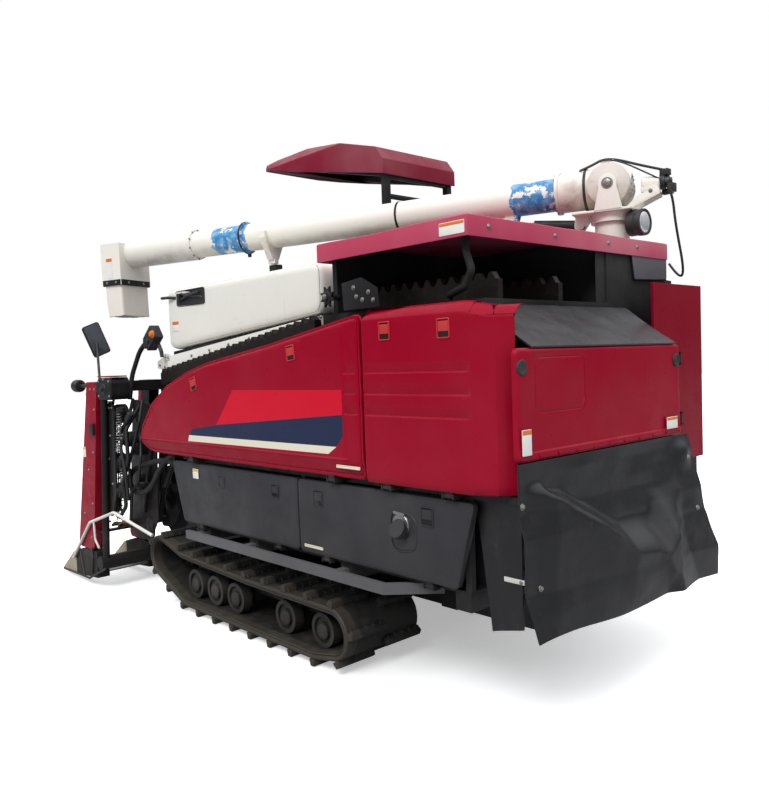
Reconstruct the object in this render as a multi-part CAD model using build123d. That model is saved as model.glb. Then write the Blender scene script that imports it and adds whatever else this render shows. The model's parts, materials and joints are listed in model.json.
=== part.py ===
from build123d import *
import os
from math import acos, atan2, ceil, cos, degrees, hypot, pi, radians, sin, tan

# Head-feeding rice combine harvester on rubber tracks, parked with its header down and its unloading
# auger in its rest. Millimetres: +X forwards, +Y to the machine's left, +Z up. The origin is on the
# ground under the middle of the machine.

# Overall reach
FRONT_X, REAR_X = 2100.0, -2100.0
LEFT_Y, RIGHT_Y = 930.0, -930.0
TOP_Z = 2880.0

# Clearances
MOVE_GAP = 6.0
PIN_GAP = 0.1
REST_GAP = 0.3

# Tracks
TRACK_CENTRE_Y, TRACK_GAUGE = -20.0, 1130.0
BELT_WIDTH, BELT_THICK = 450.0, 35.0
LUG_HEIGHT, LUG_STEP, LUG_ROOT, LUG_TIP = 35.0, 90.0, 40.0, 24.0
SPROCKET_X, SPROCKET_Z, SPROCKET_RADIUS = 815.0, 285.0, 95.0
IDLER_X, IDLER_Z, IDLER_RADIUS, IDLER_WIDTH = -825.0, 190.0, 91.0, 90.0
ROLLER_RADIUS = 85.0
ROLLER_X = (523.0, 306.0, 91.0, -375.0, -678.0)
ROLLER_RIM = (95.0, 150.0)
ROLLER_AXLE = 22.0
BELT_GAP = 1.1
# x, height of the belt's outer face where its upper run sags, front to back
BELT_SAG = ((560.0, 350.0), (-130.0, 322.0))
SPROCKET_WIDTH, SPROCKET_TEETH, TOOTH_DEPTH = 60.0, 9, 16.0

# Track frames
BEAM_HALF, BEAM_Z = 45.0, (175.0, 255.0)
BEAM_X = (-745.0, 670.0)
CROSS_BEAMS = ((-525.0, 80.0), (-150.0, 110.0), (645.0, 50.0))
CROSS_Z = (185.0, 255.0)

# Chassis
RAIL_WIDTH, RAIL_CLEAR, RAIL_Z = 80.0, 60.0, (255.0, 375.0)
RAIL_OUTER = (TRACK_GAUGE - BELT_WIDTH) / 2 - RAIL_CLEAR
RAIL_INNER = RAIL_OUTER - RAIL_WIDTH
RAIL_X = (-1640.0, 690.0)
TIE_REACH, TIE_THICK, TIE_HOLE, TIE_Z = 60.0, 20.0, 18.0, 315.0
TIE_Y = (RAIL_INNER + RAIL_OUTER) / 2
JACK_PAD_X, JACK_PAD_HALF, JACK_PAD_THICK = (-1100.0, 330.0), 50.0, 10.0
TAIL_POST_Y = (RIGHT_Y + 25, RIGHT_Y + 75)
DECK_BEAMS_X = (-1600.0, -900.0, -150.0, 330.0)
DECK_BEAM, DECK_BEAM_Z = 80.0, (450.0, 520.0)
DECK_X, DECK_Y, DECK_THICK = (-1640.0, 560.0), (-880.0, 715.0), 10.0
DECK_TOP = DECK_BEAM_Z[1] + DECK_THICK

# Header lift
LIFT_X, LIFT_Z, LIFT_PIPE = 650.0, 830.0, 45.0
LIFT_Y = (-190.0, 150.0)
LIFT_EAR = 40.0
ARM_Y, ARM_RADIUS = 30.0, 55.0
BASE_X, BASE_Z, BASE_RADIUS = 1380.0, 175.0, 45.0
LIFT_RAM_Y = -90.0
LIFT_RAM_FOOT, LIFT_RAM_EYE = (585.0, 505.0), (1010.0, 440.0)

# Thresher
BODY_LEFT, BODY_RIGHT, BODY_REAR, BODY_FRONT = 600.0, -300.0, -1650.0, 830.0
BODY_WALL, BODY_STEP = 20.0, 520.0
BODY_TOP = 1655.0
DRUM_Y, DRUM_Z, DRUM_RADIUS, TROUGH_RADIUS = 350.0, 1610.0, 180.0, 225.0
DRUM_X = (-600.0, 770.0)
HUMP_LEFT, HUMP_TOP, HUMP_REAR = 118.0, 1876.0, -661.0
HOUSING_RIGHT, HOUSING_FRONT, HOUSING_TOP = -400.0, -350.0, 1600.0

# Threshing lid
LID_X, LID_LEFT, LID_RIGHT, LID_TOP, LID_WALL = (-661.0, 853.0), 620.0, 136.0, HUMP_TOP + 36, 12.0
LID_LOW_FRONT, LID_LOW_REAR = 1540.0, 1668.0
LID_HINGE_Y, LID_HINGE_Z = 126.0, HUMP_TOP + 14

# Handle recess in the lid's left side
RECESS_X, RECESS_Z, RECESS_DEPTH, RECESS_WALL, LID_CORNER = (400.0, 730.0), (LID_TOP - 112, LID_TOP - 24), 30.0, 5.0, 45.0

# Side covers
COVER_FACE_Y, COVER_DEPTH, COVER_SKIN = 802.0, 30.0, 5.0
COVER_HINGE_Y, COVER_HINGE_Z = 780.0, 908.0
COVER_BOTTOM = 925.0
REAR_COVER_TOP = 1640.0
COVER_SPLIT_X, COVER_SPLIT_GAP = -1145.0, 12.0
LOWER_FACE_Y, LOWER_DEPTH = 750.0, 28.0
LOWER_HINGE_Y, LOWER_HINGE_Z = 745.0, 524.0
LOWER_BOTTOM, LOWER_TOP = 540.0, 885.0
LOWER_SPLIT_X = -600.0
SIDE_RAIL_Y, SIDE_RAIL_Z, SIDE_RAIL_X = (690.0, 715.0), (893.0, 921.0), (-1885.0, 560.0)

# Pressed edges of the covers, their ribs (height where each starts and where it steps back) and the front cover's fold
COVER_BEVEL, RIB_DEPTH, RIB_LEDGE = 16.0, 3.5, 6.0
COVER_RIBS = ((1415.0, 1375.0), (1328.0, 1288.0), (1241.0, 1201.0))
CREASE_X, CREASE_Z, CREASE_FALL = -1022.0, 1008.0, 3.5
LATCH_HALF, LATCH_STAND = (31.0, 36.0), 4.0
FRONT_LATCHES, REAR_LATCHES = ((249.0, 1338.0), (-659.0, 1478.0)), ((-1298.0, 1530.0), (-1619.0, 1530.0))
LOWER_LATCHES = ((83.0, 806.0), (-413.0, 806.0), (-756.0, 806.0), (-1452.0, 806.0))

# Hinges
HINGE_PIN, HINGE_KNUCKLE, HINGE_EAR, HINGE_SPAN = 5.0, 8.0, 8.0, 60.0

# Hood over the straw outlet
HOOD_X, HOOD_Y, HOOD_Z = (-1651.0, -735.0), (-415.0, 688.0), (1888.0, 1970.0)
HOOD_TAIL_FRONT, HOOD_TAIL_RIGHT, HOOD_SHEET = -1575.0, -865.0, 8.0

# Straw cutter at the back
CUTTER_HINGE_X, CUTTER_HINGE_Y = -1920.0, -425.0
CUTTER_FACE_X, CUTTER_THICK = -1932.0, 25.0
CUTTER_Y, CUTTER_Z = (-410.0, 776.0), (1051.0, 1455.0)
CUTTER_BOX_X, CUTTER_BOX_Y, CUTTER_BOX_Z = -1690.0, (-380.0, 640.0), (960.0, 1440.0)
HATCH_Y, HATCH_Z, HATCH_CORNER, GROOVE = (355.0, 669.0), (1223.0, 1421.0), 28.0, (4.0, 2.0)
CUTTER_CAPS_Y, CUTTER_CAP_Z, CUTTER_CAP = (-372.0, 745.0), 1384.0, (29.0, 6.0)

# Grain side
AUGER_X, AUGER_Y, AUGER_RADIUS = -1443.0, -687.0, 85.0
TANK_X, TANK_Y, TANK_Z = (-1335.0, -345.0), (-917.0, -430.0), (640.0, 1743.0)
TANK_HOPPER = 220.0
TANK_RIBS_X = (-1100.0, -840.0, -580.0)
REAR_PANEL_X, REAR_PANEL_FRONT, REAR_PANEL_Z, REAR_PANEL_Y = -1787.0, -1645.0, (889.0, 1743.0), -450.0

# Unloading boom
BOOM_Z, BOOM_FALL, SPOUT_X, SPOUT_Y = LID_TOP + 355, 46.0, 1598.0, 527.0
SPOUT_Z = BOOM_Z - BOOM_FALL
AUGER_TOP, COLLAR_TOP, REST_TOP = BOOM_Z - 183, BOOM_Z - 115, BOOM_Z - 217
BOOM_ROOT_RADIUS, BOOM_ROOT_HALF = 105.0, 106.0
BOOM_TUBE_RADIUS, BOOM_SLEEVE_RADIUS = 85.0, 97.0
BOOM_CHEEK = 20.0
RAM_FOOT, RAM_EYE = (165.0, -172.0), (520.0, -130.0)
REST_X, REST_Y = 475.0, 79.0

# Lamp on the turning head: place, radius, depth
HEAD_LAMP, HEAD_LAMP_SIZE = (-1594.5, -667.0, AUGER_TOP - 21), (62.0, 85.0)

# Driver's station
ENGINE_COVER_X, ENGINE_COVER_Y, ENGINE_COVER_TOP = (-250.0, 340.0), (-912.0, -310.0), 1130.0
ENGINE_X, ENGINE_Y, ENGINE_TOP = (-170.0, 270.0), (-850.0, -400.0), 980.0
SHEET = 6.0
FLOOR_X, FLOOR_Y, FLOOR_Z = (346.0, 940.0), (-900.0, -312.0), (530.0, 575.0)
POST_X, POST_Y, POST_SIZE, POST_TOP = -130.0, (-890.0, -345.0), 40.0, TOP_Z - 280
CANOPY_X, CANOPY_Y, CANOPY_CREST_X = (-170.0, 1145.0), (-925.0, -285.0), 660.0
CANOPY_BEVEL, CANOPY_NOSE, CANOPY_SHEET = 90.0, 160.0, 8.0

# Header
ROW_STEP, ROWS = 362.0, 4
DIVIDER_HALF, DIVIDER_TIP_HALF = 40.0, 12.0
GUIDE_ROD = 10.0
DIVIDER_LEFT_Y = LEFT_Y - 2 * GUIDE_ROD - DIVIDER_HALF
DIVIDER_Y = tuple(DIVIDER_LEFT_Y - ROW_STEP * row for row in range(ROWS + 1))
DIVIDER_ROOT_X = BASE_X + BASE_RADIUS
CASE_HALF = 35.0
# x, z of a raising case seen from the side: bottom rear, bottom front, top front, top rear
CASE_OUTLINE = ((1475.0, 245.0), (1727.0, 245.0), (1450.0, 1357.0), (1294.0, 1357.0))
TOP_BEAM_REAR_X, TOP_BEAM_Z = 1230.0, 1290.0
STRUT_RADIUS = 22.0
STAR_X, STAR_Z, STAR_RADIUS, STAR_FINGERS, STAR_THICK = 1485.0, 380.0, 80.0, 7, 16.0
STAR_BAR_X, STAR_BAR_THICK = (1404.0, 1444.0), 14.0
MIRROR_IN, MIRROR_TURN, MIRROR_SIZE = 50.0, -22.0, (118.0, 212.0)
GEAR_CASE_X, GEAR_CASE_Y, GEAR_CASE_Z = (1085.0, 1290.0), (780.0, 905.0), (1243.0, 1383.0)

# Free hoses and cables: diameter, then the points they run through
HEADER_HOSE = (30.0, ((1040, 672, 1598), (1125, 676, 1560), (1185, 686, 1463), (1214.7, 708, 1370), (1214.7, 722, 1235)))
HOSE_BRACKET_X, HOSE_BRACKET_Y, HOSE_BRACKET_Z = (652.0, 690.0), 724.0, (844.0, 922.0)
LOOP_HOSE = (34.0, ((690.3, 702, 903), (745, 702, 903), (825, 735, 820), (930, 745, 690), (1105, 748, 628), (1250, 748, 690),
                    (1195, 742, 790), (1000, 728, 835), (860, 712, 866), (745, 702, 863), (690.3, 702, 863)))


def block(x, y, z):
    """A box between two limits on each axis."""
    size = Box(x[1] - x[0], y[1] - y[0], z[1] - z[0])
    return Pos((x[0] + x[1]) / 2, (y[0] + y[1]) / 2, (z[0] + z[1]) / 2) * size


def side_plate(outline, y):
    """A plate across the machine, from its (x, z) outline."""
    face = make_face(Polyline(*[(px, y[0], pz) for px, pz in outline], close=True))
    return extrude(face, amount=y[1] - y[0], dir=(0, 1, 0))


def end_plate(outline, x):
    """A plate along the machine, from its (y, z) outline."""
    face = make_face(Polyline(*[(x[0], py, pz) for py, pz in outline], close=True))
    return extrude(face, amount=x[1] - x[0], dir=(1, 0, 0))


def plan_plate(outline, z):
    """A level plate, from its (x, y) outline."""
    face = make_face(Polyline(*[(px, py, z[0]) for px, py in outline], close=True))
    return extrude(face, amount=z[1] - z[0], dir=(0, 0, 1))


def rod(start, end, radius):
    """A round bar between two points."""
    first, last = Vector(*start), Vector(*end)
    place = Plane(origin=first, z_dir=last - first)
    length = (last - first).length
    return place * Cylinder(radius, length, align=(Align.CENTER, Align.CENTER, Align.MIN))


def bent_rod(points, bend, radius):
    """A round bar bent at each inner point."""
    path = FilletPolyline(*points, radius=bend)
    return sweep(Plane(origin=path @ 0, z_dir=path % 0) * Circle(radius), path=path)


def rounded_plate(outline, y, radius):
    """A plate across the machine with rounded corners."""
    face = make_face(Polyline(*[(px, y[0], pz) for px, pz in outline], close=True))
    return extrude(fillet(face.vertices(), radius), amount=y[1] - y[0], dir=(0, 1, 0))


def free_hose(diameter, points):
    """A hose in straight runs joined by arcs."""
    corners = [Vector(*point) for point in points]
    radii = []
    for before, corner, after in zip(corners, corners[1:], corners[2:]):
        arrives, leaves = corner - before, after - corner
        half = radians(arrives.get_angle(leaves) / 2)
        radii.append(0.45 * min(arrives.length, leaves.length) / tan(half))
    path = FilletPolyline(*corners, radius=radii)
    hose = sweep(Plane(origin=path @ 0, z_dir=path % 0) * Circle(diameter / 2), path=path)
    assert abs(hose.volume / (path.length * pi * diameter**2 / 4) - 1) < 0.01
    return hose


def joined(shapes):
    """Shapes that touch, as one solid."""
    first, *others = shapes
    for shape in others:
        first += shape
    return first


def along_x(x, half):
    """Limits of a piece centred on x."""
    return (x - half, x + half)


# Tracks

def tangent(circle_a, circle_b):
    """Ends of the straight run that leaves circle a and meets circle b, both on its left."""
    (ax, az, ar), (bx, bz, br) = circle_a, circle_b
    reach = hypot(bx - ax, bz - az)
    normal = atan2(bz - az, bx - ax) - acos((ar - br) / reach)
    nx, nz = cos(normal), sin(normal)
    return (ax + ar * nx, az + ar * nz), (bx + br * nx, bz + br * nz), normal


def belt_line(inset, step_degrees=15.0):
    """Points of the belt's face, seen from the left, this far inside its outer face."""
    sag = [(x, z - inset, 0.0) for x, z in BELT_SAG]
    roller_z = LUG_HEIGHT + BELT_THICK + ROLLER_RADIUS
    outer = BELT_THICK - inset
    circles = [
        (IDLER_X, IDLER_Z, IDLER_RADIUS + outer),
        (ROLLER_X[-1], roller_z, ROLLER_RADIUS + outer),
        (ROLLER_X[0], roller_z, ROLLER_RADIUS + outer),
        (SPROCKET_X, SPROCKET_Z, SPROCKET_RADIUS + outer),
        *sag,
    ]
    points, runs = [], []
    for index, circle in enumerate(circles):
        runs.append(tangent(circle, circles[(index + 1) % len(circles)]))
    for index, circle in enumerate(circles):
        arrives, leaves = runs[index - 1][2], runs[index][2]
        cx, cz, radius = circle
        turn = (leaves - arrives) % (2 * pi)
        steps = 1 if radius == 0 else max(1, ceil(degrees(turn) / step_degrees))
        for step in range(steps + (radius > 0)):
            angle = arrives + turn * step / steps
            points.append((cx + radius * cos(angle), cz + radius * sin(angle)))
    return points


def lugged_line(phase):
    """The belt's outer face with a lug at every second step."""
    fine = belt_line(0.0, 4.0)
    lengths = [0.0]
    for (ax, az), (bx, bz) in zip(fine, fine[1:] + fine[:1]):
        lengths.append(lengths[-1] + hypot(bx - ax, bz - az))
    total = lengths[-1]
    count = 2 * round(total / LUG_STEP / 2)

    def place(distance, height):
        distance %= total
        index = max(i for i, length in enumerate(lengths[:-1]) if length <= distance)
        (ax, az), (bx, bz) = fine[index], fine[(index + 1) % len(fine)]
        run = lengths[index + 1] - lengths[index]
        share = (distance - lengths[index]) / run
        ux, uz = (bx - ax) / run, (bz - az) / run
        return ax + (bx - ax) * share + uz * height, az + (bz - az) * share - ux * height

    points = []
    for lug in range(phase, count, 2):
        centre = total * lug / count
        points += [
            place(centre - LUG_ROOT / 2, 0.0),
            place(centre - LUG_TIP / 2, LUG_HEIGHT),
            place(centre + LUG_TIP / 2, LUG_HEIGHT),
            place(centre + LUG_ROOT / 2, 0.0),
            place(centre + total / count, 0.0),
        ]
    return points


def track(centre_y):
    """A closed rubber belt; its lugs alternate between its two halves."""
    edge, half = BELT_WIDTH / 2, []
    for phase, y in ((0, (centre_y, centre_y + edge)), (1, (centre_y - edge, centre_y))):
        half.append(side_plate(lugged_line(phase), y) - side_plate(belt_line(BELT_THICK), y))
    return half[0] + half[1]


def sprocket(centre_y):
    """The toothed drive wheel with its hub."""
    points = []
    for tooth in range(SPROCKET_TEETH * 4):
        radius = SPROCKET_RADIUS - BELT_GAP - (TOOTH_DEPTH if tooth % 4 > 1 else 0)
        angle = 2 * pi * (tooth + 0.5) / (SPROCKET_TEETH * 4)
        points.append((SPROCKET_X + radius * cos(angle), SPROCKET_Z + radius * sin(angle)))
    return side_plate(points, along_x(centre_y, SPROCKET_WIDTH / 2))


def roller(x, centre_y):
    """A pair of rims on one axle, under the track frame's beam."""
    rim = ROLLER_RADIUS - BELT_GAP
    z = LUG_HEIGHT + BELT_THICK + ROLLER_RADIUS
    low, high = ROLLER_RIM
    shape = rod((x, centre_y - high, z), (x, centre_y + high, z), ROLLER_AXLE)
    for side in (-1, 1):
        shape += rod((x, centre_y + side * low, z), (x, centre_y + side * high, z), rim)
        dish = rod((x, centre_y + side * (high - 14), z), (x, centre_y + side * high, z), rim - 20)
        hub = rod((x, centre_y + side * (high - 14), z), (x, centre_y + side * high, z), ROLLER_AXLE + 16)
        shape -= dish - hub
    return shape


def idler(centre_y):
    """The rear wheel that keeps the belt tight."""
    y = along_x(centre_y, IDLER_WIDTH / 2)
    axle = along_x(centre_y, IDLER_WIDTH / 2 + 38)
    wheel = rod((IDLER_X, y[0], IDLER_Z), (IDLER_X, y[1], IDLER_Z), IDLER_RADIUS - BELT_GAP)
    return wheel + rod((IDLER_X, axle[0], IDLER_Z), (IDLER_X, axle[1], IDLER_Z), ROLLER_AXLE)


def track_frame(centre_y):
    """The beam inside the belt, its roller hangers, its rear yoke and its upper skid."""
    z = LUG_HEIGHT + BELT_THICK + ROLLER_RADIUS
    shape = block(BEAM_X, along_x(centre_y, BEAM_HALF), BEAM_Z)
    for x in ROLLER_X:
        hanger = block(along_x(x, 35), along_x(centre_y, BEAM_HALF), (z - 35, BEAM_Z[0]))
        bore = rod((x, centre_y - 60, z), (x, centre_y + 60, z), ROLLER_AXLE + PIN_GAP)
        shape += hanger
        shape -= bore
    rear = BEAM_X[0]
    yoke_x = (IDLER_X - 30, rear + 30)
    for side in (-1, 1):
        inner, outer = IDLER_WIDTH / 2 + 6, IDLER_WIDTH / 2 + 24
        y = sorted((centre_y + side * inner, centre_y + side * outer))
        shape += block(yoke_x, y, (IDLER_Z - 25, IDLER_Z + 35))
    bridge = block((rear, rear + 30), along_x(centre_y, IDLER_WIDTH / 2 + 24), (IDLER_Z - 10, IDLER_Z + 35))
    shape += bridge
    reach = IDLER_WIDTH / 2 + 40
    shape -= rod((IDLER_X, centre_y - reach, IDLER_Z), (IDLER_X, centre_y + reach, IDLER_Z), ROLLER_AXLE + PIN_GAP)
    shape -= rod((IDLER_X, centre_y - IDLER_WIDTH / 2 - 2, IDLER_Z), (IDLER_X, centre_y + IDLER_WIDTH / 2 + 2, IDLER_Z),
                 IDLER_RADIUS + MOVE_GAP)
    return shape


# Chassis

def drive_axle():
    """The gearbox between the tracks with its two axle tubes."""
    box = block((RAIL_X[1], SPROCKET_X + 125), (LIFT_Y[0] + 10, LIFT_Y[1] - 10), (185, 365))
    box = fillet(box.edges().filter_by(Axis.Y), 30)
    left = TRACK_CENTRE_Y + TRACK_GAUGE / 2 - SPROCKET_WIDTH / 2
    right = TRACK_CENTRE_Y - TRACK_GAUGE / 2 + SPROCKET_WIDTH / 2
    return box + rod((SPROCKET_X, right, SPROCKET_Z), (SPROCKET_X, left, SPROCKET_Z), 50)


def chassis_frame():
    """Two rails, the cross beams under them, the deck beams over them and the header's pivot ears."""
    left, right = TRACK_CENTRE_Y + TRACK_GAUGE / 2, TRACK_CENTRE_Y - TRACK_GAUGE / 2
    parts = []
    for inner, outer in ((RAIL_INNER, RAIL_OUTER), (-RAIL_OUTER, -RAIL_INNER)):
        parts.append(block(RAIL_X, (TRACK_CENTRE_Y + inner, TRACK_CENTRE_Y + outer), RAIL_Z))
    for x, width in CROSS_BEAMS:
        parts.append(block(along_x(x, width / 2), (right + BEAM_HALF, left - BEAM_HALF), CROSS_Z))
    inner_y = (TRACK_CENTRE_Y - RAIL_INNER, TRACK_CENTRE_Y + RAIL_INNER)
    outer_y = (TRACK_CENTRE_Y - RAIL_OUTER, TRACK_CENTRE_Y + RAIL_OUTER)
    front = (RAIL_X[1] - 60, RAIL_X[1])
    parts.append(block(front, inner_y, (RAIL_Z[0], 440)))
    parts.append(block(front, outer_y, (RAIL_Z[1], 440)))
    for x in DECK_BEAMS_X:
        parts.append(block(along_x(x, DECK_BEAM / 2), DECK_Y, DECK_BEAM_Z))
        for inner, outer in ((RAIL_INNER, RAIL_OUTER), (-RAIL_OUTER, -RAIL_INNER)):
            y = (TRACK_CENTRE_Y + inner, TRACK_CENTRE_Y + outer)
            parts.append(block(along_x(x, DECK_BEAM / 2), y, (RAIL_Z[1], DECK_BEAM_Z[0])))
    for y in ((LIFT_Y[0], LIFT_Y[0] + LIFT_EAR), (LIFT_Y[1] - LIFT_EAR, LIFT_Y[1])):
        outline = ((front[0], 440), (front[1], 440), (LIFT_X + 70, LIFT_Z), (LIFT_X + 40, LIFT_Z + 70),
                   (LIFT_X - 40, LIFT_Z + 70), (LIFT_X - 70, LIFT_Z))
        parts.append(side_plate(outline, y))
    shape = joined(parts)
    shape -= rod((LIFT_X, LIFT_Y[0] - 5, LIFT_Z), (LIFT_X, LIFT_Y[1] + 5, LIFT_Z), LIFT_PIPE + PIN_GAP)
    shape += lift_ram_foot()
    shape += tie_down_eyes()
    for y in (TRACK_CENTRE_Y - TIE_Y, TRACK_CENTRE_Y + TIE_Y):
        for x in JACK_PAD_X:
            shape += block(along_x(x, JACK_PAD_HALF), along_x(y, RAIL_WIDTH / 2), (RAIL_Z[0] - JACK_PAD_THICK, RAIL_Z[0]))
    tail = (REAR_PANEL_X + 22, DECK_X[0])
    shape += block(tail, TAIL_POST_Y, DECK_BEAM_Z)
    shape += block((tail[0], tail[0] + 50), TAIL_POST_Y, (DECK_BEAM_Z[1], REAR_PANEL_Z[1] - 43))
    return shape + block((DECK_X[0], DECK_X[0] + DECK_BEAM), (TAIL_POST_Y[0], DECK_Y[0]), DECK_BEAM_Z)


def tie_down_eyes():
    """Upright eyes behind the rails and level ones in front of them."""
    eyes = []
    for y in (TRACK_CENTRE_Y - TIE_Y, TRACK_CENTRE_Y + TIE_Y):
        rear, front = RAIL_X[0] - TIE_REACH / 2, RAIL_X[1] + TIE_REACH / 2
        plate = block((rear - TIE_REACH / 2, RAIL_X[0]), along_x(y, TIE_THICK / 2), along_x(TIE_Z, 35))
        eyes.append(plate - rod((rear, y - TIE_THICK, TIE_Z), (rear, y + TIE_THICK, TIE_Z), TIE_HOLE))
        plate = block((RAIL_X[1], front + TIE_REACH / 2), along_x(y, 35), (RAIL_Z[0], RAIL_Z[0] + TIE_THICK))
        eyes.append(plate - rod((front, y, RAIL_Z[0] - 5), (front, y, RAIL_Z[0] + TIE_THICK + 5), TIE_HOLE))
    return joined(eyes)


def lift_ram_foot():
    """Two ears with the pin that carries the lift ram, on the front cross member."""
    x, z = LIFT_RAM_FOOT
    front = RAIL_X[1] - 60
    outline = ((x - 25, z - 25), (front, 390), (front, 440), (x + 25, z - 10), (x + 25, z + 25), (x - 25, z + 25))
    shape = rod((x, LIFT_RAM_Y - 40, z), (x, LIFT_RAM_Y + 40, z), 12)
    for side in (-1, 1):
        y = sorted((LIFT_RAM_Y + side * 34, LIFT_RAM_Y + side * 46))
        shape += side_plate(outline, y)
    return shape


def deck_plate():
    """The floor plate that carries the thresher, the engine and the tank."""
    return block(DECK_X, DECK_Y, (DECK_BEAM_Z[1], DECK_TOP))


def side_frame():
    """Posts and a rail along the left side, with the pins of the four side covers."""
    y = SIDE_RAIL_Y
    shape = block(SIDE_RAIL_X, y, SIDE_RAIL_Z)
    for x in (-1630.0, LOWER_SPLIT_X, 500.0):
        shape += block(along_x(x, 15), y, (DECK_TOP, SIDE_RAIL_Z[0]))
    shape += block((BODY_REAR, BODY_REAR + 20), (BODY_LEFT, y[0]), SIDE_RAIL_Z)
    shape += block((480, 500), (BODY_LEFT, y[0]), SIDE_RAIL_Z)
    for x in COVER_HINGES_X:
        shape += hinge_ears_x(x, COVER_HINGE_Y, COVER_HINGE_Z, (y[1], COVER_HINGE_Y + HINGE_KNUCKLE), (-11, 11))
    return shape


def lower_hinges():
    """The pins of the lower covers, on the deck's left edge."""
    return [
        hinge_ears_x(x, LOWER_HINGE_Y, LOWER_HINGE_Z, (DECK_Y[1], LOWER_HINGE_Y + HINGE_KNUCKLE), (-10, 10))
        for x in LOWER_HINGES_X
    ]


COVER_HINGES_X = (-1600.0, -1260.0, -900.0, 350.0)
LOWER_HINGES_X = (-1450.0, -800.0, -420.0, 330.0)


def hinge_ears_x(x, pin_y, pin_z, y, z):
    """Two ears with a pin along X between them."""
    half = HINGE_SPAN / 2
    shape = rod((x - half, pin_y, pin_z), (x + half, pin_y, pin_z), HINGE_PIN)
    for start in (x - half, x + half - HINGE_EAR):
        shape += block((start, start + HINGE_EAR), y, (pin_z + z[0], pin_z + z[1]))
    return shape


def knuckle_x(x, pin_y, pin_z, leaf_y, leaf_z):
    """The barrel of a cover on that pin, with its leaf."""
    half = HINGE_SPAN / 2 - HINGE_EAR - 2
    shape = rod((x - half, pin_y, pin_z), (x + half, pin_y, pin_z), HINGE_KNUCKLE)
    shape += block((x - half, x + half), leaf_y, leaf_z)
    bore = rod((x - half - 1, pin_y, pin_z), (x + half + 1, pin_y, pin_z), HINGE_PIN + PIN_GAP)
    return shape - bore


def pan(outline, face_y, depth, skin, bevel):
    """A pressed cover: a skin with a bevelled edge and a return flange all round, from its (x, z) outline."""
    outer = side_plate(outline, (face_y - depth, face_y))
    outer = chamfer(outer.faces().sort_by(Axis.Y)[-1].edges(), bevel)
    face = make_face(Polyline(*[(px, face_y - skin, pz) for px, pz in outline], close=True))
    inner = extrude(offset(face, amount=-skin, kind=Kind.INTERSECTION), amount=depth, dir=(0, -1, 0))
    return outer - chamfer(inner.faces().sort_by(Axis.Y)[-1].edges(), bevel - skin / 2)


def ribs(x):
    """What the cover's ribs are pressed in by: wedges that end in a ledge."""
    face = COVER_FACE_Y
    wedges = []
    for start, ledge in COVER_RIBS:
        wedges.append(end_plate(((face + 1, start), (face, start), (face - RIB_DEPTH, ledge + RIB_LEDGE), (face, ledge), (face + 1, ledge)), x))
    return wedges


def latches(places, face_y):
    """Sprung latches that stand on a cover."""
    half_x, half_z = LATCH_HALF
    shapes = []
    for x, z in places:
        frame = block(along_x(x, half_x), (face_y - 1, face_y + LATCH_STAND), along_x(z, half_z))
        frame = chamfer(frame.faces().sort_by(Axis.Y)[-1].edges(), 1.5)
        hole = block(along_x(x, half_x - 6), (face_y + 1, face_y + LATCH_STAND + 1), (z - half_z + 7, z - half_z * 0.35))
        slit = block(along_x(x, half_x - 6), (face_y + 1, face_y + LATCH_STAND + 1), (z + half_z * 0.72, z + half_z - 7))
        shapes.append(frame - hole - slit)
    return shapes


FRONT_COVER_OUTLINE = (
    (COVER_SPLIT_X + COVER_SPLIT_GAP / 2, COVER_BOTTOM), (COVER_SPLIT_X + COVER_SPLIT_GAP / 2, 1633.0),
    (-459.0, 1528.0), (110.0, 1455.0), (319.0, 1412.0), (573.0, 1333.0), (774.0, 1225.0),
    (909.0, 1089.0), (935.0, 1020.0), (930.0, 975.0), (859.0, 938.0), (780.0, COVER_BOTTOM),
)


def side_cover_front():
    """The long red cover in front, over the feed chain's drive."""
    shape = pan(FRONT_COVER_OUTLINE, COVER_FACE_Y, COVER_DEPTH, COVER_SKIN, COVER_BEVEL)
    face = COVER_FACE_Y
    fold = ((face + 1, CREASE_Z), (face, CREASE_Z), (face - CREASE_FALL, COVER_BOTTOM - 1), (face + 1, COVER_BOTTOM - 1))
    shape -= end_plate(fold, (COVER_SPLIT_X, FRONT_COVER_OUTLINE[-4][0] + 100))
    for wedge in ribs((COVER_SPLIT_X, CREASE_X)):
        shape -= wedge
    for piece in latches(FRONT_LATCHES, face):
        shape += piece
    for x in COVER_HINGES_X[2:]:
        shape += knuckle_x(x, COVER_HINGE_Y, COVER_HINGE_Z, along_x(COVER_HINGE_Y, 4), (COVER_HINGE_Z, COVER_BOTTOM))
    return shape


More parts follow.
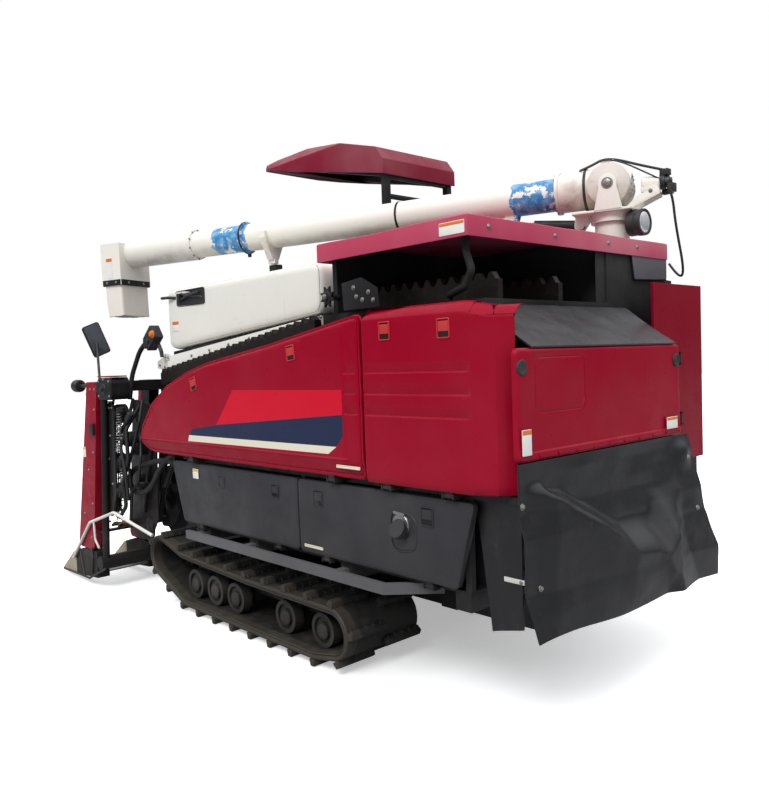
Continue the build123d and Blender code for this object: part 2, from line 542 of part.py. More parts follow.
def side_cover_rear():
    """The red corner cover, folded round the machine's rear left corner."""
    front = COVER_SPLIT_X - COVER_SPLIT_GAP / 2
    y = COVER_FACE_Y
    outline = ((front, y), (-1744, y), (-1835, y - 22), (-1885, y - 82), (-1885 + 30, y - 82),
               (-1822, y - 46), (-1744, y - COVER_DEPTH), (front, y - COVER_DEPTH))
    shape = plan_plate(outline, (COVER_BOTTOM, REAR_COVER_TOP))
    top = plan_plate(((front, y - 6), (-1744, y - 6), (-1830, y - 28), (-1862, y - 82), (front, y - 82)),
                     (REAR_COVER_TOP - 8, REAR_COVER_TOP))
    shape += top
    bevel = end_plate(((y - 45, REAR_COVER_TOP + 1), (y + 1, REAR_COVER_TOP + 1), (y + 1, REAR_COVER_TOP - 45)),
                      (-1900, front + 1))
    shape -= bevel
    hollow = block((-1735, front - 5), (y - COVER_DEPTH - 1, y - COVER_SKIN), (COVER_BOTTOM + 8, REAR_COVER_TOP - 55))
    shape -= hollow
    for wedge in ribs((-1744, front + 1)):
        shape -= wedge
    for piece in latches(REAR_LATCHES, y):
        shape += piece
    for x in COVER_HINGES_X[:2]:
        shape += knuckle_x(x, COVER_HINGE_Y, COVER_HINGE_Z, along_x(COVER_HINGE_Y, 4), (COVER_HINGE_Z, COVER_BOTTOM))
    return shape


def lower_cover(outline, hinges, latch_places):
    """A dark lower cover with its bottom hinges."""
    shape = pan(outline, LOWER_FACE_Y, LOWER_DEPTH, COVER_SKIN, COVER_BEVEL / 2)
    for piece in latches(latch_places, LOWER_FACE_Y):
        shape += piece
    for x in hinges:
        shape += knuckle_x(x, LOWER_HINGE_Y, LOWER_HINGE_Z, along_x(LOWER_HINGE_Y, 4), (LOWER_HINGE_Z, LOWER_BOTTOM))
    return shape


def lower_cover_front():
    """The front lower cover."""
    outline = ((LOWER_SPLIT_X + 4, LOWER_BOTTOM), (LOWER_SPLIT_X + 4, LOWER_TOP), (640, LOWER_TOP), (520, LOWER_BOTTOM))
    return lower_cover(outline, LOWER_HINGES_X[2:], LOWER_LATCHES[:2])


def lower_cover_rear():
    """The rear lower cover with the opening for the fuel filler."""
    outline = ((-1600, LOWER_BOTTOM), (-1700, LOWER_TOP), (LOWER_SPLIT_X - 4, LOWER_TOP), (LOWER_SPLIT_X - 4, LOWER_BOTTOM))
    shape = lower_cover(outline, LOWER_HINGES_X[:2], LOWER_LATCHES[2:])
    window = make_face(Polyline((-1385, LOWER_FACE_Y + 1, 660), (-1385, LOWER_FACE_Y + 1, 790),
                                (-1245, LOWER_FACE_Y + 1, 820), (-1245, LOWER_FACE_Y + 1, 640), close=True))
    window = fillet(window.vertices(), 50)
    return shape - extrude(window, amount=LOWER_DEPTH + 2, dir=(0, -1, 0))


def fuel_tank():
    """The fuel tank behind the lower cover, with its filler neck and cap."""
    tank = block((-1560, -1120), (BODY_LEFT, SIDE_RAIL_Y[1] - 15), (DECK_TOP, 880))
    tank = fillet(tank.edges().filter_by(Axis.Y), 40)
    neck = rod((-1312, 690, 700), (-1312, 762, 736), 32)
    cap = rod((-1312, 762, 736), (-1312, 786, 748), 40)
    return tank + neck + cap


def guard_bar():
    """The flat bar that guards the left track, on brackets from the deck beams."""
    outline = ((395, 788), (395, 812), (-1245, 812), (-1425, 632), (-1408, 615), (-1238, 788))
    shape = plan_plate(outline, (466, 512))
    for x in DECK_BEAMS_X[1:]:
        shape += block(along_x(x, 20), (DECK_Y[1], 788), (476, 502))
    return shape


# Thresher

def thresher_body():
    """The thresher's housing: hollow, open at the back, with the drum's trough open at the top."""
    outline = ((BODY_REAR, DECK_TOP), (BODY_STEP, DECK_TOP), (BODY_STEP, 980), (BODY_FRONT, 1180), (BODY_FRONT, LID_LOW_FRONT - 10),
               (HUMP_REAR, BODY_TOP), (BODY_REAR, BODY_TOP))
    shape = side_plate(outline, (BODY_RIGHT, BODY_LEFT))
    hump = ((HUMP_REAR, BODY_TOP - 160), (BODY_FRONT, LID_LOW_FRONT - 100), (BODY_FRONT, 1700),
            (BODY_FRONT - 90, HUMP_TOP), (HUMP_REAR, HUMP_TOP))
    shape += side_plate(hump, (BODY_RIGHT, HUMP_LEFT))
    shape += block((BODY_REAR, HOUSING_FRONT), (HOUSING_RIGHT, BODY_RIGHT), (DECK_TOP, HOUSING_TOP))
    shape -= rod((DRUM_X[0] - 20, DRUM_Y, DRUM_Z), (DRUM_X[1] + 20, DRUM_Y, DRUM_Z), TROUGH_RADIUS)
    inner_y = (BODY_RIGHT + BODY_WALL, BODY_LEFT - BODY_WALL)
    shape -= block((BODY_REAR - 1, BODY_STEP - BODY_WALL), inner_y, (DECK_TOP + BODY_WALL, 1300))
    shape += block(HOSE_BRACKET_X, (BODY_LEFT - 1, HOSE_BRACKET_Y), HOSE_BRACKET_Z)
    shape += block((BODY_STEP - BODY_WALL, HOSE_BRACKET_X[1]), (BODY_LEFT - BODY_WALL, BODY_LEFT), HOSE_BRACKET_Z)
    return shape


def threshing_drum():
    """The threshing drum with its rows of wire teeth, held in the trough's end walls."""
    shape = rod((DRUM_X[0] - 20, DRUM_Y, DRUM_Z), (DRUM_X[1] + 20, DRUM_Y, DRUM_Z), 30)
    shape += rod((DRUM_X[0], DRUM_Y, DRUM_Z), (DRUM_X[1], DRUM_Y, DRUM_Z), DRUM_RADIUS)
    return shape


def threshing_lid():
    """The white lid over the drum: top, left skirt and end walls."""
    left, right, top, wall = LID_LEFT, LID_RIGHT, LID_TOP, LID_WALL
    outer = ((right, LID_HINGE_Z), (right, top), (left - 30, top), (left, top - 30), (left, LID_LOW_FRONT - 50),
             (right, LID_LOW_FRONT - 50))
    inner = ((right - 1, LID_LOW_FRONT - 60), (right - 1, top - wall), (left - 30 - wall / 2, top - wall),
             (left - wall, top - 30 - wall / 2), (left - wall, LID_LOW_FRONT - 60))
    profile = ((LID_X[0], LID_LOW_FRONT - 60), (LID_X[1], LID_LOW_FRONT - 60), (LID_X[1], top), (LID_X[0], top))
    within = ((LID_X[0] + wall, LID_LOW_FRONT - 90), (LID_X[1] - wall, LID_LOW_FRONT - 90), (LID_X[1] - wall, top - wall), (LID_X[0] + wall, top - wall))
    shape = end_plate(outer, LID_X) & rounded_plate(profile, (right - 1, left + 1), LID_CORNER)
    shape -= end_plate(inner, (LID_X[0] + wall, LID_X[1] - wall)) & rounded_plate(within, (right - 2, left), LID_CORNER - wall)
    below = ((LID_X[0] - 1, LID_LOW_FRONT - 200), (LID_X[1] + 1, LID_LOW_FRONT - 200), (LID_X[1] + 1, LID_LOW_FRONT + 40),
             (LID_X[1] - 50, LID_LOW_FRONT), (LID_X[0] - 1, LID_LOW_REAR))
    shape -= side_plate(below, (right - 2, left + 1))
    pocket_y = (left - RECESS_DEPTH, left + 1)
    shape += block((RECESS_X[0] - RECESS_WALL, RECESS_X[1] + RECESS_WALL), (pocket_y[0] - RECESS_WALL, left - wall),
                   (RECESS_Z[0] - RECESS_WALL, RECESS_Z[1] + RECESS_WALL))
    shape -= block(RECESS_X, pocket_y, RECESS_Z)
    grip_z = (RECESS_Z[0] + RECESS_Z[1]) / 2
    shape += rod((RECESS_X[0] - 1, left - RECESS_DEPTH / 2, grip_z + 18), (RECESS_X[1] + 1, left - RECESS_DEPTH / 2, grip_z - 12), 8)
    for x in LID_HINGES_X:
        shape += knuckle_x(x, LID_HINGE_Y, LID_HINGE_Z, (LID_HINGE_Y, right + 2), (LID_HINGE_Z, LID_TOP - wall / 2))
    return shape


LID_HINGES_X = (-480.0, 700.0)


def lid_hinges():
    """The pins of the threshing lid, on top of the housing."""
    return [
        hinge_ears_x(x, LID_HINGE_Y, LID_HINGE_Z, (HUMP_LEFT - 30, LID_HINGE_Y + HINGE_KNUCKLE),
                     (HUMP_TOP - LID_HINGE_Z, HINGE_KNUCKLE))
        for x in LID_HINGES_X
    ]


def toothed_chain(x, z, low_z, y, step, tooth):
    """A chain seen from the side, with teeth on its upper run, from x[0], z[0] to x[1], z[1]."""
    run, rise = x[1] - x[0], z[1] - z[0]
    count = int(run // step)
    points = [(x[0], z[0] - low_z), (x[0], z[0])]
    for index in range(count):
        for share, height in ((0.15, 0.0), (0.4, tooth), (0.6, tooth), (0.85, 0.0)):
            along = (index + share) / count
            points.append((x[0] + run * along, z[0] + rise * along + height))
    points += [(x[1], z[1]), (x[1], z[1] - low_z)]
    return side_plate(points, y)


def feed_chain():
    """The chain that carries the stalks along the thresher's left side, on its rail."""
    return toothed_chain((-700.0, 850.0), (1630.0, 1400.0), 70.0, (645.0, 685.0), 62.0, 22.0)


def feed_chain_rail():
    """The pale holding rail above the feed chain, with its brackets to the housing."""
    outline = ((-660, 1606), (830, 1386), (830, 1500), (-660, 1650))
    bracket = block((BODY_FRONT - 40, BODY_FRONT + 95), (BODY_LEFT + 12, 633.0), (1428, 1492))
    return side_plate(outline, (BODY_LEFT, 645.0)) + bracket


def rear_hood():
    """The red roof over the straw outlet: a tray turned upside down."""
    left, right, sheet = HOOD_Y[1], HOOD_Y[0], HOOD_SHEET
    rear, front = HOOD_X
    outline = ((front, left), (rear, left), (rear, HOOD_TAIL_RIGHT), (HOOD_TAIL_FRONT, HOOD_TAIL_RIGHT),
               (HOOD_TAIL_FRONT, right), (front, right))
    shape = plan_plate(outline, HOOD_Z)
    face = make_face(Polyline(*[(px, py, HOOD_Z[0] - 1) for px, py in outline], close=True))
    hollow = offset(face, amount=-sheet, kind=Kind.INTERSECTION)
    shape -= extrude(hollow, amount=HOOD_Z[1] - HOOD_Z[0] - sheet + 1, dir=(0, 0, 1))
    return shape


def hood_frame():
    """The black walls and posts that carry the hood."""
    rear, front = HOOD_X
    left, right, sheet = HOOD_Y[1], HOOD_Y[0], HOOD_SHEET
    top = HOOD_Z[1] - sheet
    shape = block((front - 30 - sheet, front - sheet), (BODY_RIGHT, BODY_LEFT), (BODY_TOP, top))
    shape += block((rear + sheet, front - 30 - sheet), (BODY_RIGHT, BODY_RIGHT + sheet), (BODY_TOP, top))
    star_x, star_z = front - 34, BODY_TOP + 75
    shape += rod((star_x, BODY_LEFT - 10, star_z), (star_x, 668, star_z), 12)
    teeth = []
    for tooth in range(16):
        radius = 52.0 if tooth % 2 else 30.0
        teeth.append((star_x + radius * cos(pi * tooth / 8), star_z + radius * sin(pi * tooth / 8)))
    return shape + side_plate(teeth, (652, 662))


def tail_plate():
    """The grey plate that hangs from the hood's tail in front of the auger."""
    rear, sheet = HOOD_X[0], HOOD_SHEET
    outline = ((-500.0, HOOD_Z[1] - sheet - 4), (HOOD_TAIL_RIGHT + sheet, HOOD_Z[1] - sheet - 4), (HOOD_TAIL_RIGHT + sheet, 1785.0), (-540.0, 1772.0))
    return end_plate(outline, (rear + sheet, rear + sheet + 4))


def straw_chain():
    """The toothed chains that carry the straw back under the hood, on the thresher's roof."""
    shapes = []
    for y in (470.0, 60.0):
        shapes.append(toothed_chain((-1640.0, -800.0), (BODY_TOP + 80, BODY_TOP + 80), 80.0, (y, y + 30), 70.0, 30.0))
    return shapes


def guard_pipe():
    """The bent black tube at the open left corner under the hood."""
    top = (HOOD_X[0] + 60, HOOD_Y[1] - 60, HOOD_Z[1] - HOOD_SHEET)
    points = (top, (top[0], top[1], 1840), (-1640, 655, 1760), (-1600, 650, 1700), (-1461, 590, 1680),
              (-1461, 590, BODY_TOP))
    return bent_rod(points, 20, 15)


def rest_post():
    """The black post on the thresher's roof that the boom's fork stands on."""
    return block(along_x(REST_X, 35), along_x(REST_Y - 20, 25), (HUMP_TOP, REST_TOP))


# Straw cutter

def cutter_bracket():
    """Arms from the thresher's rear with the straw cutter's hinge pins."""
    shape = block((BODY_REAR - 12, BODY_REAR), (CUTTER_HINGE_Y - 12, HOUSING_RIGHT + 60), (1060, 1440))
    for z in CUTTER_HINGES_Z:
        for start in (z - HINGE_SPAN / 2, z + HINGE_SPAN / 2 - HINGE_EAR):
            shape += block((CUTTER_HINGE_X - 10, BODY_REAR), (CUTTER_HINGE_Y - 12, CUTTER_HINGE_Y + 9), (start, start + HINGE_EAR))
        shape += rod((CUTTER_HINGE_X, CUTTER_HINGE_Y, z - HINGE_SPAN / 2), (CUTTER_HINGE_X, CUTTER_HINGE_Y, z + HINGE_SPAN / 2),
                     HINGE_PIN)
    return shape


CUTTER_HINGES_Z = (1120.0, 1390.0)


def cutter_panel():
    """The red rear panel of the straw cutter with its hinge barrels."""
    x = (CUTTER_FACE_X, CUTTER_FACE_X + CUTTER_THICK)
    shape = block(x, CUTTER_Y, CUTTER_Z)
    shape = fillet(shape.faces().sort_by(Axis.X)[0].edges(), 8)
    width, deep = GROOVE
    hatch = make_face(Polyline(*[(x[0], py, pz) for py, pz in (
        (HATCH_Y[0], HATCH_Z[0]), (HATCH_Y[1], HATCH_Z[0]), (HATCH_Y[1], HATCH_Z[1]), (HATCH_Y[0], HATCH_Z[1]))], close=True))
    hatch = fillet(hatch.vertices(), HATCH_CORNER)
    shape -= extrude(hatch - offset(hatch, amount=-width), amount=deep, dir=(1, 0, 0))
    radius, stand = CUTTER_CAP
    for y in CUTTER_CAPS_Y:
        cap = rod((x[0] - stand, y, CUTTER_CAP_Z), (x[0] + 1, y, CUTTER_CAP_Z), radius)
        cap -= rod((x[0] - stand - 1, y, CUTTER_CAP_Z), (x[0] - stand / 2, y, CUTTER_CAP_Z), radius - 11)
        shape += cap
    for z in CUTTER_HINGES_Z:
        half = HINGE_SPAN / 2 - HINGE_EAR - 2
        low, high = (CUTTER_HINGE_X, CUTTER_HINGE_Y, z - half), (CUTTER_HINGE_X, CUTTER_HINGE_Y, z + half)
        shape += rod(low, high, HINGE_KNUCKLE)
        shape += block(along_x(CUTTER_HINGE_X, 4), (CUTTER_HINGE_Y, CUTTER_Y[0]), (z - half, z + half))
        shape -= rod((low[0], low[1], low[2] - 1), (high[0], high[1], high[2] + 1), HINGE_PIN + PIN_GAP)
    return shape


def cutter_box():
    """The cutter's black housing, open at the top and bottom, with its two knife shafts."""
    x = (CUTTER_FACE_X + CUTTER_THICK, CUTTER_BOX_X)
    y, z = CUTTER_BOX_Y, CUTTER_BOX_Z
    shape = block(x, y, z) - block((x[0] + 6, x[1] - 6), (y[0] + 6, y[1] - 6), (z[0] - 1, z[1] + 1))
    for px, pz in ((x[0] + 70, 1200), (x[1] - 70, 1240)):
        shape += rod((px, y[0] + 6, pz), (px, y[1] - 6, pz), 40)
    return shape


def cutter_top_sheet():
    """The dark rubber sheet that slopes up from the panel to the straw outlet."""
    front = CUTTER_BOX_X
    outline = ((CUTTER_FACE_X, CUTTER_Z[1] + REST_GAP), (CUTTER_FACE_X + CUTTER_THICK, CUTTER_Z[1] + REST_GAP),
               (front, 1620), (front, 1630))
    return side_plate(outline, (CUTTER_Y[0] + 40, 690))


def rubber_flap_rear():
    """The wide rubber flap that hangs from the straw cutter."""
    top = CUTTER_Z[0] + 25
    face = CUTTER_FACE_X - REST_GAP
    profile = ((face, top), (face - 8, top), (face - 10, 1000), (-2000, 760), (REAR_X, 440), (REAR_X, 405),
               (REAR_X + 14, 405), (REAR_X + 14, 440), (-1988, 765), (face, 1000))
    sheet = side_plate(profile, (-620, 830))
    outline = ((795, top), (-420, top), (-440, 1020), (-609, 520), (-600, 405), (830, 405), (800, 900))
    return sheet & end_plate(outline, (REAR_X - 1, face + 1))


def side_flap():
    """The rubber flap at the rear left corner, hanging from the side rail."""
    outline = ((-1670, SIDE_RAIL_Z[0] - REST_GAP), (-1728, 400), (-1880, 440), (-1880, SIDE_RAIL_Z[0] - REST_GAP))
    return side_plate(outline, (698, 706))


# Grain side

def vertical_auger():
    """The upright auger tube with its gearbox foot."""
    shape = rod((AUGER_X, AUGER_Y, DECK_TOP + 70), (AUGER_X, AUGER_Y, AUGER_TOP), AUGER_RADIUS)
    return shape + block(along_x(AUGER_X, 100), along_x(AUGER_Y, 110), (DECK_TOP, DECK_TOP + 80))


def grain_tank():
    """The grain tank with its sloped hopper floor, hung on two sleeves round the upright auger."""
    mid = (TANK_Y[0] + TANK_Y[1]) / 2
    outline = ((TANK_Y[1], TANK_Z[1]), (TANK_Y[0], TANK_Z[1]), (TANK_Y[0], TANK_Z[0] + TANK_HOPPER), (mid - 60, TANK_Z[0]),
               (mid + 60, TANK_Z[0]), (TANK_Y[1], TANK_Z[0] + TANK_HOPPER))
    shape = end_plate(outline, TANK_X)
    shape = fillet(shape.edges().filter_by(Axis.X).sort_by(Axis.Z)[-2:], 25)
    for x in TANK_RIBS_X:
        shape += block(along_x(x, 22), (TANK_Y[0] - 5, TANK_Y[0] + 1), (TANK_Z[0] + TANK_HOPPER + 30, TANK_Z[1] - 60))
    shape += block((TANK_X[0] + 130, TANK_X[1] - 90), (TANK_Y[0] + 60, TANK_Y[1] - 40), (TANK_Z[1] - 1, TANK_Z[1] + 18))
    for z in (TANK_Z[0] + 280, TANK_Z[1] - 90):
        ring = rod((AUGER_X, AUGER_Y, z), (AUGER_X, AUGER_Y, z + 40), AUGER_RADIUS + 16)
        arm = block((AUGER_X + AUGER_RADIUS, TANK_X[0]), along_x(AUGER_Y, 60), (z, z + 40))
        shape += ring + arm
        shape -= rod((AUGER_X, AUGER_Y, z - 1), (AUGER_X, AUGER_Y, z + 41), AUGER_RADIUS + PIN_GAP)
    return shape


def rear_panel():
    """The red corner panel behind the tank, on its post."""
    x, z = REAR_PANEL_X, REAR_PANEL_Z
    outline = ((x, REAR_PANEL_Y), (x, RIGHT_Y), (REAR_PANEL_FRONT, RIGHT_Y), (REAR_PANEL_FRONT, RIGHT_Y + 12), (x + 12, RIGHT_Y + 12),
               (x + 12, REAR_PANEL_Y))
    shape = plan_plate(outline, z)
    return shape + block((x + 12, x + 22), TAIL_POST_Y, (z[0] + 40, z[1] - 60))


# Unloading boom

BOOM_ROOT = Vector(AUGER_X, AUGER_Y, BOOM_Z)
BOOM_REACH = Vector(SPOUT_X, SPOUT_Y, SPOUT_Z) - BOOM_ROOT
BOOM_SIDE = Vector(0, 0, 1).cross(BOOM_REACH).normalized()
BOOM_PLANE = Plane(origin=BOOM_ROOT, x_dir=BOOM_REACH, z_dir=BOOM_REACH.cross(BOOM_SIDE).normalized())
BOOM_LENGTH = BOOM_REACH.length


def on_boom(shape):
    """A shape given along the boom: x from its root to its spout, y to its left, z up."""
    return BOOM_PLANE * shape


def turret():
    """The turning head: collar, fork cheeks with the luffing pins, and the drive motor behind."""
    low = AUGER_TOP + REST_GAP
    collar = rod((AUGER_X, AUGER_Y, low), (AUGER_X, AUGER_Y, COLLAR_TOP), BOOM_ROOT_RADIUS)
    half = BOOM_ROOT_HALF + MOVE_GAP
    parts = []
    for side in (-1, 1):
        y = sorted((side * half, side * (half + BOOM_CHEEK)))
        parts.append(side_plate(((-230, -60), (-120, -128), (180, -128), (180, -100), (70, 60), (-70, 60), (-230, 60)), y))
        parts.append(rod((0, side * half, 0), (0, side * 40, 0), 25))
    parts.append(block((-230, -125), (-half, half), (-50, 50)))
    plate = block((-110, 180), (-half - BOOM_CHEEK, half + BOOM_CHEEK), (-138, -124))
    parts.append(plate - block((70, 181), (-30, 30), (-139, -123)))
    foot_x, foot_z = RAM_FOOT
    for side in (-1, 1):
        y = sorted((side * 30, side * 42))
        parts.append(side_plate(((100, -138), (180, -138), (foot_x + 22, foot_z - 20), (foot_x - 22, foot_z - 22)), y))
    parts.append(rod((foot_x, -36, foot_z), (foot_x, 36, foot_z), 12))
    head = on_boom(joined(parts))
    lamp_x, lamp_y, lamp_z = HEAD_LAMP
    front = lamp_x + HEAD_LAMP_SIZE[1] / 2
    arm = block((front + REST_GAP, front + 12), along_x(lamp_y, 25), (lamp_z - 25, low + 30))
    return head + collar + arm


def head_lamp():
    """The work lamp on the turning head, which looks back."""
    x, y, z = HEAD_LAMP
    radius, deep = HEAD_LAMP_SIZE
    body = rod((x - deep / 2, y, z), (x + deep / 2 - 8, y, z), radius) + rod((x + deep / 2 - 9, y, z), (x + deep / 2, y, z), radius * 0.6)
    body = fillet(body.edges().sort_by(Axis.X)[-1], 3)
    return body - rod((x - deep / 2 - 1, y, z), (x - deep / 2 + 8, y, z), radius - 8)


def boom_tube():
    """The unloading tube with its root drum, flanges, front sleeve and the fork it rests on."""
    root = rod((0, -BOOM_ROOT_HALF, 0), (0, BOOM_ROOT_HALF, 0), BOOM_ROOT_RADIUS)
    parts = [root, rod((0, 0, 0), (BOOM_LENGTH, 0, 0), BOOM_TUBE_RADIUS)]
    # start, end, radius of each thicker stretch
    for start, end, radius in BOOM_STRETCHES:
        parts.append(rod((start, 0, 0), (end, 0, 0), radius))
    shape = joined(parts)
    shape -= rod((0, -BOOM_ROOT_HALF - 1, 0), (0, -38, 0), 25 + PIN_GAP)
    shape -= rod((0, 38, 0), (0, BOOM_ROOT_HALF + 1, 0), 25 + PIN_GAP)
    eye_x, eye_z = RAM_EYE
    for side in (-1, 1):
        y = sorted((side * 20, side * 30))
        shape += side_plate(((eye_x - 40, -70), (eye_x + 40, -70), (eye_x + 18, eye_z - 18), (eye_x - 18, eye_z - 18)), y)
    return on_boom(shape)


BOOM_STRETCHES = (
    (-45.0, 125.0, 104.0), (-105.0, -44.0, 58.0), (119.0, 127.0, 107.0), (125.0, 262.0, 98.0), (255.0, 272.0, 107.0),
    (2640.0, BOOM_LENGTH, BOOM_SLEEVE_RADIUS), (2240.0, 2256.0, 100.0),
)


def spout():
    """The square spout that turns the grain down."""
    half_x, half_y = 83.0, 140.0
    shape = block((BOOM_LENGTH - half_x, BOOM_LENGTH + half_x), (-half_y, half_y), (-220, 62))
    shape -= block((BOOM_LENGTH - half_x + 6, BOOM_LENGTH + half_x - 6), (-half_y + 6, half_y - 6), (-221, 56))
    shape = shape - rod((0, 0, 0), (BOOM_LENGTH, 0, 0), BOOM_SLEEVE_RADIUS)
    return on_boom(shape)


def spout_chute():
    """The soft chute under the spout."""
    half_x, half_y = 83.0, 140.0
    outer = block((BOOM_LENGTH - half_x + 7, BOOM_LENGTH + half_x - 7), (-half_y + 7, half_y - 7), (-430, -190))
    inner = block((BOOM_LENGTH - half_x + 13, BOOM_LENGTH + half_x - 13), (-half_y + 13, half_y - 13), (-431, -189))
    return on_boom(outer - inner)


def boom_fork():
    """The pale fork under the boom, whose foot stands on the rest post."""
    reach = (Vector(REST_X, REST_Y, BOOM_Z) - BOOM_ROOT).dot(BOOM_REACH.normalized())
    drop = BOOM_Z + (SPOUT_Z - BOOM_Z) * reach / BOOM_LENGTH - REST_TOP - MOVE_GAP
    foot = block(along_x(reach, 25), (-20, 20), (-drop, -drop + 30))
    cradle = block(along_x(reach, 20), (-110, 110), (-drop + 25, 10))
    cradle -= rod((reach - 40, 0, 0), (reach + 40, 0, 0), BOOM_TUBE_RADIUS)
    slope = ((-111, -drop + 20), (-30, -drop + 20), (-111, -30))
    cradle -= end_plate(slope, (reach - 30, reach + 30))
    cradle -= end_plate(tuple((-y, z) for y, z in slope), (reach - 30, reach + 30))
    return on_boom(foot + cradle)


def ram(foot, eye, body, stroke, bore):
    """Barrel and rod of a hydraulic ram in its own plane: x along, z up, at y 0."""
    (fx, fz), (ex, ez) = foot, eye
    length = hypot(ex - fx, ez - fz)
    turn = degrees(atan2(ez - fz, ex - fx))
    place = Pos(fx, 0, fz) * Rot(0, -turn, 0)
    barrel = rod((10, 0, 0), (body, 0, 0), bore + 10) + rod((0, -27, 0), (0, 27, 0), 22)
    barrel -= rod((30, 0, 0), (body + 1, 0, 0), bore + PIN_GAP)
    barrel -= rod((0, -body, 0), (0, body, 0), 12 + PIN_GAP)
    piston = rod((length - stroke - (length - body) - 20, 0, 0), (length - 15, 0, 0), bore)
    piston += rod((length, -16, 0), (length, 16, 0), 18)
    piston -= rod((length, -17, 0), (length, 17, 0), 9)
    return place * barrel, place * piston


# Driver's station

def engine_block():
    """The engine as one plain block, on the deck under the seat."""
    return block(ENGINE_X, ENGINE_Y, (DECK_TOP, ENGINE_TOP))


def engine_cover():
    """The sheet cover over the engine, open at the right for its grille door."""
    x, y = ENGINE_COVER_X, ENGINE_COVER_Y
    shape = block(x, y, (DECK_TOP, ENGINE_COVER_TOP))
    shape -= block((x[0] + SHEET, x[1] - SHEET), (y[0] - 1, y[1] - SHEET), (DECK_TOP - 1, ENGINE_COVER_TOP - SHEET))
    for z in DOOR_HINGES_Z:
        for start in (z - HINGE_SPAN / 2, z + HINGE_SPAN / 2 - HINGE_EAR):
            shape += block((DOOR_HINGE_X - 10, x[1]), (DOOR_HINGE_Y - 9, y[0] + 6), (start, start + HINGE_EAR))
        shape += rod((DOOR_HINGE_X, DOOR_HINGE_Y, z - HINGE_SPAN / 2), (DOOR_HINGE_X, DOOR_HINGE_Y, z + HINGE_SPAN / 2), HINGE_PIN)
    return shape


DOOR_HINGE_X, DOOR_HINGE_Y, DOOR_HINGES_Z = 326.0, -921.0, (640.0, 1020.0)


def engine_door():
    """The grille door in front of the radiator."""
    y = (RIGHT_Y, RIGHT_Y + 16)
    shape = block((ENGINE_COVER_X[0] + 8, DOOR_HINGE_X - 19), y, (560, 1100))
    for row in range(8):
        z = 620 + 52 * row
        shape -= block((-190, 260), (y[0] - 1, y[1] + 1), (z, z + 30))
    for z in DOOR_HINGES_Z:
        half = HINGE_SPAN / 2 - HINGE_EAR - 2
        low, high = (DOOR_HINGE_X, DOOR_HINGE_Y, z - half), (DOOR_HINGE_X, DOOR_HINGE_Y, z + half)
        shape += rod(low, high, HINGE_KNUCKLE) + block((DOOR_HINGE_X - 21, DOOR_HINGE_X), along_x(DOOR_HINGE_Y, 4), (z - half, z + half))
        shape -= rod((low[0], low[1], low[2] - 1), (high[0], high[1], high[2] + 1), HINGE_PIN + PIN_GAP)
    return shape


def operator_floor():
    """The driver's floor with its step, beside the engine cover."""
    return block(FLOOR_X, FLOOR_Y, FLOOR_Z)


def front_panel():
    """The panel in front of the driver with its hand rail."""
    outline = ((880, FLOOR_Z[1]), (935, FLOOR_Z[1]), (950, 900), (940, 1170), (860, 1210), (840, 1190), (895, 1130), (905, 900))
    shape = side_plate(outline, (-895, -330))
    shape = fillet(shape.edges().filter_by(Axis.Y).sort_by(Axis.Z)[-4:], 8)
    rail = bent_rod(((880, -870, 1180), (900, -870, 1330), (900, -360, 1330), (880, -360, 1180)), 50, 14)
    lever = rod((900, -610, 1175), (890, -610, 1290), 10) + Pos(889, -610, 1296) * Sphere(24)
    return shape + rail + lever


def side_console():
    """The console at the driver's left with the instrument hood and levers."""
    outline = ((346, FLOOR_Z[1]), (830, FLOOR_Z[1]), (830, 1050), (740, 1170), (600, 1120), (346, 1080))
    shape = side_plate(outline, (-450, -308))
    for x in (480.0, 560.0, 640.0):
        shape += rod((x, -380, 1080), (x + 20, -380, 1300), 9) + Pos(x + 20, -380, 1300) * Sphere(22)
    return shape


def seat():
    """Seat base, cushion and back, in this order."""
    base = block((-150, 260), (-820, -460), (ENGINE_COVER_TOP, 1200))
    cushion = block((-150, 270), (-830, -450), (1200 + REST_GAP, 1300))
    cushion = fillet(cushion.edges(), 25)
    outline = ((-235, 1320), (-150, 1300 + 20), (-175, 1760), (-240, 1760))
    back = side_plate(outline, (-820, -460))
    back = fillet(back.edges(), 20)
    return base, cushion, back


def seat_frame():
    """The bracket that holds the seat's back."""
    outline = ((-245, ENGINE_COVER_TOP), (-150, ENGINE_COVER_TOP), (-150, 1180), (-205, 1200), (-205, 1319.5), (-245, 1319.5))
    shape = side_plate(outline, (-700, -580))
    for y in (-872, -446):
        arm = block((-105, 130), (y, y + 36), (1395, 1425)) + block((-105, -80), (y, y + 36), (ENGINE_COVER_TOP, 1396))
        shape += arm
    return shape


def canopy_frame():
    """Two posts, their cross bars and the arms under the canopy."""
    half = POST_SIZE / 2
    parts = []
    for y in POST_Y:
        parts.append(block(along_x(POST_X, half), along_x(y, half), (ENGINE_COVER_TOP, POST_TOP)))
        outline = ((POST_X - half, POST_TOP - 60), (POST_X + half, POST_TOP - 60), (820, TOP_Z - 120), (820, TOP_Z - 90),
                   (POST_X + half, POST_TOP))
        parts.append(side_plate(outline, along_x(y, 15)))
    for z in (POST_TOP - 180, POST_TOP - 60):
        parts.append(rod((POST_X, POST_Y[0], z), (POST_X, POST_Y[1], z), 16))
    inner = (CANOPY_Y[0] + CANOPY_SHEET, CANOPY_Y[1] - CANOPY_SHEET)
    for x, z in ((20.0, TOP_Z - 265), (760.0, TOP_Z - 105)):
        parts.append(rod((x, inner[0], z), (x, inner[1], z), 12))
    return joined(parts)


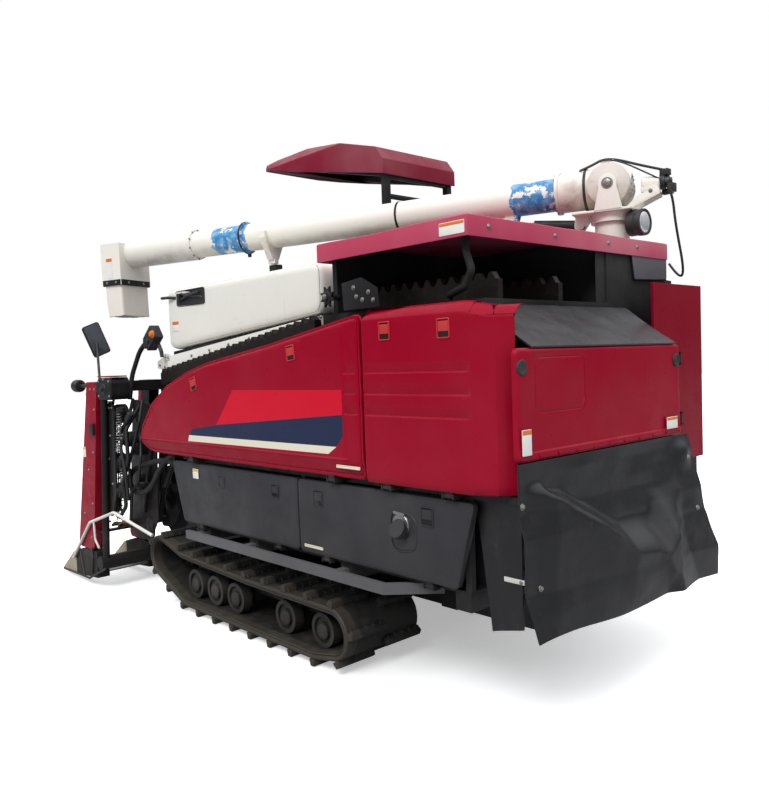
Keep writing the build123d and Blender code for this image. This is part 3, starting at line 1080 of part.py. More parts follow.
def canopy_form(inset):
    """The canopy's outer form, or the same drawn in by its sheet's thickness."""
    rear, front = CANOPY_X[0] + inset, CANOPY_X[1] - inset
    right, left = CANOPY_Y[0] + inset, CANOPY_Y[1] - inset
    top = TOP_Z - inset
    # x, drop below the top, along the upper line and back along the lower one
    upper = ((rear, 250.0), (rear + 60, 170.0), (CANOPY_CREST_X - 420, 70.0), (CANOPY_CREST_X, 0.0), (front - 150, 10.0), (front, 40.0))
    lower = ((front, 62.0 + 30 * inset), (CANOPY_CREST_X, 170.0 + 30 * inset), (rear + 190, 300.0 + 30 * inset), (rear, 340.0 + 30 * inset))
    profile = side_plate([(x, top - drop) for x, drop in upper + lower], (right, left))
    shoulder, low = CANOPY_BEVEL, TOP_Z - 3000
    section = end_plate(((right, low), (left, low), (left, top - 80), (left - shoulder, top), (right + shoulder, top), (right, top - 80)),
                        (rear, front))
    plan = plan_plate(((rear, right), (front - CANOPY_NOSE, right), (front, right + CANOPY_NOSE / 2), (front, left - CANOPY_NOSE / 2),
                       (front - CANOPY_NOSE, left), (rear, left)), (low, top))
    return profile & section & plan


def canopy_shell():
    """The red sun canopy: a shallow shell, open below, that rises towards the front."""
    return canopy_form(0.0) - canopy_form(CANOPY_SHEET)


# Header

def header_arm():
    """The lift pipe, the arm and the header's base tube."""
    parts = [
        rod((LIFT_X, LIFT_Y[0], LIFT_Z), (LIFT_X, LIFT_Y[1], LIFT_Z), LIFT_PIPE),
        rod((LIFT_X, ARM_Y, LIFT_Z), (BASE_X, ARM_Y, BASE_Z), ARM_RADIUS),
        rod((BASE_X, DIVIDER_Y[-1] - DIVIDER_HALF, BASE_Z), (BASE_X, DIVIDER_Y[0] + DIVIDER_HALF, BASE_Z), BASE_RADIUS),
    ]
    eye_x, eye_z = LIFT_RAM_EYE
    for side in (-1, 1):
        y = sorted((LIFT_RAM_Y + side * 25, LIFT_RAM_Y + side * 35))
        parts.append(side_plate(((eye_x - 22, eye_z - 22), (eye_x + 22, eye_z - 22), (eye_x + 90, eye_z - 30), (eye_x + 90, eye_z + 30),
                                 (eye_x + 22, eye_z + 22), (eye_x - 22, eye_z + 22)), y))
    parts.append(block((eye_x + 60, eye_x + 90), (LIFT_RAM_Y - 35, ARM_Y), (eye_z - 30, eye_z + 10)))
    return joined(parts)


def case_rear_x(z):
    """The rear edge of the raising cases at this height."""
    (low_x, low_z), (high_x, high_z) = CASE_OUTLINE[0], CASE_OUTLINE[3]
    return low_x + (high_x - low_x) * (z - low_z) / (high_z - low_z)


def header_frame():
    """The top beam and the two struts that carry it from the base tube."""
    top = CASE_OUTLINE[3][1]
    left, right = DIVIDER_Y[0], DIVIDER_Y[-1]
    outline = ((TOP_BEAM_REAR_X, TOP_BEAM_Z), (case_rear_x(TOP_BEAM_Z), TOP_BEAM_Z), (case_rear_x(top), top), (TOP_BEAM_REAR_X, top))
    beam = side_plate(outline, (right - CASE_HALF, left + CASE_HALF))
    struts = []
    for y in (left, ARM_Y, right):
        strut = rod((BASE_X - 10, y, BASE_Z + 10), (TOP_BEAM_REAR_X + 35, y, TOP_BEAM_Z + 10), STRUT_RADIUS)
        struts.append(strut)
    shape = joined([beam, *struts])
    tube = rod((BASE_X, right - 200, BASE_Z), (BASE_X, left + 200, BASE_Z), BASE_RADIUS)
    return shape - tube - rod((LIFT_X, ARM_Y, LIFT_Z), (BASE_X, ARM_Y, BASE_Z), ARM_RADIUS)


def dividers():
    """The five pointed dividers on the base tube."""
    shapes = []
    for y in DIVIDER_Y:
        side = side_plate(((DIVIDER_ROOT_X, 70), (2095, 14), (FRONT_X, 28), (1830, 190), (1640, 240), (DIVIDER_ROOT_X, 240)),
                          along_x(y, DIVIDER_HALF))
        plan = plan_plate(((DIVIDER_ROOT_X, y - DIVIDER_HALF), (1700, y - DIVIDER_HALF), (FRONT_X, y - DIVIDER_TIP_HALF),
                           (FRONT_X, y + DIVIDER_TIP_HALF), (1700, y + DIVIDER_HALF), (DIVIDER_ROOT_X, y + DIVIDER_HALF)), (0, 400))
        shapes.append(side & plan)
    boss = block((1770, 1800), (DIVIDER_LEFT_Y, LEFT_Y - 2 * GUIDE_ROD - REST_GAP), (150, 180))
    shapes[0] += boss
    return shapes


def raising_cases():
    """The inclined cases of the raising chains, one over each divider."""
    cases = []
    for y in DIVIDER_Y:
        case = side_plate(CASE_OUTLINE, along_x(y, CASE_HALF))
        case = fillet(case.edges().filter_by(Axis.Y).group_by(Axis.Z)[0], 40)
        cases.append(case)
    return cases


def raising_tines():
    """The tines that stand out of the raising cases into the rows."""
    shapes = []
    for y in DIVIDER_Y[:-1]:
        for share in (0.12, 0.27, 0.42, 0.57, 0.72, 0.87):
            z = CASE_OUTLINE[0][1] + (CASE_OUTLINE[3][1] - CASE_OUTLINE[0][1]) * share
            x, low = case_rear_x(z) + 150, y - CASE_HALF
            hook = ((x, low), (x + 26, low), (x + 34, low - 70), (x + 66, low - 128), (x + 56, low - 134), (x + 16, low - 78))
            shapes.append(plan_plate(hook, (z, z + 10)))
    return shapes


def star_wheels():
    """The fingered wheels that gather the stalks of each row, and the plate they turn on."""
    wheels = []
    for row in range(ROWS):
        y = DIVIDER_Y[row] - ROW_STEP / 2
        points = []
        for step in range(STAR_FINGERS * 4):
            radius = STAR_RADIUS if step % 4 in (1, 2) else STAR_RADIUS * 0.45
            angle = 2 * pi * (step + 0.8 * (step % 4 in (1, 2))) / (STAR_FINGERS * 4)
            points.append((STAR_X + radius * cos(angle), y + radius * sin(angle)))
        wheels.append(plan_plate(points, (STAR_Z + REST_GAP, STAR_Z + REST_GAP + STAR_THICK)))
    return wheels


def star_bar():
    """The plate under the star wheels, on arms from the struts."""
    low = STAR_Z - STAR_BAR_THICK
    right, left = DIVIDER_Y[-1], DIVIDER_Y[0]
    shape = block(STAR_BAR_X, (right - 10, left + 10), (low, STAR_Z))
    share = (low - BASE_Z - 10) / (TOP_BEAM_Z - BASE_Z)
    strut_x = BASE_X - 10 + (TOP_BEAM_REAR_X + 35 - BASE_X + 10) * share
    for y in (left, ARM_Y, right):
        shape += block((strut_x, STAR_BAR_X[0] + 5), along_x(y, 10), (low, STAR_Z))
    for row in range(ROWS):
        shape += block((STAR_BAR_X[1] - 5, STAR_X + 25), along_x(left - ROW_STEP * (row + 0.5), 30), (low, STAR_Z))
    return shape


def gear_case():
    """The black gear case at the header's top left, behind the raising case."""
    case = block(GEAR_CASE_X, GEAR_CASE_Y, GEAR_CASE_Z)
    case = fillet(case.edges().filter_by(Axis.Y), 40)
    return fillet(case.faces().sort_by(Axis.Y)[-1].edges(), 10)


def cutter_bars():
    """The knife bars between the dividers."""
    shapes = []
    for y in DIVIDER_Y[:-1]:
        low, high = y - ROW_STEP + DIVIDER_HALF, y - DIVIDER_HALF
        teeth = 6
        step = (high - low) / teeth
        points = [(1440, low), (1500, low)]
        for tooth in range(teeth):
            points += [(1545, low + step * (tooth + 0.5)), (1500, low + step * (tooth + 1))]
        points.append((1440, high))
        shapes.append(plan_plate(points, (95, 103)))
    return shapes


def guide_rod():
    """The pale rod that holds the standing crop off the left track."""
    y = LEFT_Y - GUIDE_ROD
    points = ((1800, y, 150), (1483, y, 433), (1100, y, 545), (775, 830, 430))
    brace = bent_rod(((1420, y, 446), (1405, y + 2, 330), (1340, y + 6, 285)), 30, GUIDE_ROD * 0.7)
    return bent_rod(points, 60, GUIDE_ROD) + brace


def header_conveyor():
    """The conveyor that carries the cut stalks up to the feed chain."""
    arm_y = ARM_Y + STRUT_RADIUS + REST_GAP
    return side_plate(((1330, 300), (1400, 360), (1075, 1130), (1040, 1090)), (300, 420)) + rod(
        (1347, arm_y, 430), (1347, 310, 430), 25)


def mirror():
    """The mirror and the work lamp on their stalks at the header's top left."""
    y = DIVIDER_Y[0]
    top = CASE_OUTLINE[3][1]
    glass_y = y - MIRROR_IN
    stalk = [rod((1320, y, top), (1425, glass_y + 10, 1535), 8), rod((1425, glass_y + 10, 1535), (1455, glass_y, 1610), 8)]
    face = Plane(origin=(1452, glass_y, 1632), x_dir=(0, 1, 0), z_dir=(1, 0, 0)) * Rot(0, 0, MIRROR_TURN)
    plate = extrude(face * RectangleRounded(MIRROR_SIZE[0], MIRROR_SIZE[1], 18), amount=16)
    return joined([*stalk, plate]) - block((1200, 1460), along_x(y, 80), (1200, top))


def header_lamp():
    """The round lamp on a short arm from the header's top left."""
    y = DIVIDER_Y[0]
    arm = rod((1430, y, 1331), (1640, y, 1331), 10) - side_plate(CASE_OUTLINE, along_x(y, CASE_HALF))
    lamp = rod((1640, y, 1331), (1700, y, 1331), 42)
    lamp = fillet(lamp.edges().filter_by(GeomType.CIRCLE).sort_by(Axis.X)[0], 14)
    return arm + lamp - rod((1694, y, 1331), (1701, y, 1331), 36)


# Build and write

def build():
    """All nodes by name."""
    left, right = TRACK_CENTRE_Y + TRACK_GAUGE / 2, TRACK_CENTRE_Y - TRACK_GAUGE / 2
    nodes = {
        "chassis_frame": chassis_frame(),
        "deck": [joined([deck_plate(), side_frame(), operator_floor(), *lower_hinges()])],
        "drive_axle": drive_axle(),
        "guard_bar": guard_bar(),
        "fuel_tank": fuel_tank(),
        "engine_block": engine_block(),
        "thresher_body": joined([thresher_body(), *lid_hinges(), rest_post(), cutter_bracket()]),
        "threshing_drum": threshing_drum(),
        "stalk_chains": [feed_chain(), *straw_chain()],
        "feed_chain_rail": feed_chain_rail(),
        "rear_hood": rear_hood(),
        "hood_frame": [hood_frame(), guard_pipe(), tail_plate()],
        "side_flap": side_flap(),
        "vertical_auger": vertical_auger(),
        "rear_panel": rear_panel(),
        "engine_cover": engine_cover(),
        "consoles": [front_panel(), side_console()],
        "canopy_frame": canopy_frame(),
        "canopy_shell": canopy_shell(),
        "threshing_lid": threshing_lid(),
        "side_cover_front": side_cover_front(),
        "side_cover_rear": side_cover_rear(),
        "lower_cover_front": lower_cover_front(),
        "lower_cover_rear": lower_cover_rear(),
        "engine_door": engine_door(),
        "cutter_panel": cutter_panel(),
        "cutter_box": cutter_box(),
        "cutter_top_sheet": cutter_top_sheet(),
        "rubber_flap_rear": rubber_flap_rear(),
        "grain_tank": grain_tank(),
        "turret": turret(),
        "head_lamp": head_lamp(),
        "header_hose": free_hose(*HEADER_HOSE),
        "loop_hose": free_hose(*LOOP_HOSE),
        "boom_tube": boom_tube() + boom_fork(),
        "spout": spout(),
        "spout_chute": spout_chute(),
        "header_frame": header_arm() + header_frame() + star_bar() + gear_case(),
        "star_wheels": star_wheels(),
        "dividers": dividers(),
        "raising_cases": raising_cases(),
        "raising_tines": raising_tines(),
        "cutter_bars": cutter_bars(),
        "guide_rod": guide_rod(),
        "header_conveyor": header_conveyor(),
        "mirror_and_lamp": [mirror(), header_lamp()],
    }
    for side, y in (("left", left), ("right", right)):
        nodes["track_" + side] = track(y)
    nodes["track_frames"] = [track_frame(left), track_frame(right)]
    nodes["track_wheels"] = [shape(y) for y in (left, right) for shape in (sprocket, idler)]
    nodes["track_wheels"] += [roller(x, y) for y in (left, right) for x in ROLLER_X]
    base, cushion, back = seat()
    nodes["seat_base"], nodes["seat_pads"] = base + seat_frame(), [cushion, back]
    barrel, piston = ram(LIFT_RAM_FOOT, LIFT_RAM_EYE, 300.0, 140.0, 20.0)
    nodes["lift_ram_barrel"], nodes["lift_ram_rod"] = Pos(0, LIFT_RAM_Y, 0) * barrel, Pos(0, LIFT_RAM_Y, 0) * piston
    barrel, piston = ram(RAM_FOOT, RAM_EYE, 240.0, 179.0, 16.0)
    nodes["boom_ram_barrel"], nodes["boom_ram_rod"] = on_boom(barrel), on_boom(piston)
    return nodes


os.makedirs("parts", exist_ok=True)
for node, shape in build().items():
    export_step(Compound(shape) if isinstance(shape, list) else shape, f"parts/{node}.step")
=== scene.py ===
"""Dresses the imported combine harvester: finishes, pressed covers, rubber, hoses and small fittings.

Metres, in the part's own frame: +X forwards, +Y to the machine's left, +Z up, floor at 0.
"""

import json
from math import atan2, cos, hypot, pi, radians, sin

import bmesh
import bpy
import numpy as np
from mathutils import Matrix, Vector, noise
from mathutils.geometry import delaunay_2d_cdt
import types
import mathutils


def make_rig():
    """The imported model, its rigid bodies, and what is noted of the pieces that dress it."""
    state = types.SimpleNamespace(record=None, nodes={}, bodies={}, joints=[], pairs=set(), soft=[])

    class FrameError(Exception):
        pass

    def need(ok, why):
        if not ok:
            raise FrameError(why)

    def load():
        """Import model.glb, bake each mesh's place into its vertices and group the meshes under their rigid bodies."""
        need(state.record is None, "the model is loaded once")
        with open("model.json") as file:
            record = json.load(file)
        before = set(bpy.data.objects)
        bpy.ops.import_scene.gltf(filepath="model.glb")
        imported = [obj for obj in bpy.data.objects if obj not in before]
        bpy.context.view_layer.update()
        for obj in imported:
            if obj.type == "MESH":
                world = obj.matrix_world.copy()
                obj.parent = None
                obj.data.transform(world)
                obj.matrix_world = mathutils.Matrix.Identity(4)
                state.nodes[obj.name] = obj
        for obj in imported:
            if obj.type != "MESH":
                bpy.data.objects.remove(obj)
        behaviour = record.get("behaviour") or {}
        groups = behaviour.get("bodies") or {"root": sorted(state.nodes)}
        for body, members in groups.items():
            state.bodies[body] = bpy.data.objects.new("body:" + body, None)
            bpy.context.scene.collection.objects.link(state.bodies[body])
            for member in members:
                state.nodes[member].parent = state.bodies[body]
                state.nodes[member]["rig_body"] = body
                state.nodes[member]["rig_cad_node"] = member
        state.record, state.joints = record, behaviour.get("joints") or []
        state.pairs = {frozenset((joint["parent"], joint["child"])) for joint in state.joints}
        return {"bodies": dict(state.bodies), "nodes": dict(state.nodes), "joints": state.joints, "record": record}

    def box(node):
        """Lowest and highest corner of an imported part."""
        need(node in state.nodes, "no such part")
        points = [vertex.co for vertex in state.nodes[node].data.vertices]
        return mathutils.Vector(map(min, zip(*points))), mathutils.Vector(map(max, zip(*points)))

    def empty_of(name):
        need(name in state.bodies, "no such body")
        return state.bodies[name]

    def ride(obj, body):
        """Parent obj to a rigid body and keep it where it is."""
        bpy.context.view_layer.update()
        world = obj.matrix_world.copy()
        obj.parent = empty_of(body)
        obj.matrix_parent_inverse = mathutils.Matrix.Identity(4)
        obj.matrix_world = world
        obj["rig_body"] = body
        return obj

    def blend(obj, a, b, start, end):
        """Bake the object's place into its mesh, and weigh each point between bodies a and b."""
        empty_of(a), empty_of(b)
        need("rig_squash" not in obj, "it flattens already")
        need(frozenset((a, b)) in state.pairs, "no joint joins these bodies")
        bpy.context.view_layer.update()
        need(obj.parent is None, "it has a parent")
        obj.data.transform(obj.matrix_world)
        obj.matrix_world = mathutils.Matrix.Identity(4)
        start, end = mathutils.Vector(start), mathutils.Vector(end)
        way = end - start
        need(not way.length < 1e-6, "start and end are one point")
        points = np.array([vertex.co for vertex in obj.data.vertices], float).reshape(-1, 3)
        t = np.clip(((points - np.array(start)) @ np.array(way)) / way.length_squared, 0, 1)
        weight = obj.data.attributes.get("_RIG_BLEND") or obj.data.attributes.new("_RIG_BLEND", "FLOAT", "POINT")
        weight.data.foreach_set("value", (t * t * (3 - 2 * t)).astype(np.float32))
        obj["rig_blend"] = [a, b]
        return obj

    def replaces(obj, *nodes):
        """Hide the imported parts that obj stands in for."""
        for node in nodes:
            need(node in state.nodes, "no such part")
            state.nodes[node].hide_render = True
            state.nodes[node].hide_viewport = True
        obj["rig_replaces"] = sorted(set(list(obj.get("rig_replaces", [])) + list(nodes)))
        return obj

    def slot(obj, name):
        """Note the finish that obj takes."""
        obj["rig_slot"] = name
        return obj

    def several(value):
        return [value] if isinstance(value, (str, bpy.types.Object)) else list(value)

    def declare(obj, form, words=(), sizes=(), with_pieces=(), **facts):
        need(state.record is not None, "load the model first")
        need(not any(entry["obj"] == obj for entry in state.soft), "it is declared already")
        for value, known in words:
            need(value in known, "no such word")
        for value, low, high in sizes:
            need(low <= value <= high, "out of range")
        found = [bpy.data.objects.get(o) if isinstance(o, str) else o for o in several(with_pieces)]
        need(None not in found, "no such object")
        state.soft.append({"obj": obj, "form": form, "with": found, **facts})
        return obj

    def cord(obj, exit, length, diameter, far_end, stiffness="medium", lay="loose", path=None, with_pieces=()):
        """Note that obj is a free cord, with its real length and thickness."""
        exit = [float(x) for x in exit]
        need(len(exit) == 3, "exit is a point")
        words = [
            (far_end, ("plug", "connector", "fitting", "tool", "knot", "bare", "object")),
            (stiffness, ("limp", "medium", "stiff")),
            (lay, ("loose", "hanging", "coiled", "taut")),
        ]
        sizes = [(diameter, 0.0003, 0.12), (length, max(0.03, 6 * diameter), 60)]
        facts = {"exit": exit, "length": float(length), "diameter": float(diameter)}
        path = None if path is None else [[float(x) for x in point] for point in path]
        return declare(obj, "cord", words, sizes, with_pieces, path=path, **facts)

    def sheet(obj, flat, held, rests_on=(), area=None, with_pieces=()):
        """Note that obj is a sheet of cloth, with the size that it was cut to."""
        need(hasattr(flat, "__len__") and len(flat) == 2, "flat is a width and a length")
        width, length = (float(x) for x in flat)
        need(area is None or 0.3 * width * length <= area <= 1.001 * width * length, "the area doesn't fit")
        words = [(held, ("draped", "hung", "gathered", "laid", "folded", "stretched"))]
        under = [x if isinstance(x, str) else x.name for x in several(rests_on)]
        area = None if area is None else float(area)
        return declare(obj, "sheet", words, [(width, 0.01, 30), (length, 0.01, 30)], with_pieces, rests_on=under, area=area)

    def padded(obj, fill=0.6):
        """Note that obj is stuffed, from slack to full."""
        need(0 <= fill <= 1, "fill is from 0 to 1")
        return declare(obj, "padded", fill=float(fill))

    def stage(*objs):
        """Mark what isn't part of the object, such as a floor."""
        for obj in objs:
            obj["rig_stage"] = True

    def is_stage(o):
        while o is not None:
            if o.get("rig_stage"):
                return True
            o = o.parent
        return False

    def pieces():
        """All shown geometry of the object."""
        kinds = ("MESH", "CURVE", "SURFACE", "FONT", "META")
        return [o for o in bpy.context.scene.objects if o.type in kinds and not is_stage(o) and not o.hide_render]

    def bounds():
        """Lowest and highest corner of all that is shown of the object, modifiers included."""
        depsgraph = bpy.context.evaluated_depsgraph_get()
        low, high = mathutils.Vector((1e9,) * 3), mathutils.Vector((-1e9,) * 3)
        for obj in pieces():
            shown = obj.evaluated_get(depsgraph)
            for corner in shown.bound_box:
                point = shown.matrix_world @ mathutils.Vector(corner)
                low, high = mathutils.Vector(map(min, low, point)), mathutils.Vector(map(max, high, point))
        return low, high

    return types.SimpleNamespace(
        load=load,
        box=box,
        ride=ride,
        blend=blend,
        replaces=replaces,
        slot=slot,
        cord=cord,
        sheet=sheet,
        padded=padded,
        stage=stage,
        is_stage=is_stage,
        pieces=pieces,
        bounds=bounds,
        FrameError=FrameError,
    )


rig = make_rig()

bl_info = {
    "name": "Combine harvester dressing",
    "version": (1, 0, 0),
    "blender": (4, 5, 0),
    "location": "View3D > Sidebar > Harvester",
    "description": "Builds the visible pieces of a tracked head-feeding combine round its packed model",
    "category": "Add Mesh",
}

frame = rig.load()
NODES = frame["nodes"]
MM = 0.001
LEFT = (0, 1, 0)


def linear(red, green, blue):
    """A display colour, 0 to 255, as the linear colour that shaders take."""
    shares = [channel / 255 for channel in (red, green, blue)]
    return tuple(s / 12.92 if s <= 0.04045 else ((s + 0.055) / 1.055) ** 2.4 for s in shares)


def colour_property(label, note, rgb):
    """A colour that a user may change."""
    return bpy.props.FloatVectorProperty(
        name=label, description=note, subtype="COLOR", size=3, min=0.0, max=1.0, default=linear(*rgb)
    )


def length_property(label, note, value):
    """A length that a user may change, in metres."""
    return bpy.props.FloatProperty(name=label, description=note, subtype="DISTANCE", unit="LENGTH", default=value)


class HarvesterColours(bpy.types.PropertyGroup):
    """Colours of the machine's finishes."""

    red: colour_property("Red paint", "Covers, tank and straw cutter", (150, 0, 34))
    faded_red: colour_property("Faded red paint", "Canopy, dulled by the sun", (128, 20, 46))
    hood_red: colour_property("Pale red paint", "Hood, bleached by the sun", (180, 62, 90))
    bright_red: colour_property("Bright red film", "Upper band on the front cover", (206, 18, 44))
    navy: colour_property("Navy film", "Middle band on the front cover", (38, 46, 74))
    cream: colour_property("Cream film", "Lines on the front cover", (226, 220, 200))
    white: colour_property("White paint", "Threshing lid", (232, 229, 220))
    ivory: colour_property("Ivory paint", "Unloading tube", (236, 232, 222))
    stain: colour_property("Oil stain", "Streaks on the unloading tube", (120, 84, 58))
    charcoal: colour_property("Charcoal paint", "Lower covers", (45, 45, 49))
    black: colour_property("Black paint", "Frames and walls", (18, 18, 20))
    rubber: colour_property("Rubber", "Belts", (19, 18, 18))
    flap: colour_property("Rubber sheet", "Flaps at the rear", (23, 23, 26))
    dust: colour_property("Dust", "What lies on low and level places", (120, 108, 88))
    tape: colour_property("Tape", "Torn film round the unloading tube", (40, 128, 186))
    label: colour_property("Blank plate", "Plates without lettering", (232, 230, 222))
    orange: colour_property("Orange film", "Heads of the blank plates", (222, 112, 22))
    yellow: colour_property("Yellow film", "Edges of the blank plates", (226, 190, 60))
    brown: colour_property("Brown rubber", "Star wheels", (92, 66, 44))
    latch: colour_property("Red plastic", "Latches of the red covers", (186, 44, 40))
    steel: colour_property("Steel", "Bolts and blades", (150, 148, 144))


class HarvesterSizes(bpy.types.PropertyGroup):
    """Sizes of the fittings that are made here."""

    latch_width: length_property("Latch width", "Width of a cover's latch", 0.062)
    latch_height: length_property("Latch height", "Height of a cover's latch", 0.072)
    rib_depth: length_property("Rib", "How far a cover's ribs stand out", 0.006)
    sheet: length_property("Rubber sheet", "Thickness of the rubber flaps", 0.008)


def colours():
    """The scene's colours."""
    return bpy.context.scene.harvester_colours


def sizes():
    """The scene's sizes."""
    return bpy.context.scene.harvester_sizes


# Shaders

class Value:
    """A shader's socket; sums written on it add Math nodes."""

    def __init__(self, shader, socket):
        self.shader = shader
        self.socket = socket

    def math(self, operation, *others):
        """This value and others through one Math node."""
        return self.shader.add("ShaderNodeMath", {"operation": operation}, dict(enumerate((self, *others))))

    def reflected(self, operation, other):
        """The same with this value second."""
        return self.shader.add("ShaderNodeMath", {"operation": operation}, {0: other, 1: self})

    def __add__(self, other):
        return self.math("ADD", other)

    def __sub__(self, other):
        return self.math("SUBTRACT", other)

    def __mul__(self, other):
        return self.math("MULTIPLY", other)

    def __radd__(self, other):
        return self.reflected("ADD", other)

    def __rsub__(self, other):
        return self.reflected("SUBTRACT", other)

    def __rmul__(self, other):
        return self.reflected("MULTIPLY", other)

    def least(self, other):
        """The smaller of the two."""
        return self.math("MINIMUM", other)

    def absolute(self):
        """Without its sign."""
        return self.math("ABSOLUTE")

    def ramp(self, low, high):
        """0 below low, 1 above high, smooth between."""
        return self.shader.add(
            "ShaderNodeMapRange",
            {"interpolation_type": "SMOOTHSTEP"},
            {"Value": self, "From Min": low, "From Max": high},
        )


class Nodes:
    """A node tree with one method that adds any node."""

    def __init__(self, tree):
        self.tree = tree

    def add(self, kind, settings=None, inputs=None, output=0):
        """One node with its settings, then the values or links of its sockets."""
        node = self.tree.nodes.new(kind)
        for key, setting in (settings or {}).items():
            setattr(node, key, setting)
        for key, given in (inputs or {}).items():
            self.feed(node.inputs[key], given)
        return self.taken(node.outputs[output])

    def taken(self, socket):
        """What add gives back for a socket."""
        return socket

    def feed(self, socket, given):
        """A number, colour or link into a socket."""
        given = getattr(given, "socket", given)
        if isinstance(given, bpy.types.NodeSocket):
            self.tree.links.new(given, socket)
        elif socket.type == "RGBA" and len(given) == 3:
            socket.default_value = (*given, 1)
        else:
            socket.default_value = given


class Shader(Nodes):
    """A material with its surface shader."""

    def __init__(self, name):
        self.material = bpy.data.materials.new(name)
        self.material.use_nodes = True
        super().__init__(self.material.node_tree)
        self.tree.nodes.clear()
        self.surface = self.tree.nodes.new("ShaderNodeBsdfPrincipled")
        self.output = self.tree.nodes.new("ShaderNodeOutputMaterial")
        self.tree.links.new(self.surface.outputs["BSDF"], self.output.inputs["Surface"])
        self.place = self.add("ShaderNodeTexCoord", output="Object")
        self.x, self.y, self.z = (self.add("ShaderNodeSeparateXYZ", inputs={0: self.place}, output=i) for i in range(3))

    def taken(self, socket):
        """Sockets with sums."""
        return Value(self, socket)

    def set(self, **inputs):
        """Sockets of the surface shader, with words joined by underscores."""
        for key, given in inputs.items():
            self.feed(self.surface.inputs[key.replace("_", " ")], given)
        return self

    def noise(self, scale, detail=4.0, rough=0.55, stretch=None):
        """Soft noise, 0 to 1, at this many cells a metre."""
        place = self.place
        if stretch:
            place = self.add("ShaderNodeMapping", inputs={"Vector": place, "Scale": stretch})
        return self.add(
            "ShaderNodeTexNoise", inputs={"Vector": place, "Scale": scale, "Detail": detail, "Roughness": rough}
        )

    def mix(self, share, first, second):
        """One colour over another."""
        return self.add("ShaderNodeMix", {"data_type": "RGBA"}, {0: share, 6: first, 7: second}, output=2)

    def bump(self, height, strength, distance):
        """A normal from a height, with the form's own edges eased."""
        eased = self.add("ShaderNodeBevel", {"samples": 4}, {"Radius": 0.003})
        inputs = {"Height": height, "Strength": strength, "Distance": distance, "Normal": eased}
        return self.add("ShaderNodeBump", inputs=inputs)


def lighter(colour, share):
    """A colour moved towards white."""
    return tuple(channel + (1 - channel) * share for channel in colour)


def darker(colour, share):
    """A colour moved towards black."""
    return tuple(channel * (1 - share) for channel in colour)


def weathered(shader, colour, dust, top, fade=0.12):
    """A paint's colour with fading, streaks, chips and dust that thins out with height."""
    faded = shader.mix(shader.noise(1.3, 3).ramp(0.4, 0.75) * fade, colour, lighter(colour, 0.3))
    streaks = shader.noise(22.0, 5, 0.6, stretch=(1.0, 1.0, 0.12)).ramp(0.55, 0.8)
    streaked = shader.mix(streaks * (0.35 * dust), faded, colours().dust)
    patches = shader.noise(5.0, 6, 0.65).ramp(0.42, 0.72)
    low = 1.0 - shader.z.ramp(0.1, top)
    dusty = shader.mix((patches * 0.7 + 0.3) * low * dust, streaked, colours().dust)
    chips = shader.noise(55.0, 5, 0.7).ramp(0.7, 0.74)
    scratches = shader.noise(30.0, 3, 0.5, stretch=(0.25, 1.0, 1.6)).ramp(0.69, 0.71)
    return shader.mix((chips + scratches * 0.4) * 0.3, dusty, darker(colour, 0.6))


def glossy(shader, base, rough=0.26, coat=0.07):
    """Gloss paint of this colour on sheet metal, with shallow dents and orange peel."""
    uneven_gloss = shader.noise(9.0, 5, 0.6)
    height = shader.noise(3.0, 2, 0.4) * 0.25 + shader.noise(420.0, 2) * 0.004
    shader.set(
        Base_Color=base,
        Roughness=rough + uneven_gloss.ramp(0.3, 0.8) * 0.22,
        Coat_Weight=coat * (1.0 - uneven_gloss.ramp(0.45, 0.8) * 0.6),
        Coat_Roughness=0.12,
        Specular_IOR_Level=0.08,
        Normal=shader.bump(height, 0.35, 0.02),
    )
    return shader.material


def gloss_paint(name, colour, rough=0.26, coat=0.07, dust=0.02, top=1.3, fade=0.03):
    """Gloss paint of one colour."""
    shader = Shader(name)
    return glossy(shader, weathered(shader, colour, dust, top, fade), rough, coat)


# Corners of the films on the front cover, along and up, in metres
FILMS = (
    ("bright_red", ((-0.145, 1.306), (-1.015, 1.309), (-1.015, 1.202), (0.028, 1.121))),
    ("navy", ((0.285, 1.089), (0.028, 1.121), (-1.015, 1.202), (-1.015, 1.110), (-0.966, 1.061), (0.322, 1.054))),
    ("cream", ((0.322, 1.054), (-0.966, 1.061), (-0.908, 1.027), (0.336, 1.020))),
)


def within(shader, corners):
    """1 inside a convex outline of x and z, 0 outside, with a thin soft edge."""
    middle = Vector((sum(x for x, _ in corners), sum(z for _, z in corners))) / len(corners)
    share = None
    for (ax, az), (bx, bz) in zip(corners, corners[1:] + corners[:1]):
        across = Vector((bz - az, ax - bx)).normalized()
        if across.dot(middle - Vector((ax, az))) < 0:
            across = -across
        side_of = shader.x * across.x + shader.z * across.y - (across.x * ax + across.y * az)
        edge = side_of.ramp(-0.0008, 0.0008)
        share = edge if share is None else share * edge
    return share


def banded_paint(name):
    """The red paint with the bands of film on it, without their lettering."""
    shader = Shader(name)
    base = weathered(shader, colours().red, 0.02, 1.3, 0.03)
    for film, corners in FILMS:
        base = shader.mix(within(shader, corners), base, getattr(colours(), film))
    return glossy(shader, base)


def satin_paint(name, colour, rough, dust, top):
    """Satin paint on frames and castings, dusty low down."""
    shader = Shader(name)
    base = weathered(shader, colour, dust, top, 0.1)
    shader.set(
        Base_Color=base,
        Roughness=rough + shader.noise(14.0, 5).ramp(0.3, 0.8) * 0.25,
        Specular_IOR_Level=0.3,
        Normal=shader.bump(shader.noise(90.0, 4), 0.25, 0.0015),
    )
    return shader.material


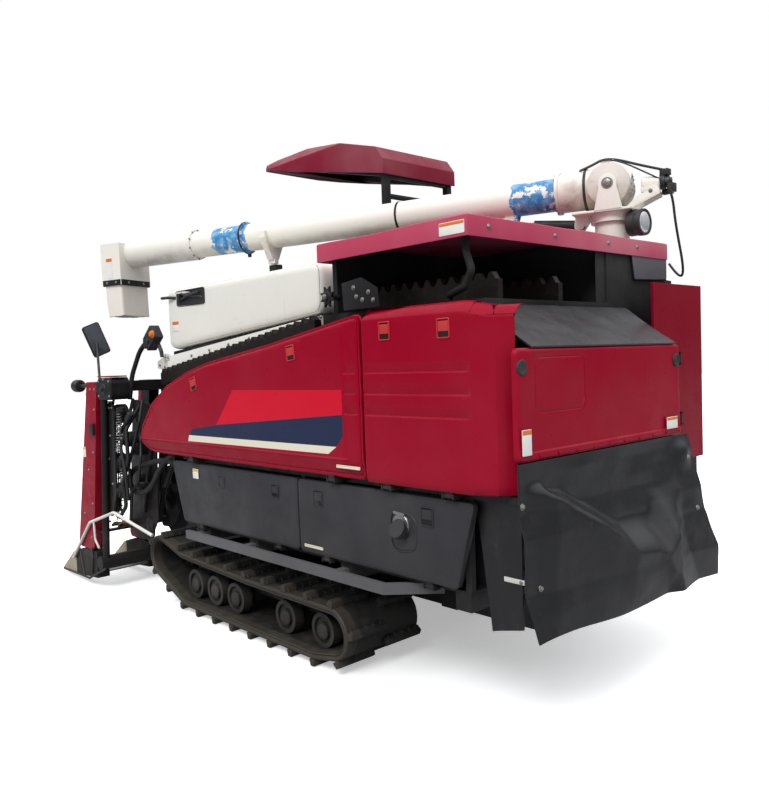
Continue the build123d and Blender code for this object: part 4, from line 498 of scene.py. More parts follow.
def belt_rubber(name):
    """Rubber of the belts: grey with dust on its flats and dark in the grooves."""
    shader = Shader(name)
    rubber = colours().rubber
    dusty = shader.noise(18.0, 6, 0.7).ramp(0.35, 0.75)
    low = 1.0 - shader.z.ramp(0.02, 0.5)
    flank = shader.y.absolute()
    flank = (flank.ramp(0.705, 0.717) + (1.0 - flank.ramp(0.262, 0.274))).least(1.0)
    worn = shader.mix(dusty * (low * 0.12 + 0.03) + flank * 0.16, rubber, darker(colours().dust, 0.2))
    shader.set(
        Base_Color=worn,
        Roughness=0.62 + dusty * 0.25,
        Normal=shader.bump(shader.noise(160.0, 5) + shader.noise(30.0, 4), 0.4, 0.002),
    )
    return shader.material


def sheet_rubber(name):
    """Rubber sheet: a soft sheen, scuffs and a little mud."""
    shader = Shader(name)
    rubber = colours().flap
    mud = shader.noise(6.0, 6, 0.7).ramp(0.5, 0.8)
    scuffs = shader.noise(34.0, 4, 0.6, stretch=(1.0, 1.4, 0.3)).ramp(0.62, 0.75)
    low = 1.0 - shader.z.ramp(0.4, 1.2)
    shader.set(
        Base_Color=shader.mix(mud * (low * 0.12 + 0.03) + scuffs * 0.08, rubber, colours().dust),
        Roughness=0.34 + mud * 0.25,
        Specular_IOR_Level=0.42,
        Normal=shader.bump(shader.noise(14.0, 4) + shader.noise(220.0, 3) * 0.08, 0.35, 0.006),
    )
    return shader.material


# The unloading tube's line and its films: start and end along it in metres, torn by this much
BOOM_ROOT, BOOM_TIP = (-1.443, -0.687, 2.267), (1.598, 0.527, 2.221)
TAPES = ((0.275, 0.505, 0.035), (2.215, 2.46, 0.05))


def tube_paint(name):
    """The unloading tube's paint: films torn round it, and brown stains on its drum."""
    shader = Shader(name)
    axis = (Vector(BOOM_TIP) - Vector(BOOM_ROOT)).normalized()
    root = Vector(BOOM_ROOT)
    along = shader.x * axis.x + shader.y * axis.y + shader.z * axis.z - root.dot(axis)
    under = (root.z - 0.02) - shader.z
    grime = shader.noise(9.0, 6, 0.65)
    base = weathered(shader, colours().ivory, 0.14, 3.2, 0.1)
    near_drum = 1.0 - along.ramp(0.1, 0.34)
    stained = near_drum * (under.ramp(-0.12, 0.09) * 0.55 + grime.ramp(0.5, 0.7) * 0.35)
    base = shader.mix(stained, base, colours().stain)
    dusty = under.ramp(0.02, 0.1) * grime.ramp(0.4, 0.7) * 0.35
    base = shader.mix(dusty, base, colours().stain)
    for start, finish, tear in TAPES:
        edge = (shader.noise(13.0, 4, 0.6) - 0.5) * (2 * tear)
        film = (along + edge).ramp(start, start + 0.004) * (1.0 - (along - edge * 1.3).ramp(finish, finish + 0.004))
        holes = shader.noise(11.0, 5, 0.65, stretch=(1.0, 1.0, 1.3)).ramp(0.555, 0.575)
        pale = shader.noise(26.0, 4).ramp(0.4, 0.7) * 0.45
        blue = shader.mix(pale, colours().tape, (0.5, 0.68, 0.78))
        base = shader.mix(film * (1.0 - holes), base, blue)
    shader.set(
        Base_Color=base,
        Roughness=0.36 + grime.ramp(0.3, 0.8) * 0.25,
        Normal=shader.bump(shader.noise(90.0, 4), 0.2, 0.0015),
    )
    return shader.material


def two_paints(name, first, second, share, rough=0.4):
    """Two paints on one casting, split by a share of place."""
    shader = Shader(name)
    front, back = weathered(shader, first, 0.1, 1.3), weathered(shader, second, 0.15, 1.0)
    shader.set(
        Base_Color=shader.mix(share(shader), front, back),
        Roughness=rough + shader.noise(14.0, 5).ramp(0.3, 0.8) * 0.25,
        Specular_IOR_Level=0.2,
        Normal=shader.bump(shader.noise(90.0, 4), 0.2, 0.0015),
    )
    return shader.material


def case_paint(name):
    """Raising cases: red fronts and left case, black backs on the inner ones."""
    def back(shader):
        """1 on the black part: behind the case's sloped rear edge, and right of the left case."""
        rear = 1.475 - 0.1628 * (shader.z - 0.245) + 0.12
        return (1.0 - (shader.x - rear).ramp(0.0, 0.002)) * (1.0 - shader.y.ramp(0.79, 0.8))

    return two_paints(name, darker(colours().red, 0.1), colours().black, back)


def divider_paint(name):
    """Dividers: khaki noses on black roots."""
    def root(shader):
        """1 behind the nose."""
        return 1.0 - shader.x.ramp(1.795, 1.797)

    return two_paints(name, linear(166, 156, 134), colours().black, root, 0.5)


def steel(name, colour, rough=0.35, rust=0.2):
    """Bare steel with some rust."""
    shader = Shader(name)
    spots = shader.noise(40.0, 6, 0.7).ramp(0.5, 0.75)
    shader.set(
        Base_Color=shader.mix(spots * rust, colour, linear(96, 52, 30)),
        Metallic=0.85 - spots * (0.6 * rust),
        Roughness=rough + spots * 0.3,
        Normal=shader.bump(shader.noise(220.0, 3), 0.2, 0.001),
    )
    return shader.material


def plain_plastic(name, colour, rough=0.45, grain=0.3):
    """Moulded plastic with a fine grain."""
    shader = Shader(name)
    base = weathered(shader, colour, 0.2, 1.0, 0.08)
    shader.set(
        Base_Color=base,
        Roughness=rough + shader.noise(20.0, 4).ramp(0.4, 0.8) * 0.15,
        Normal=shader.bump(shader.noise(600.0, 2), grain, 0.0006),
    )
    return shader.material


def mirror_glass(name):
    """Dusty mirror glass: its grey-blue base, under little metal, is a painted reflection; the dust on it is real."""
    shader = Shader(name)
    dust = shader.noise(30.0, 5, 0.7).ramp(0.45, 0.8)
    shader.set(Base_Color=shader.mix(dust * 0.3, linear(74, 80, 88), colours().dust), Metallic=0.15)
    shader.set(Roughness=0.12 + dust * 0.4, Normal=shader.bump(shader.noise(300.0, 2), 0.1, 0.0005))
    return shader.material


def clear_lens(name):
    """A lamp's lens."""
    shader = Shader(name)
    shader.set(Base_Color=(0.8, 0.82, 0.84), Roughness=0.08, Metallic=0.6, Coat_Weight=1.0, Coat_Roughness=0.03)
    shader.set(Normal=shader.bump(shader.noise(120.0, 1), 0.3, 0.002))
    return shader.material


MATERIALS = {}


def make_materials():
    """Every finish, by name."""
    c = colours()
    MATERIALS.update(
        red=gloss_paint("red_paint", c.red),
        # The rear panel's red, darkened by a quarter, is painted shade: the panel lies in shade.
        shaded_red=gloss_paint("rear_panel_paint", darker(c.red, 0.25)),
        faded_red=gloss_paint("faded_red_paint", c.faded_red, rough=0.4, coat=0.1, dust=0.05, top=3.0, fade=0.2),
        hood_red=gloss_paint("hood_paint", c.hood_red, rough=0.42, coat=0.1, dust=0.1, top=3.0, fade=0.35),
        cases=case_paint("raising_case_paint"),
        white=gloss_paint("white_paint", c.white, rough=0.35, coat=0.2, dust=0.25, top=2.2),
        ivory=satin_paint("ivory_paint", c.ivory, rough=0.35, dust=0.16, top=3.0),
        tube=tube_paint("tube_paint"),
        cream=satin_paint("cream_paint", lighter(c.ivory, 0.1), rough=0.45, dust=0.5, top=1.0),
        charcoal=satin_paint("charcoal_paint", c.charcoal, rough=0.34, dust=0.08, top=1.0),
        black=satin_paint("black_paint", c.black, rough=0.42, dust=0.12, top=1.0),
        # Black darkened further is painted shade, for insides, recesses and openings that lie in shade.
        void=satin_paint("inner_black_paint", darker(c.black, 0.55), rough=0.6, dust=0.08, top=1.0),
        hanging_plate=satin_paint("hanging_plate_paint", linear(92, 90, 96), rough=0.5, dust=0.2, top=2.5),
        grey=satin_paint("grey_paint", linear(84, 84, 86), rough=0.42, dust=0.2, top=0.8),
        belt=belt_rubber("belt_rubber"),
        flap=sheet_rubber("flap_rubber"),
        steel=steel("bare_steel", c.steel),
        chain=steel("oiled_chain", linear(46, 43, 40), rough=0.4, rust=0.45),
        wheel=satin_paint("wheel_paint", linear(24, 24, 25), rough=0.4, dust=0.16, top=0.5),
        chrome=steel("rod_chrome", (0.8, 0.8, 0.8), rough=0.12, rust=0.05),
        iron=satin_paint("engine_iron", linear(46, 48, 50), rough=0.55, dust=0.4, top=1.4),
        plastic=plain_plastic("black_plastic", linear(26, 26, 28)),
        latch=plain_plastic("red_plastic", c.latch, rough=0.35, grain=0.15),
        vinyl=plain_plastic("seat_vinyl", linear(30, 30, 32), rough=0.5, grain=0.6),
        lens=clear_lens("lamp_lens"),
        sheet=plain_plastic("chute_vinyl", linear(234, 226, 214), rough=0.5, grain=0.3),
        banded=banded_paint("banded_paint"),
        label=plain_plastic("blank_plate", c.label, rough=0.4, grain=0.1),
        orange=plain_plastic("orange_film", c.orange, rough=0.4, grain=0.1),
        yellow=plain_plastic("yellow_film", c.yellow, rough=0.4, grain=0.1),
        glass=mirror_glass("mirror_glass"),
        hose=plain_plastic("hose_rubber", linear(18, 18, 19), rough=0.5, grain=0.2),
        star=satin_paint("star_rubber", c.brown, rough=0.6, dust=0.4, top=0.9),
        tan=divider_paint("divider_paint"),
        pale=satin_paint("pale_paint", linear(214, 212, 204), rough=0.45, dust=0.35, top=2.2),
        rust=steel("rusty_steel", linear(120, 92, 70), rough=0.6, rust=0.9),
    )


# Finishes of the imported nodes
FINISHES = {
    "black": (
        "chassis_frame", "deck", "drive_axle", "canopy_frame", "track_frames", "engine_door", "cutter_box",
        "boom_ram_barrel", "lift_ram_barrel", "header_frame", "header_conveyor",
    ),
    "grey": ("guard_bar",),
    "plastic": ("fuel_tank", "consoles", "seat_base", "head_lamp", "raising_tines", "mirror_and_lamp"),
    "iron": ("engine_block",),
    # The thresher's inside and the hood's frame take the black with painted shade.
    "void": ("thresher_body", "hood_frame"),
    "steel": ("threshing_drum", "cutter_bars"),
    "chain": ("stalk_chains",),
    "cream": ("feed_chain_rail", "guide_rod"),
    "faded_red": ("rear_hood", "canopy_shell"),
    "flap": ("side_flap", "cutter_top_sheet", "rubber_flap_rear"),
    "ivory": ("vertical_auger", "turret", "spout"),
    # The rear panel takes the red with painted shade.
    "shaded_red": ("rear_panel",),
    "red": ("engine_cover", "side_cover_front", "side_cover_rear", "cutter_panel", "grain_tank"),
    "vinyl": ("seat_pads",),
    "belt": ("track_left", "track_right"),
    "wheel": ("track_wheels",),
    "white": ("threshing_lid",),
    "charcoal": ("lower_cover_front", "lower_cover_rear"),
    "tube": ("boom_tube",),
    "sheet": ("spout_chute",),
    "chrome": ("boom_ram_rod", "lift_ram_rod"),
    "tan": ("dividers",),
    "star": ("star_wheels",),
    "hose": ("header_hose", "loop_hose"),
    "cases": ("raising_cases",),
}


# Meshes, in millimetres until they are built

# How far a face's inner points stay from its edges
CLEAR = 3

def side(u, v, w):
    """Outlines seen from the left: along, up, out to the left."""
    return u, w, v


def end(u, v, w):
    """Outlines seen from behind: to the left, up, forwards."""
    return w, u, v


def plan(u, v, w):
    """Outlines seen from above: along, to the left, up."""
    return u, v, w


def rounded(loop, radius, steps=5, closed=True):
    """A polyline with each corner turned into an arc of this radius, or less where the runs are short."""
    points, count = [Vector(p) for p in loop], len(loop)
    result = []
    for index, corner in enumerate(points):
        if not closed and index in (0, count - 1):
            result.append(tuple(corner))
            continue
        before, after = points[index - 1] - corner, points[(index + 1) % count] - corner
        if before.length < 1e-6 or after.length < 1e-6:
            continue
        half = before.angle(after) / 2
        if half > radians(88):
            result.append(tuple(corner))
            continue
        cut = min(radius / max(1e-6, np.tan(half)), before.length * 0.48, after.length * 0.48)
        start, finish = corner + before.normalized() * cut, corner + after.normalized() * cut
        for step in range(steps + 1):
            t = step / steps
            result.append(tuple(start.lerp(corner, t).lerp(corner.lerp(finish, t), t)))
    return result


def rect(u0, v0, u1, v1):
    """A rectangle's corners."""
    return ((u0, v0), (u1, v0), (u1, v1), (u0, v1))


def circle(radius, count, phase=0):
    """Even places on a circle."""
    turns = [2 * pi * (index + phase) / count for index in range(count)]
    return [(radius * cos(turn), radius * sin(turn)) for turn in turns]


def divided(loop, longest, closed=True):
    """The same polyline with extra points on its long runs."""
    result, count = [], len(loop)
    for index in range(count if closed else count - 1):
        a, b = Vector(loop[index]), Vector(loop[(index + 1) % count])
        pieces = max(1, int(np.ceil((b - a).length / longest)))
        result += [tuple(a.lerp(b, step / pieces)) for step in range(pieces)]
    return result if closed else result + [tuple(loop[-1])]


def drawn_in(loop, inset):
    """A closed loop moved towards its inside, or outwards for a negative inset."""
    points = np.array(loop, float)
    ahead = np.roll(points, -1, 0) - points
    area = np.sum(points[:, 0] * np.roll(points[:, 1], -1) - np.roll(points[:, 0], -1) * points[:, 1])
    ahead /= np.linalg.norm(ahead, axis=1)[:, None]
    normal = np.stack((-ahead[:, 1], ahead[:, 0]), 1) * (1 if area > 0 else -1)
    before = np.roll(normal, 1, 0)
    share = 1 + np.sum(before * normal, 1)
    return points + inset * (before + normal) / np.maximum(share, 0.3)[:, None]


def inside(points, loop):
    """Which points lie in the loop."""
    x, y = points[:, 0], points[:, 1]
    found = np.zeros(len(points), bool)
    for (ax, ay), (bx, by) in zip(loop, np.roll(loop, -1, 0)):
        crosses = (ay > y) != (by > y)
        found ^= crosses & (x < (bx - ax) * (y - ay) / (by - ay if by != ay else 1e-9) + ax)
    return found


def clearance(points, loop):
    """How far each point is from the loop."""
    least = np.full(len(points), 1e9)
    for a, b in zip(np.array(loop), np.roll(loop, -1, 0)):
        run = b - a
        share = np.clip(((points - a) @ run) / max(1e-9, run @ run), 0, 1)
        least = np.minimum(least, np.linalg.norm(points - a - share[:, None] * run, axis=1))
    return least


def ring(centre, across, other, radius, sides):
    """Even places on a circle in space, from two directions in its plane."""
    turns = [2 * pi * index / sides for index in range(sides)]
    return [centre + (across * cos(t) + other * sin(t)) * radius for t in turns]


class Form:
    """Closed skins gathered for one mesh, with a finish for each face."""

    def __init__(self):
        self.points, self.faces, self.slots = [], [], []

    def add(self, points, faces, slot=0):
        """Points and the faces between them."""
        start = len(self.points)
        self.points += [tuple(point) for point in points]
        self.faces += [tuple(start + index for index in face) for face in faces]
        self.slots += [slot] * len(faces)
        return self

    def rows(self, rows, slot=0, ring=True, caps=True, around=False):
        """A skin over rows of points; rings are closed with caps, or the last row joins the first."""
        width, faces = len(rows[0]), []
        for row in range(len(rows) if around else len(rows) - 1):
            later = (row + 1) % len(rows)
            for index in range(width if ring else width - 1):
                after = (index + 1) % width
                faces.append((row * width + index, row * width + after, later * width + after, later * width + index))
        if ring and caps and not around:
            faces += [tuple(range(width)), tuple((len(rows) - 1) * width + index for index in range(width))]
        return self.add([point for row in rows for point in row], faces, slot)

    def prism(self, outline, place, depth, bevel, slot=0):
        """An outline pushed from depth[0] to depth[1], with its edges rounded."""
        mesh = bmesh.new()
        low = [mesh.verts.new(place(u, v, depth[0])) for u, v in outline]
        high = [mesh.verts.new(place(u, v, depth[1])) for u, v in outline]
        mesh.faces.new(low)
        mesh.faces.new(high[::-1])
        for index in range(len(outline)):
            after = (index + 1) % len(outline)
            mesh.faces.new((low[index], high[index], high[after], low[after]))
        bmesh.ops.recalc_face_normals(mesh, faces=mesh.faces)
        if bevel:
            sharp = [edge for edge in mesh.edges if edge.calc_face_angle(0) > radians(25)]
            bmesh.ops.bevel(
                mesh, geom=sharp, offset=bevel, segments=2, affect="EDGES", profile=0.6, clamp_overlap=True
            )
        mesh.verts.index_update()
        self.add([v.co for v in mesh.verts], [[v.index for v in f.verts] for f in mesh.faces], slot)
        mesh.free()
        return self

    def box(self, x, y, z, bevel=2.0, slot=0):
        """A box between two limits on each axis."""
        return self.prism(rect(x[0], y[0], x[1], y[1]), plan, z, bevel, slot)

    def turned(self, start, finish, profile, sides=24, slot=0):
        """A round piece on the line from start to finish: distances along it and radii."""
        start, axis = Vector(start), (Vector(finish) - Vector(start)).normalized()
        across = axis.orthogonal().normalized()
        other = axis.cross(across)
        rows = [ring(start + axis * along, across, other, radius, sides) for along, radius in profile]
        return self.rows(rows, slot)

    def rod(self, start, finish, radius, edge=1.5, sides=24, slot=0):
        """A round bar with its ends eased."""
        length = (Vector(finish) - Vector(start)).length
        edge = min(edge, radius * 0.6, length * 0.4)
        profile = ((0, radius - edge), (edge, radius), (length - edge, radius), (length, radius - edge))
        return self.turned(start, finish, profile, sides, slot)

    def bolt(self, place, out, radius, height, slot=0):
        """A hexagonal head on its washer."""
        place, out = Vector(place), Vector(out).normalized()
        washer = radius * 1.45
        self.turned(place - out, place + out * 3, ((0, washer), (3, washer), (3.5, washer - 0.6)), 16, slot)
        return self.turned(place, place + out, ((2, radius), (height, radius), (height + 1.5, radius * 0.8)), 6, slot)

    def bolts(self, y, spots, *size):
        """Bolts that face left at these places along and up."""
        for x, z in spots:
            self.bolt((x, y, z), LEFT, *size)
        return self

    def dial(self, x, z, low, high, radius):
        """A round cap that faces left."""
        profile = ((0, radius), (14, radius), (18, radius - 6), (26, radius * 0.4))
        return self.turned((x, low, z), (x, high, z), profile)

    def tube(self, points, radius, bend=0.0, sides=16, slot=0):
        """A bar along a path, bent at its inner points."""
        path = [Vector(p) for p in (rounded(points, bend, 6, closed=False) if bend else points)]
        last, rows = len(path) - 1, []
        ahead = [(path[min(i + 1, last)] - path[max(i - 1, 0)]).normalized() for i in range(last + 1)]
        across = ahead[0].orthogonal().normalized()
        for point, along in zip(path, ahead):
            across = (across - along * across.dot(along)).normalized()
            rows.append(ring(point, across, along.cross(across), radius, sides))
        return self.rows(rows, slot)

    def panel(self, outline, place, face, edge, relief, skin=5.0, holes=(), step=24.0, lines=((), ()), outward=1):
        """A pressed sheet: a face with an edge turned back, given as insets and depths, and an inner skin."""
        depth = edge[0][1]
        outline = divided(outline, 2 * step)

        def placed(loop, down):
            loop = np.array(loop, float)
            lift = relief(loop[:, 0], loop[:, 1]) * (1 - down / depth)
            return [place(u, v, face + outward * (l - down)) for (u, v), l in zip(loop, lift)]

        rims = [(drawn_in(outline, inset), down) for inset, down in edge]
        cuts = [np.array(divided(hole, step)) for hole in holes]
        inner = drawn_in(outline, skin)
        rows = [placed(inner, skin + 1), placed(inner, depth)] + [placed(loop, down) for loop, down in rims]
        width, start = len(outline), len(self.points)
        self.rows(rows, caps=False)
        last = start + (len(rows) - 1) * width
        self.fill(rims[-1][0], range(last, last + width), cuts, lambda loop: placed(loop, edge[-1][1]), step, lines)
        tail = len(self.points)
        self.fill(inner, range(start, start + width), cuts, lambda loop: placed(loop, skin + 1), 3 * step, lines)
        offset = 0
        for hole in cuts:
            a, b = last + width + offset, tail + offset
            for index in range(len(hole)):
                after = (index + 1) % len(hole)
                self.faces.append((a + index, a + after, b + after, b + index))
                self.slots.append(0)
            offset += len(hole)
        return self

    def fill(self, rim, numbers, cuts, placed, step, lines):
        """A face over a rim whose points exist already, with holes and a lattice of points to bend at."""
        rim = np.array(rim)
        (u0, v0), (u1, v1) = rim.min(0), rim.max(0)
        us = sorted({*np.arange(u0 + step / 2, u1, step).round(2), *lines[0]})
        vs = sorted({*np.arange(v0 + step / 2, v1, step).round(2), *lines[1]})
        lattice = np.array([(u, v) for u in us for v in vs])
        keep = inside(lattice, rim) & (clearance(lattice, rim) > CLEAR)
        loops, flat = [list(range(len(rim)))], [rim]
        for cut in cuts:
            keep &= ~inside(lattice, cut) & (clearance(lattice, cut) > CLEAR)
            base = sum(len(f) for f in flat)
            loops.append(list(range(base, base + len(cut))))
            flat.append(cut)
        flat = np.concatenate([*flat, lattice[keep]])
        edges = [(loop[i], loop[(i + 1) % len(loop)]) for loop in loops for i in range(len(loop))]
        points, _, faces, origins, _, _ = delaunay_2d_cdt([Vector(p) for p in flat], edges, [], 0, 1e-4)
        added = len(self.points)
        self.points += placed(flat[len(rim):])
        known = list(numbers) + [added + index for index in range(len(flat) - len(rim))]
        number = []
        for point, origin in zip(points, origins):
            if not origin:
                known.append(len(self.points))
                self.points += placed([point])
            number.append(known[origin[0]] if origin else known[-1])
        middles = np.array([np.mean([points[i] for i in face], 0) for face in faces])
        keep = inside(middles, rim)
        for cut in cuts:
            keep &= ~inside(middles, cut)
        chosen = [face for face, kept in zip(faces, keep) if kept]
        self.faces += [tuple(number[i] for i in face) for face in chosen]
        self.slots += [0] * len(chosen)

    def build(self, name, finishes, body, replaces=(), slot=None, smooth=38.0):
        """The mesh as a piece that rides on a body."""
        finishes = [finishes] if isinstance(finishes, str) else finishes
        mesh = bpy.data.meshes.new(name)
        mesh.from_pydata([Vector(point) * MM for point in self.points], [], self.faces)
        for finish in finishes:
            mesh.materials.append(MATERIALS[finish])
        mesh.polygons.foreach_set("material_index", self.slots)
        edit = bmesh.new()
        edit.from_mesh(mesh)
        bmesh.ops.recalc_face_normals(edit, faces=edit.faces)
        edit.to_mesh(mesh)
        edit.free()
        mesh.validate()
        return finished(name, mesh, body, replaces, slot, smooth)


def placed_object(name, data):
    """An object with this data, in the scene."""
    made = bpy.data.objects.new(name, data)
    bpy.context.scene.collection.objects.link(made)
    return made


def evaluated_mesh(made):
    """A mesh of what an object shows, modifiers and all."""
    return bpy.data.meshes.new_from_object(made.evaluated_get(bpy.context.evaluated_depsgraph_get()))


def finished(name, mesh, body, replaces=(), slot=None, smooth=38.0):
    """A named piece on its body, shaded smooth up to an angle."""
    mesh.shade_smooth()
    mesh.set_sharp_from_angle(angle=radians(smooth))
    piece = placed_object(name, mesh)
    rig.ride(piece, body)
    if replaces:
        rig.replaces(piece, *([replaces] if isinstance(replaces, str) else replaces))
    if slot:
        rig.slot(piece, slot)
    return piece


def uneven(u, v, scale, depth, seed):
    """Shallow dents over a sheet."""
    return np.array([depth * noise.noise(Vector((a / scale, b / scale, seed))) for a, b in zip(u, v)])


def dents(*sizes_and_seed):
    """A panel's relief of such dents alone."""
    return lambda u, v: uneven(u, v, *sizes_and_seed)


class Tree(Nodes):
    """A Geometry Nodes tree with named inputs."""

    def __init__(self, name, sockets):
        super().__init__(bpy.data.node_groups.new(name, "GeometryNodeTree"))
        faces = self.tree.interface
        faces.new_socket("Geometry", in_out="OUTPUT", socket_type="NodeSocketGeometry")
        faces.new_socket("Geometry", in_out="INPUT", socket_type="NodeSocketGeometry")
        self.sockets = {key: faces.new_socket(key, in_out="INPUT", socket_type=kind) for key, kind in sockets.items()}
        self.given = self.tree.nodes.new("NodeGroupInput").outputs
        self.result = self.tree.nodes.new("NodeGroupOutput").inputs["Geometry"]

    def end(self, geometry):
        """Realized, with the material that was given."""
        real = self.add("GeometryNodeRealizeInstances", inputs={"Geometry": geometry})
        made = self.add("GeometryNodeSetMaterial", inputs={"Geometry": real, "Material": self.given["Finish"]})
        self.tree.links.new(made, self.result)
        return self

    def grow(self, mesh, values, name, body):
        """The tree's result on a mesh, as a plain piece."""
        holder = placed_object(name + "_path", mesh)
        modifier = holder.modifiers.new("grow", "NODES")
        modifier.node_group = self.tree
        for key, value in values.items():
            modifier[self.sockets[key].identifier] = value
        holder.update_tag()
        grown = evaluated_mesh(holder)
        grown.name = name
        bpy.data.objects.remove(holder)
        return finished(name, grown, body)


TREES = {}


def repeat_tree():
    """Sets a part at even steps along a path, its X along the path."""
    tree = Tree("repeat", {"Part": "NodeSocketObject", "Count": "NodeSocketInt", "Finish": "NodeSocketMaterial"})
    curve = tree.add("GeometryNodeMeshToCurve", inputs={"Mesh": tree.given["Geometry"]})
    even = tree.add("GeometryNodeResampleCurve", inputs={"Curve": curve, "Count": tree.given["Count"]})
    along = tree.add("GeometryNodeInputTangent")
    turn = tree.add("FunctionNodeAlignRotationToVector", {"axis": "X", "pivot_axis": "Y"}, {"Vector": along})
    part = tree.add("GeometryNodeObjectInfo", inputs={"Object": tree.given["Part"]}, output="Geometry")
    placed = tree.add("GeometryNodeInstanceOnPoints", inputs={"Points": even, "Instance": part, "Rotation": turn})
    return tree.end(placed)


def repeated(part, path, count, name, finish, body):
    """Copies of a form at even steps along a closed path."""
    mesh = bpy.data.meshes.new(name + "_part")
    mesh.from_pydata([Vector(p) * MM for p in part.points], [], part.faces)
    source = placed_object(name + "_part", mesh)
    line = bpy.data.meshes.new("path")
    line.from_pydata([Vector(p) * MM for p in path], [(i, (i + 1) % len(path)) for i in range(len(path))], [])
    values = {"Part": source, "Count": count, "Finish": MATERIALS[finish]}
    piece = TREES["repeat"].grow(line, values, name, body)
    bpy.data.objects.remove(source)
    return piece


# Stage

CAMERA_PLACE = (-3.5847, 2.9299, 1.4304)
CAMERA_YAW, CAMERA_PITCH, CAMERA_ROLL = radians(42.7956), radians(-2.9404), radians(-2.1056)
FOCAL_PIXELS, LONG_SIDE, SENSOR = 778.63, 800, 36.0
SUN_STRENGTH, SUN_WIDTH, SUN_TOWARD = 1.55, radians(22), (0.36, -0.72, -0.8)


class HARVESTER_OT_stage(bpy.types.Operator):
    """Floor, light and the camera at the photograph's place."""

    bl_idname = "harvester.stage"
    bl_label = "Stage"

    def execute(self, context):
        scene = context.scene
        scene.view_settings.view_transform = "Standard"
        ahead = Vector((cos(CAMERA_PITCH) * cos(CAMERA_YAW), -cos(CAMERA_PITCH) * sin(CAMERA_YAW), sin(CAMERA_PITCH)))
        level = Vector((-sin(CAMERA_YAW), -cos(CAMERA_YAW), 0.0))
        upright = level.cross(ahead)
        right = level * cos(CAMERA_ROLL) + upright * sin(CAMERA_ROLL)
        up = upright * cos(CAMERA_ROLL) - level * sin(CAMERA_ROLL)
        camera = placed_object("camera", bpy.data.cameras.new("camera"))
        turn = Matrix((right, up, -ahead)).transposed()
        camera.matrix_world = Matrix.Translation(CAMERA_PLACE) @ turn.to_4x4()
        camera.data.sensor_width = SENSOR
        camera.data.lens = FOCAL_PIXELS * SENSOR / LONG_SIDE
        scene.camera = camera
        self.light(scene)
        self.floor()
        return {"FINISHED"}

    def light(self, scene):
        """An even pale sky and a sun whose wide disc gives soft shadows."""
        world = bpy.data.worlds.new("sky")
        scene.world = world
        world.use_nodes = True
        sky = Nodes(world.node_tree)
        sky.tree.nodes.clear()
        rays = sky.tree.nodes.new("ShaderNodeLightPath").outputs
        through = {0: rays["Is Camera Ray"], 1: rays["Is Transmission Ray"]}
        seen = sky.add("ShaderNodeMath", {"operation": "MAXIMUM"}, through)
        dome = sky.add("ShaderNodeBackground", inputs={"Color": (0.95, 0.97, 1.0), "Strength": self.overhead(sky)})
        white = sky.add("ShaderNodeBackground", inputs={"Color": (1.0, 1.0, 1.0), "Strength": 1.0})
        mixed = sky.add("ShaderNodeMixShader", inputs={0: seen, 1: dome, 2: white})
        sky.feed(sky.tree.nodes.new("ShaderNodeOutputWorld").inputs["Surface"], mixed)
        sun = placed_object("sun", bpy.data.lights.new("sun", "SUN"))
        sun.data.energy = SUN_STRENGTH
        sun.data.angle = SUN_WIDTH
        sun.rotation_euler = Vector(SUN_TOWARD).to_track_quat("-Z", "Y").to_euler()

    def overhead(self, sky):
        """Dim at the horizon, as trees and sheds leave it, and bright overhead."""
        place = sky.add("ShaderNodeTexCoord", output="Generated")
        up = sky.add("ShaderNodeSeparateXYZ", inputs={0: place}, output="Z")
        span = {"From Min": 0.0, "From Max": 0.75, "To Min": 0.13, "To Max": 1.45}
        return sky.add("ShaderNodeMapRange", {"interpolation_type": "SMOOTHSTEP"}, {"Value": up, **span}, "Result")

    def floor(self):
        """A pale floor that takes the shadow."""
        reach = 40.0
        mesh = bpy.data.meshes.new("floor")
        mesh.from_pydata([(x, y, 0) for x, y in rect(-reach, -reach, reach, reach)], [], [(0, 1, 2, 3)])
        floor = placed_object("floor", mesh)
        shader = Shader("floor")
        shader.set(Base_Color=(0.95, 0.95, 0.95), Roughness=1.0, Emission_Color=(1.0, 1.0, 1.0), Emission_Strength=0.4)
        dark = shader.add("ShaderNodeBsdfDiffuse", inputs={"Color": (0.4, 0.4, 0.41)})
        seen = shader.add("ShaderNodeLightPath", output="Is Camera Ray")
        mixed = shader.add("ShaderNodeMixShader", inputs={0: seen, 1: dark, 2: shader.surface.outputs["BSDF"]})
        shader.feed(shader.output.inputs["Surface"], mixed)
        mesh.materials.append(shader.material)
        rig.stage(floor)


class HARVESTER_OT_finishes(bpy.types.Operator):
    """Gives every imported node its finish."""

    bl_idname = "harvester.finishes"
    bl_label = "Finishes"

    def execute(self, context):
        make_materials()
        TREES["repeat"] = repeat_tree()
        for finish, nodes in FINISHES.items():
            for node in nodes:
                mesh = NODES[node].data
                mesh.materials.clear()
                mesh.materials.append(MATERIALS[finish])
        return {"FINISHED"}


# Covers

# Pressed edges, as insets and depths from the rim to the face
SOFT_EDGE = ((0, 28), (0, 5), (1.5, 1.5), (5, 0))
BEVEL_EDGE = ((0, 30), (0, 26), (2, 22), (20, 3), (27, 0))
# A rib falls from its first height and comes out again over RIB_LIP at its second
RIBS = ((1415, 1375), (1328, 1288), (1241, 1201))
RIB_LIP = 6
RIB_LINES = tuple(z for top, foot in RIBS for z in (top + 1, foot + RIB_LIP, foot))
UPPER_FACE, LOWER_FACE = 801, 749
HINGE_HALF = 20
# Pins of the covers and the lid: how far out and how high, then the leaves' limits, out and up
UPPER_HINGE, LOWER_HINGE = (780, 908, (776, 784), (908, 932)), (745, 524, (741, 749), (524, 546))
LID_HINGE = 126, 1890, (126, 150), (1890, 1905)


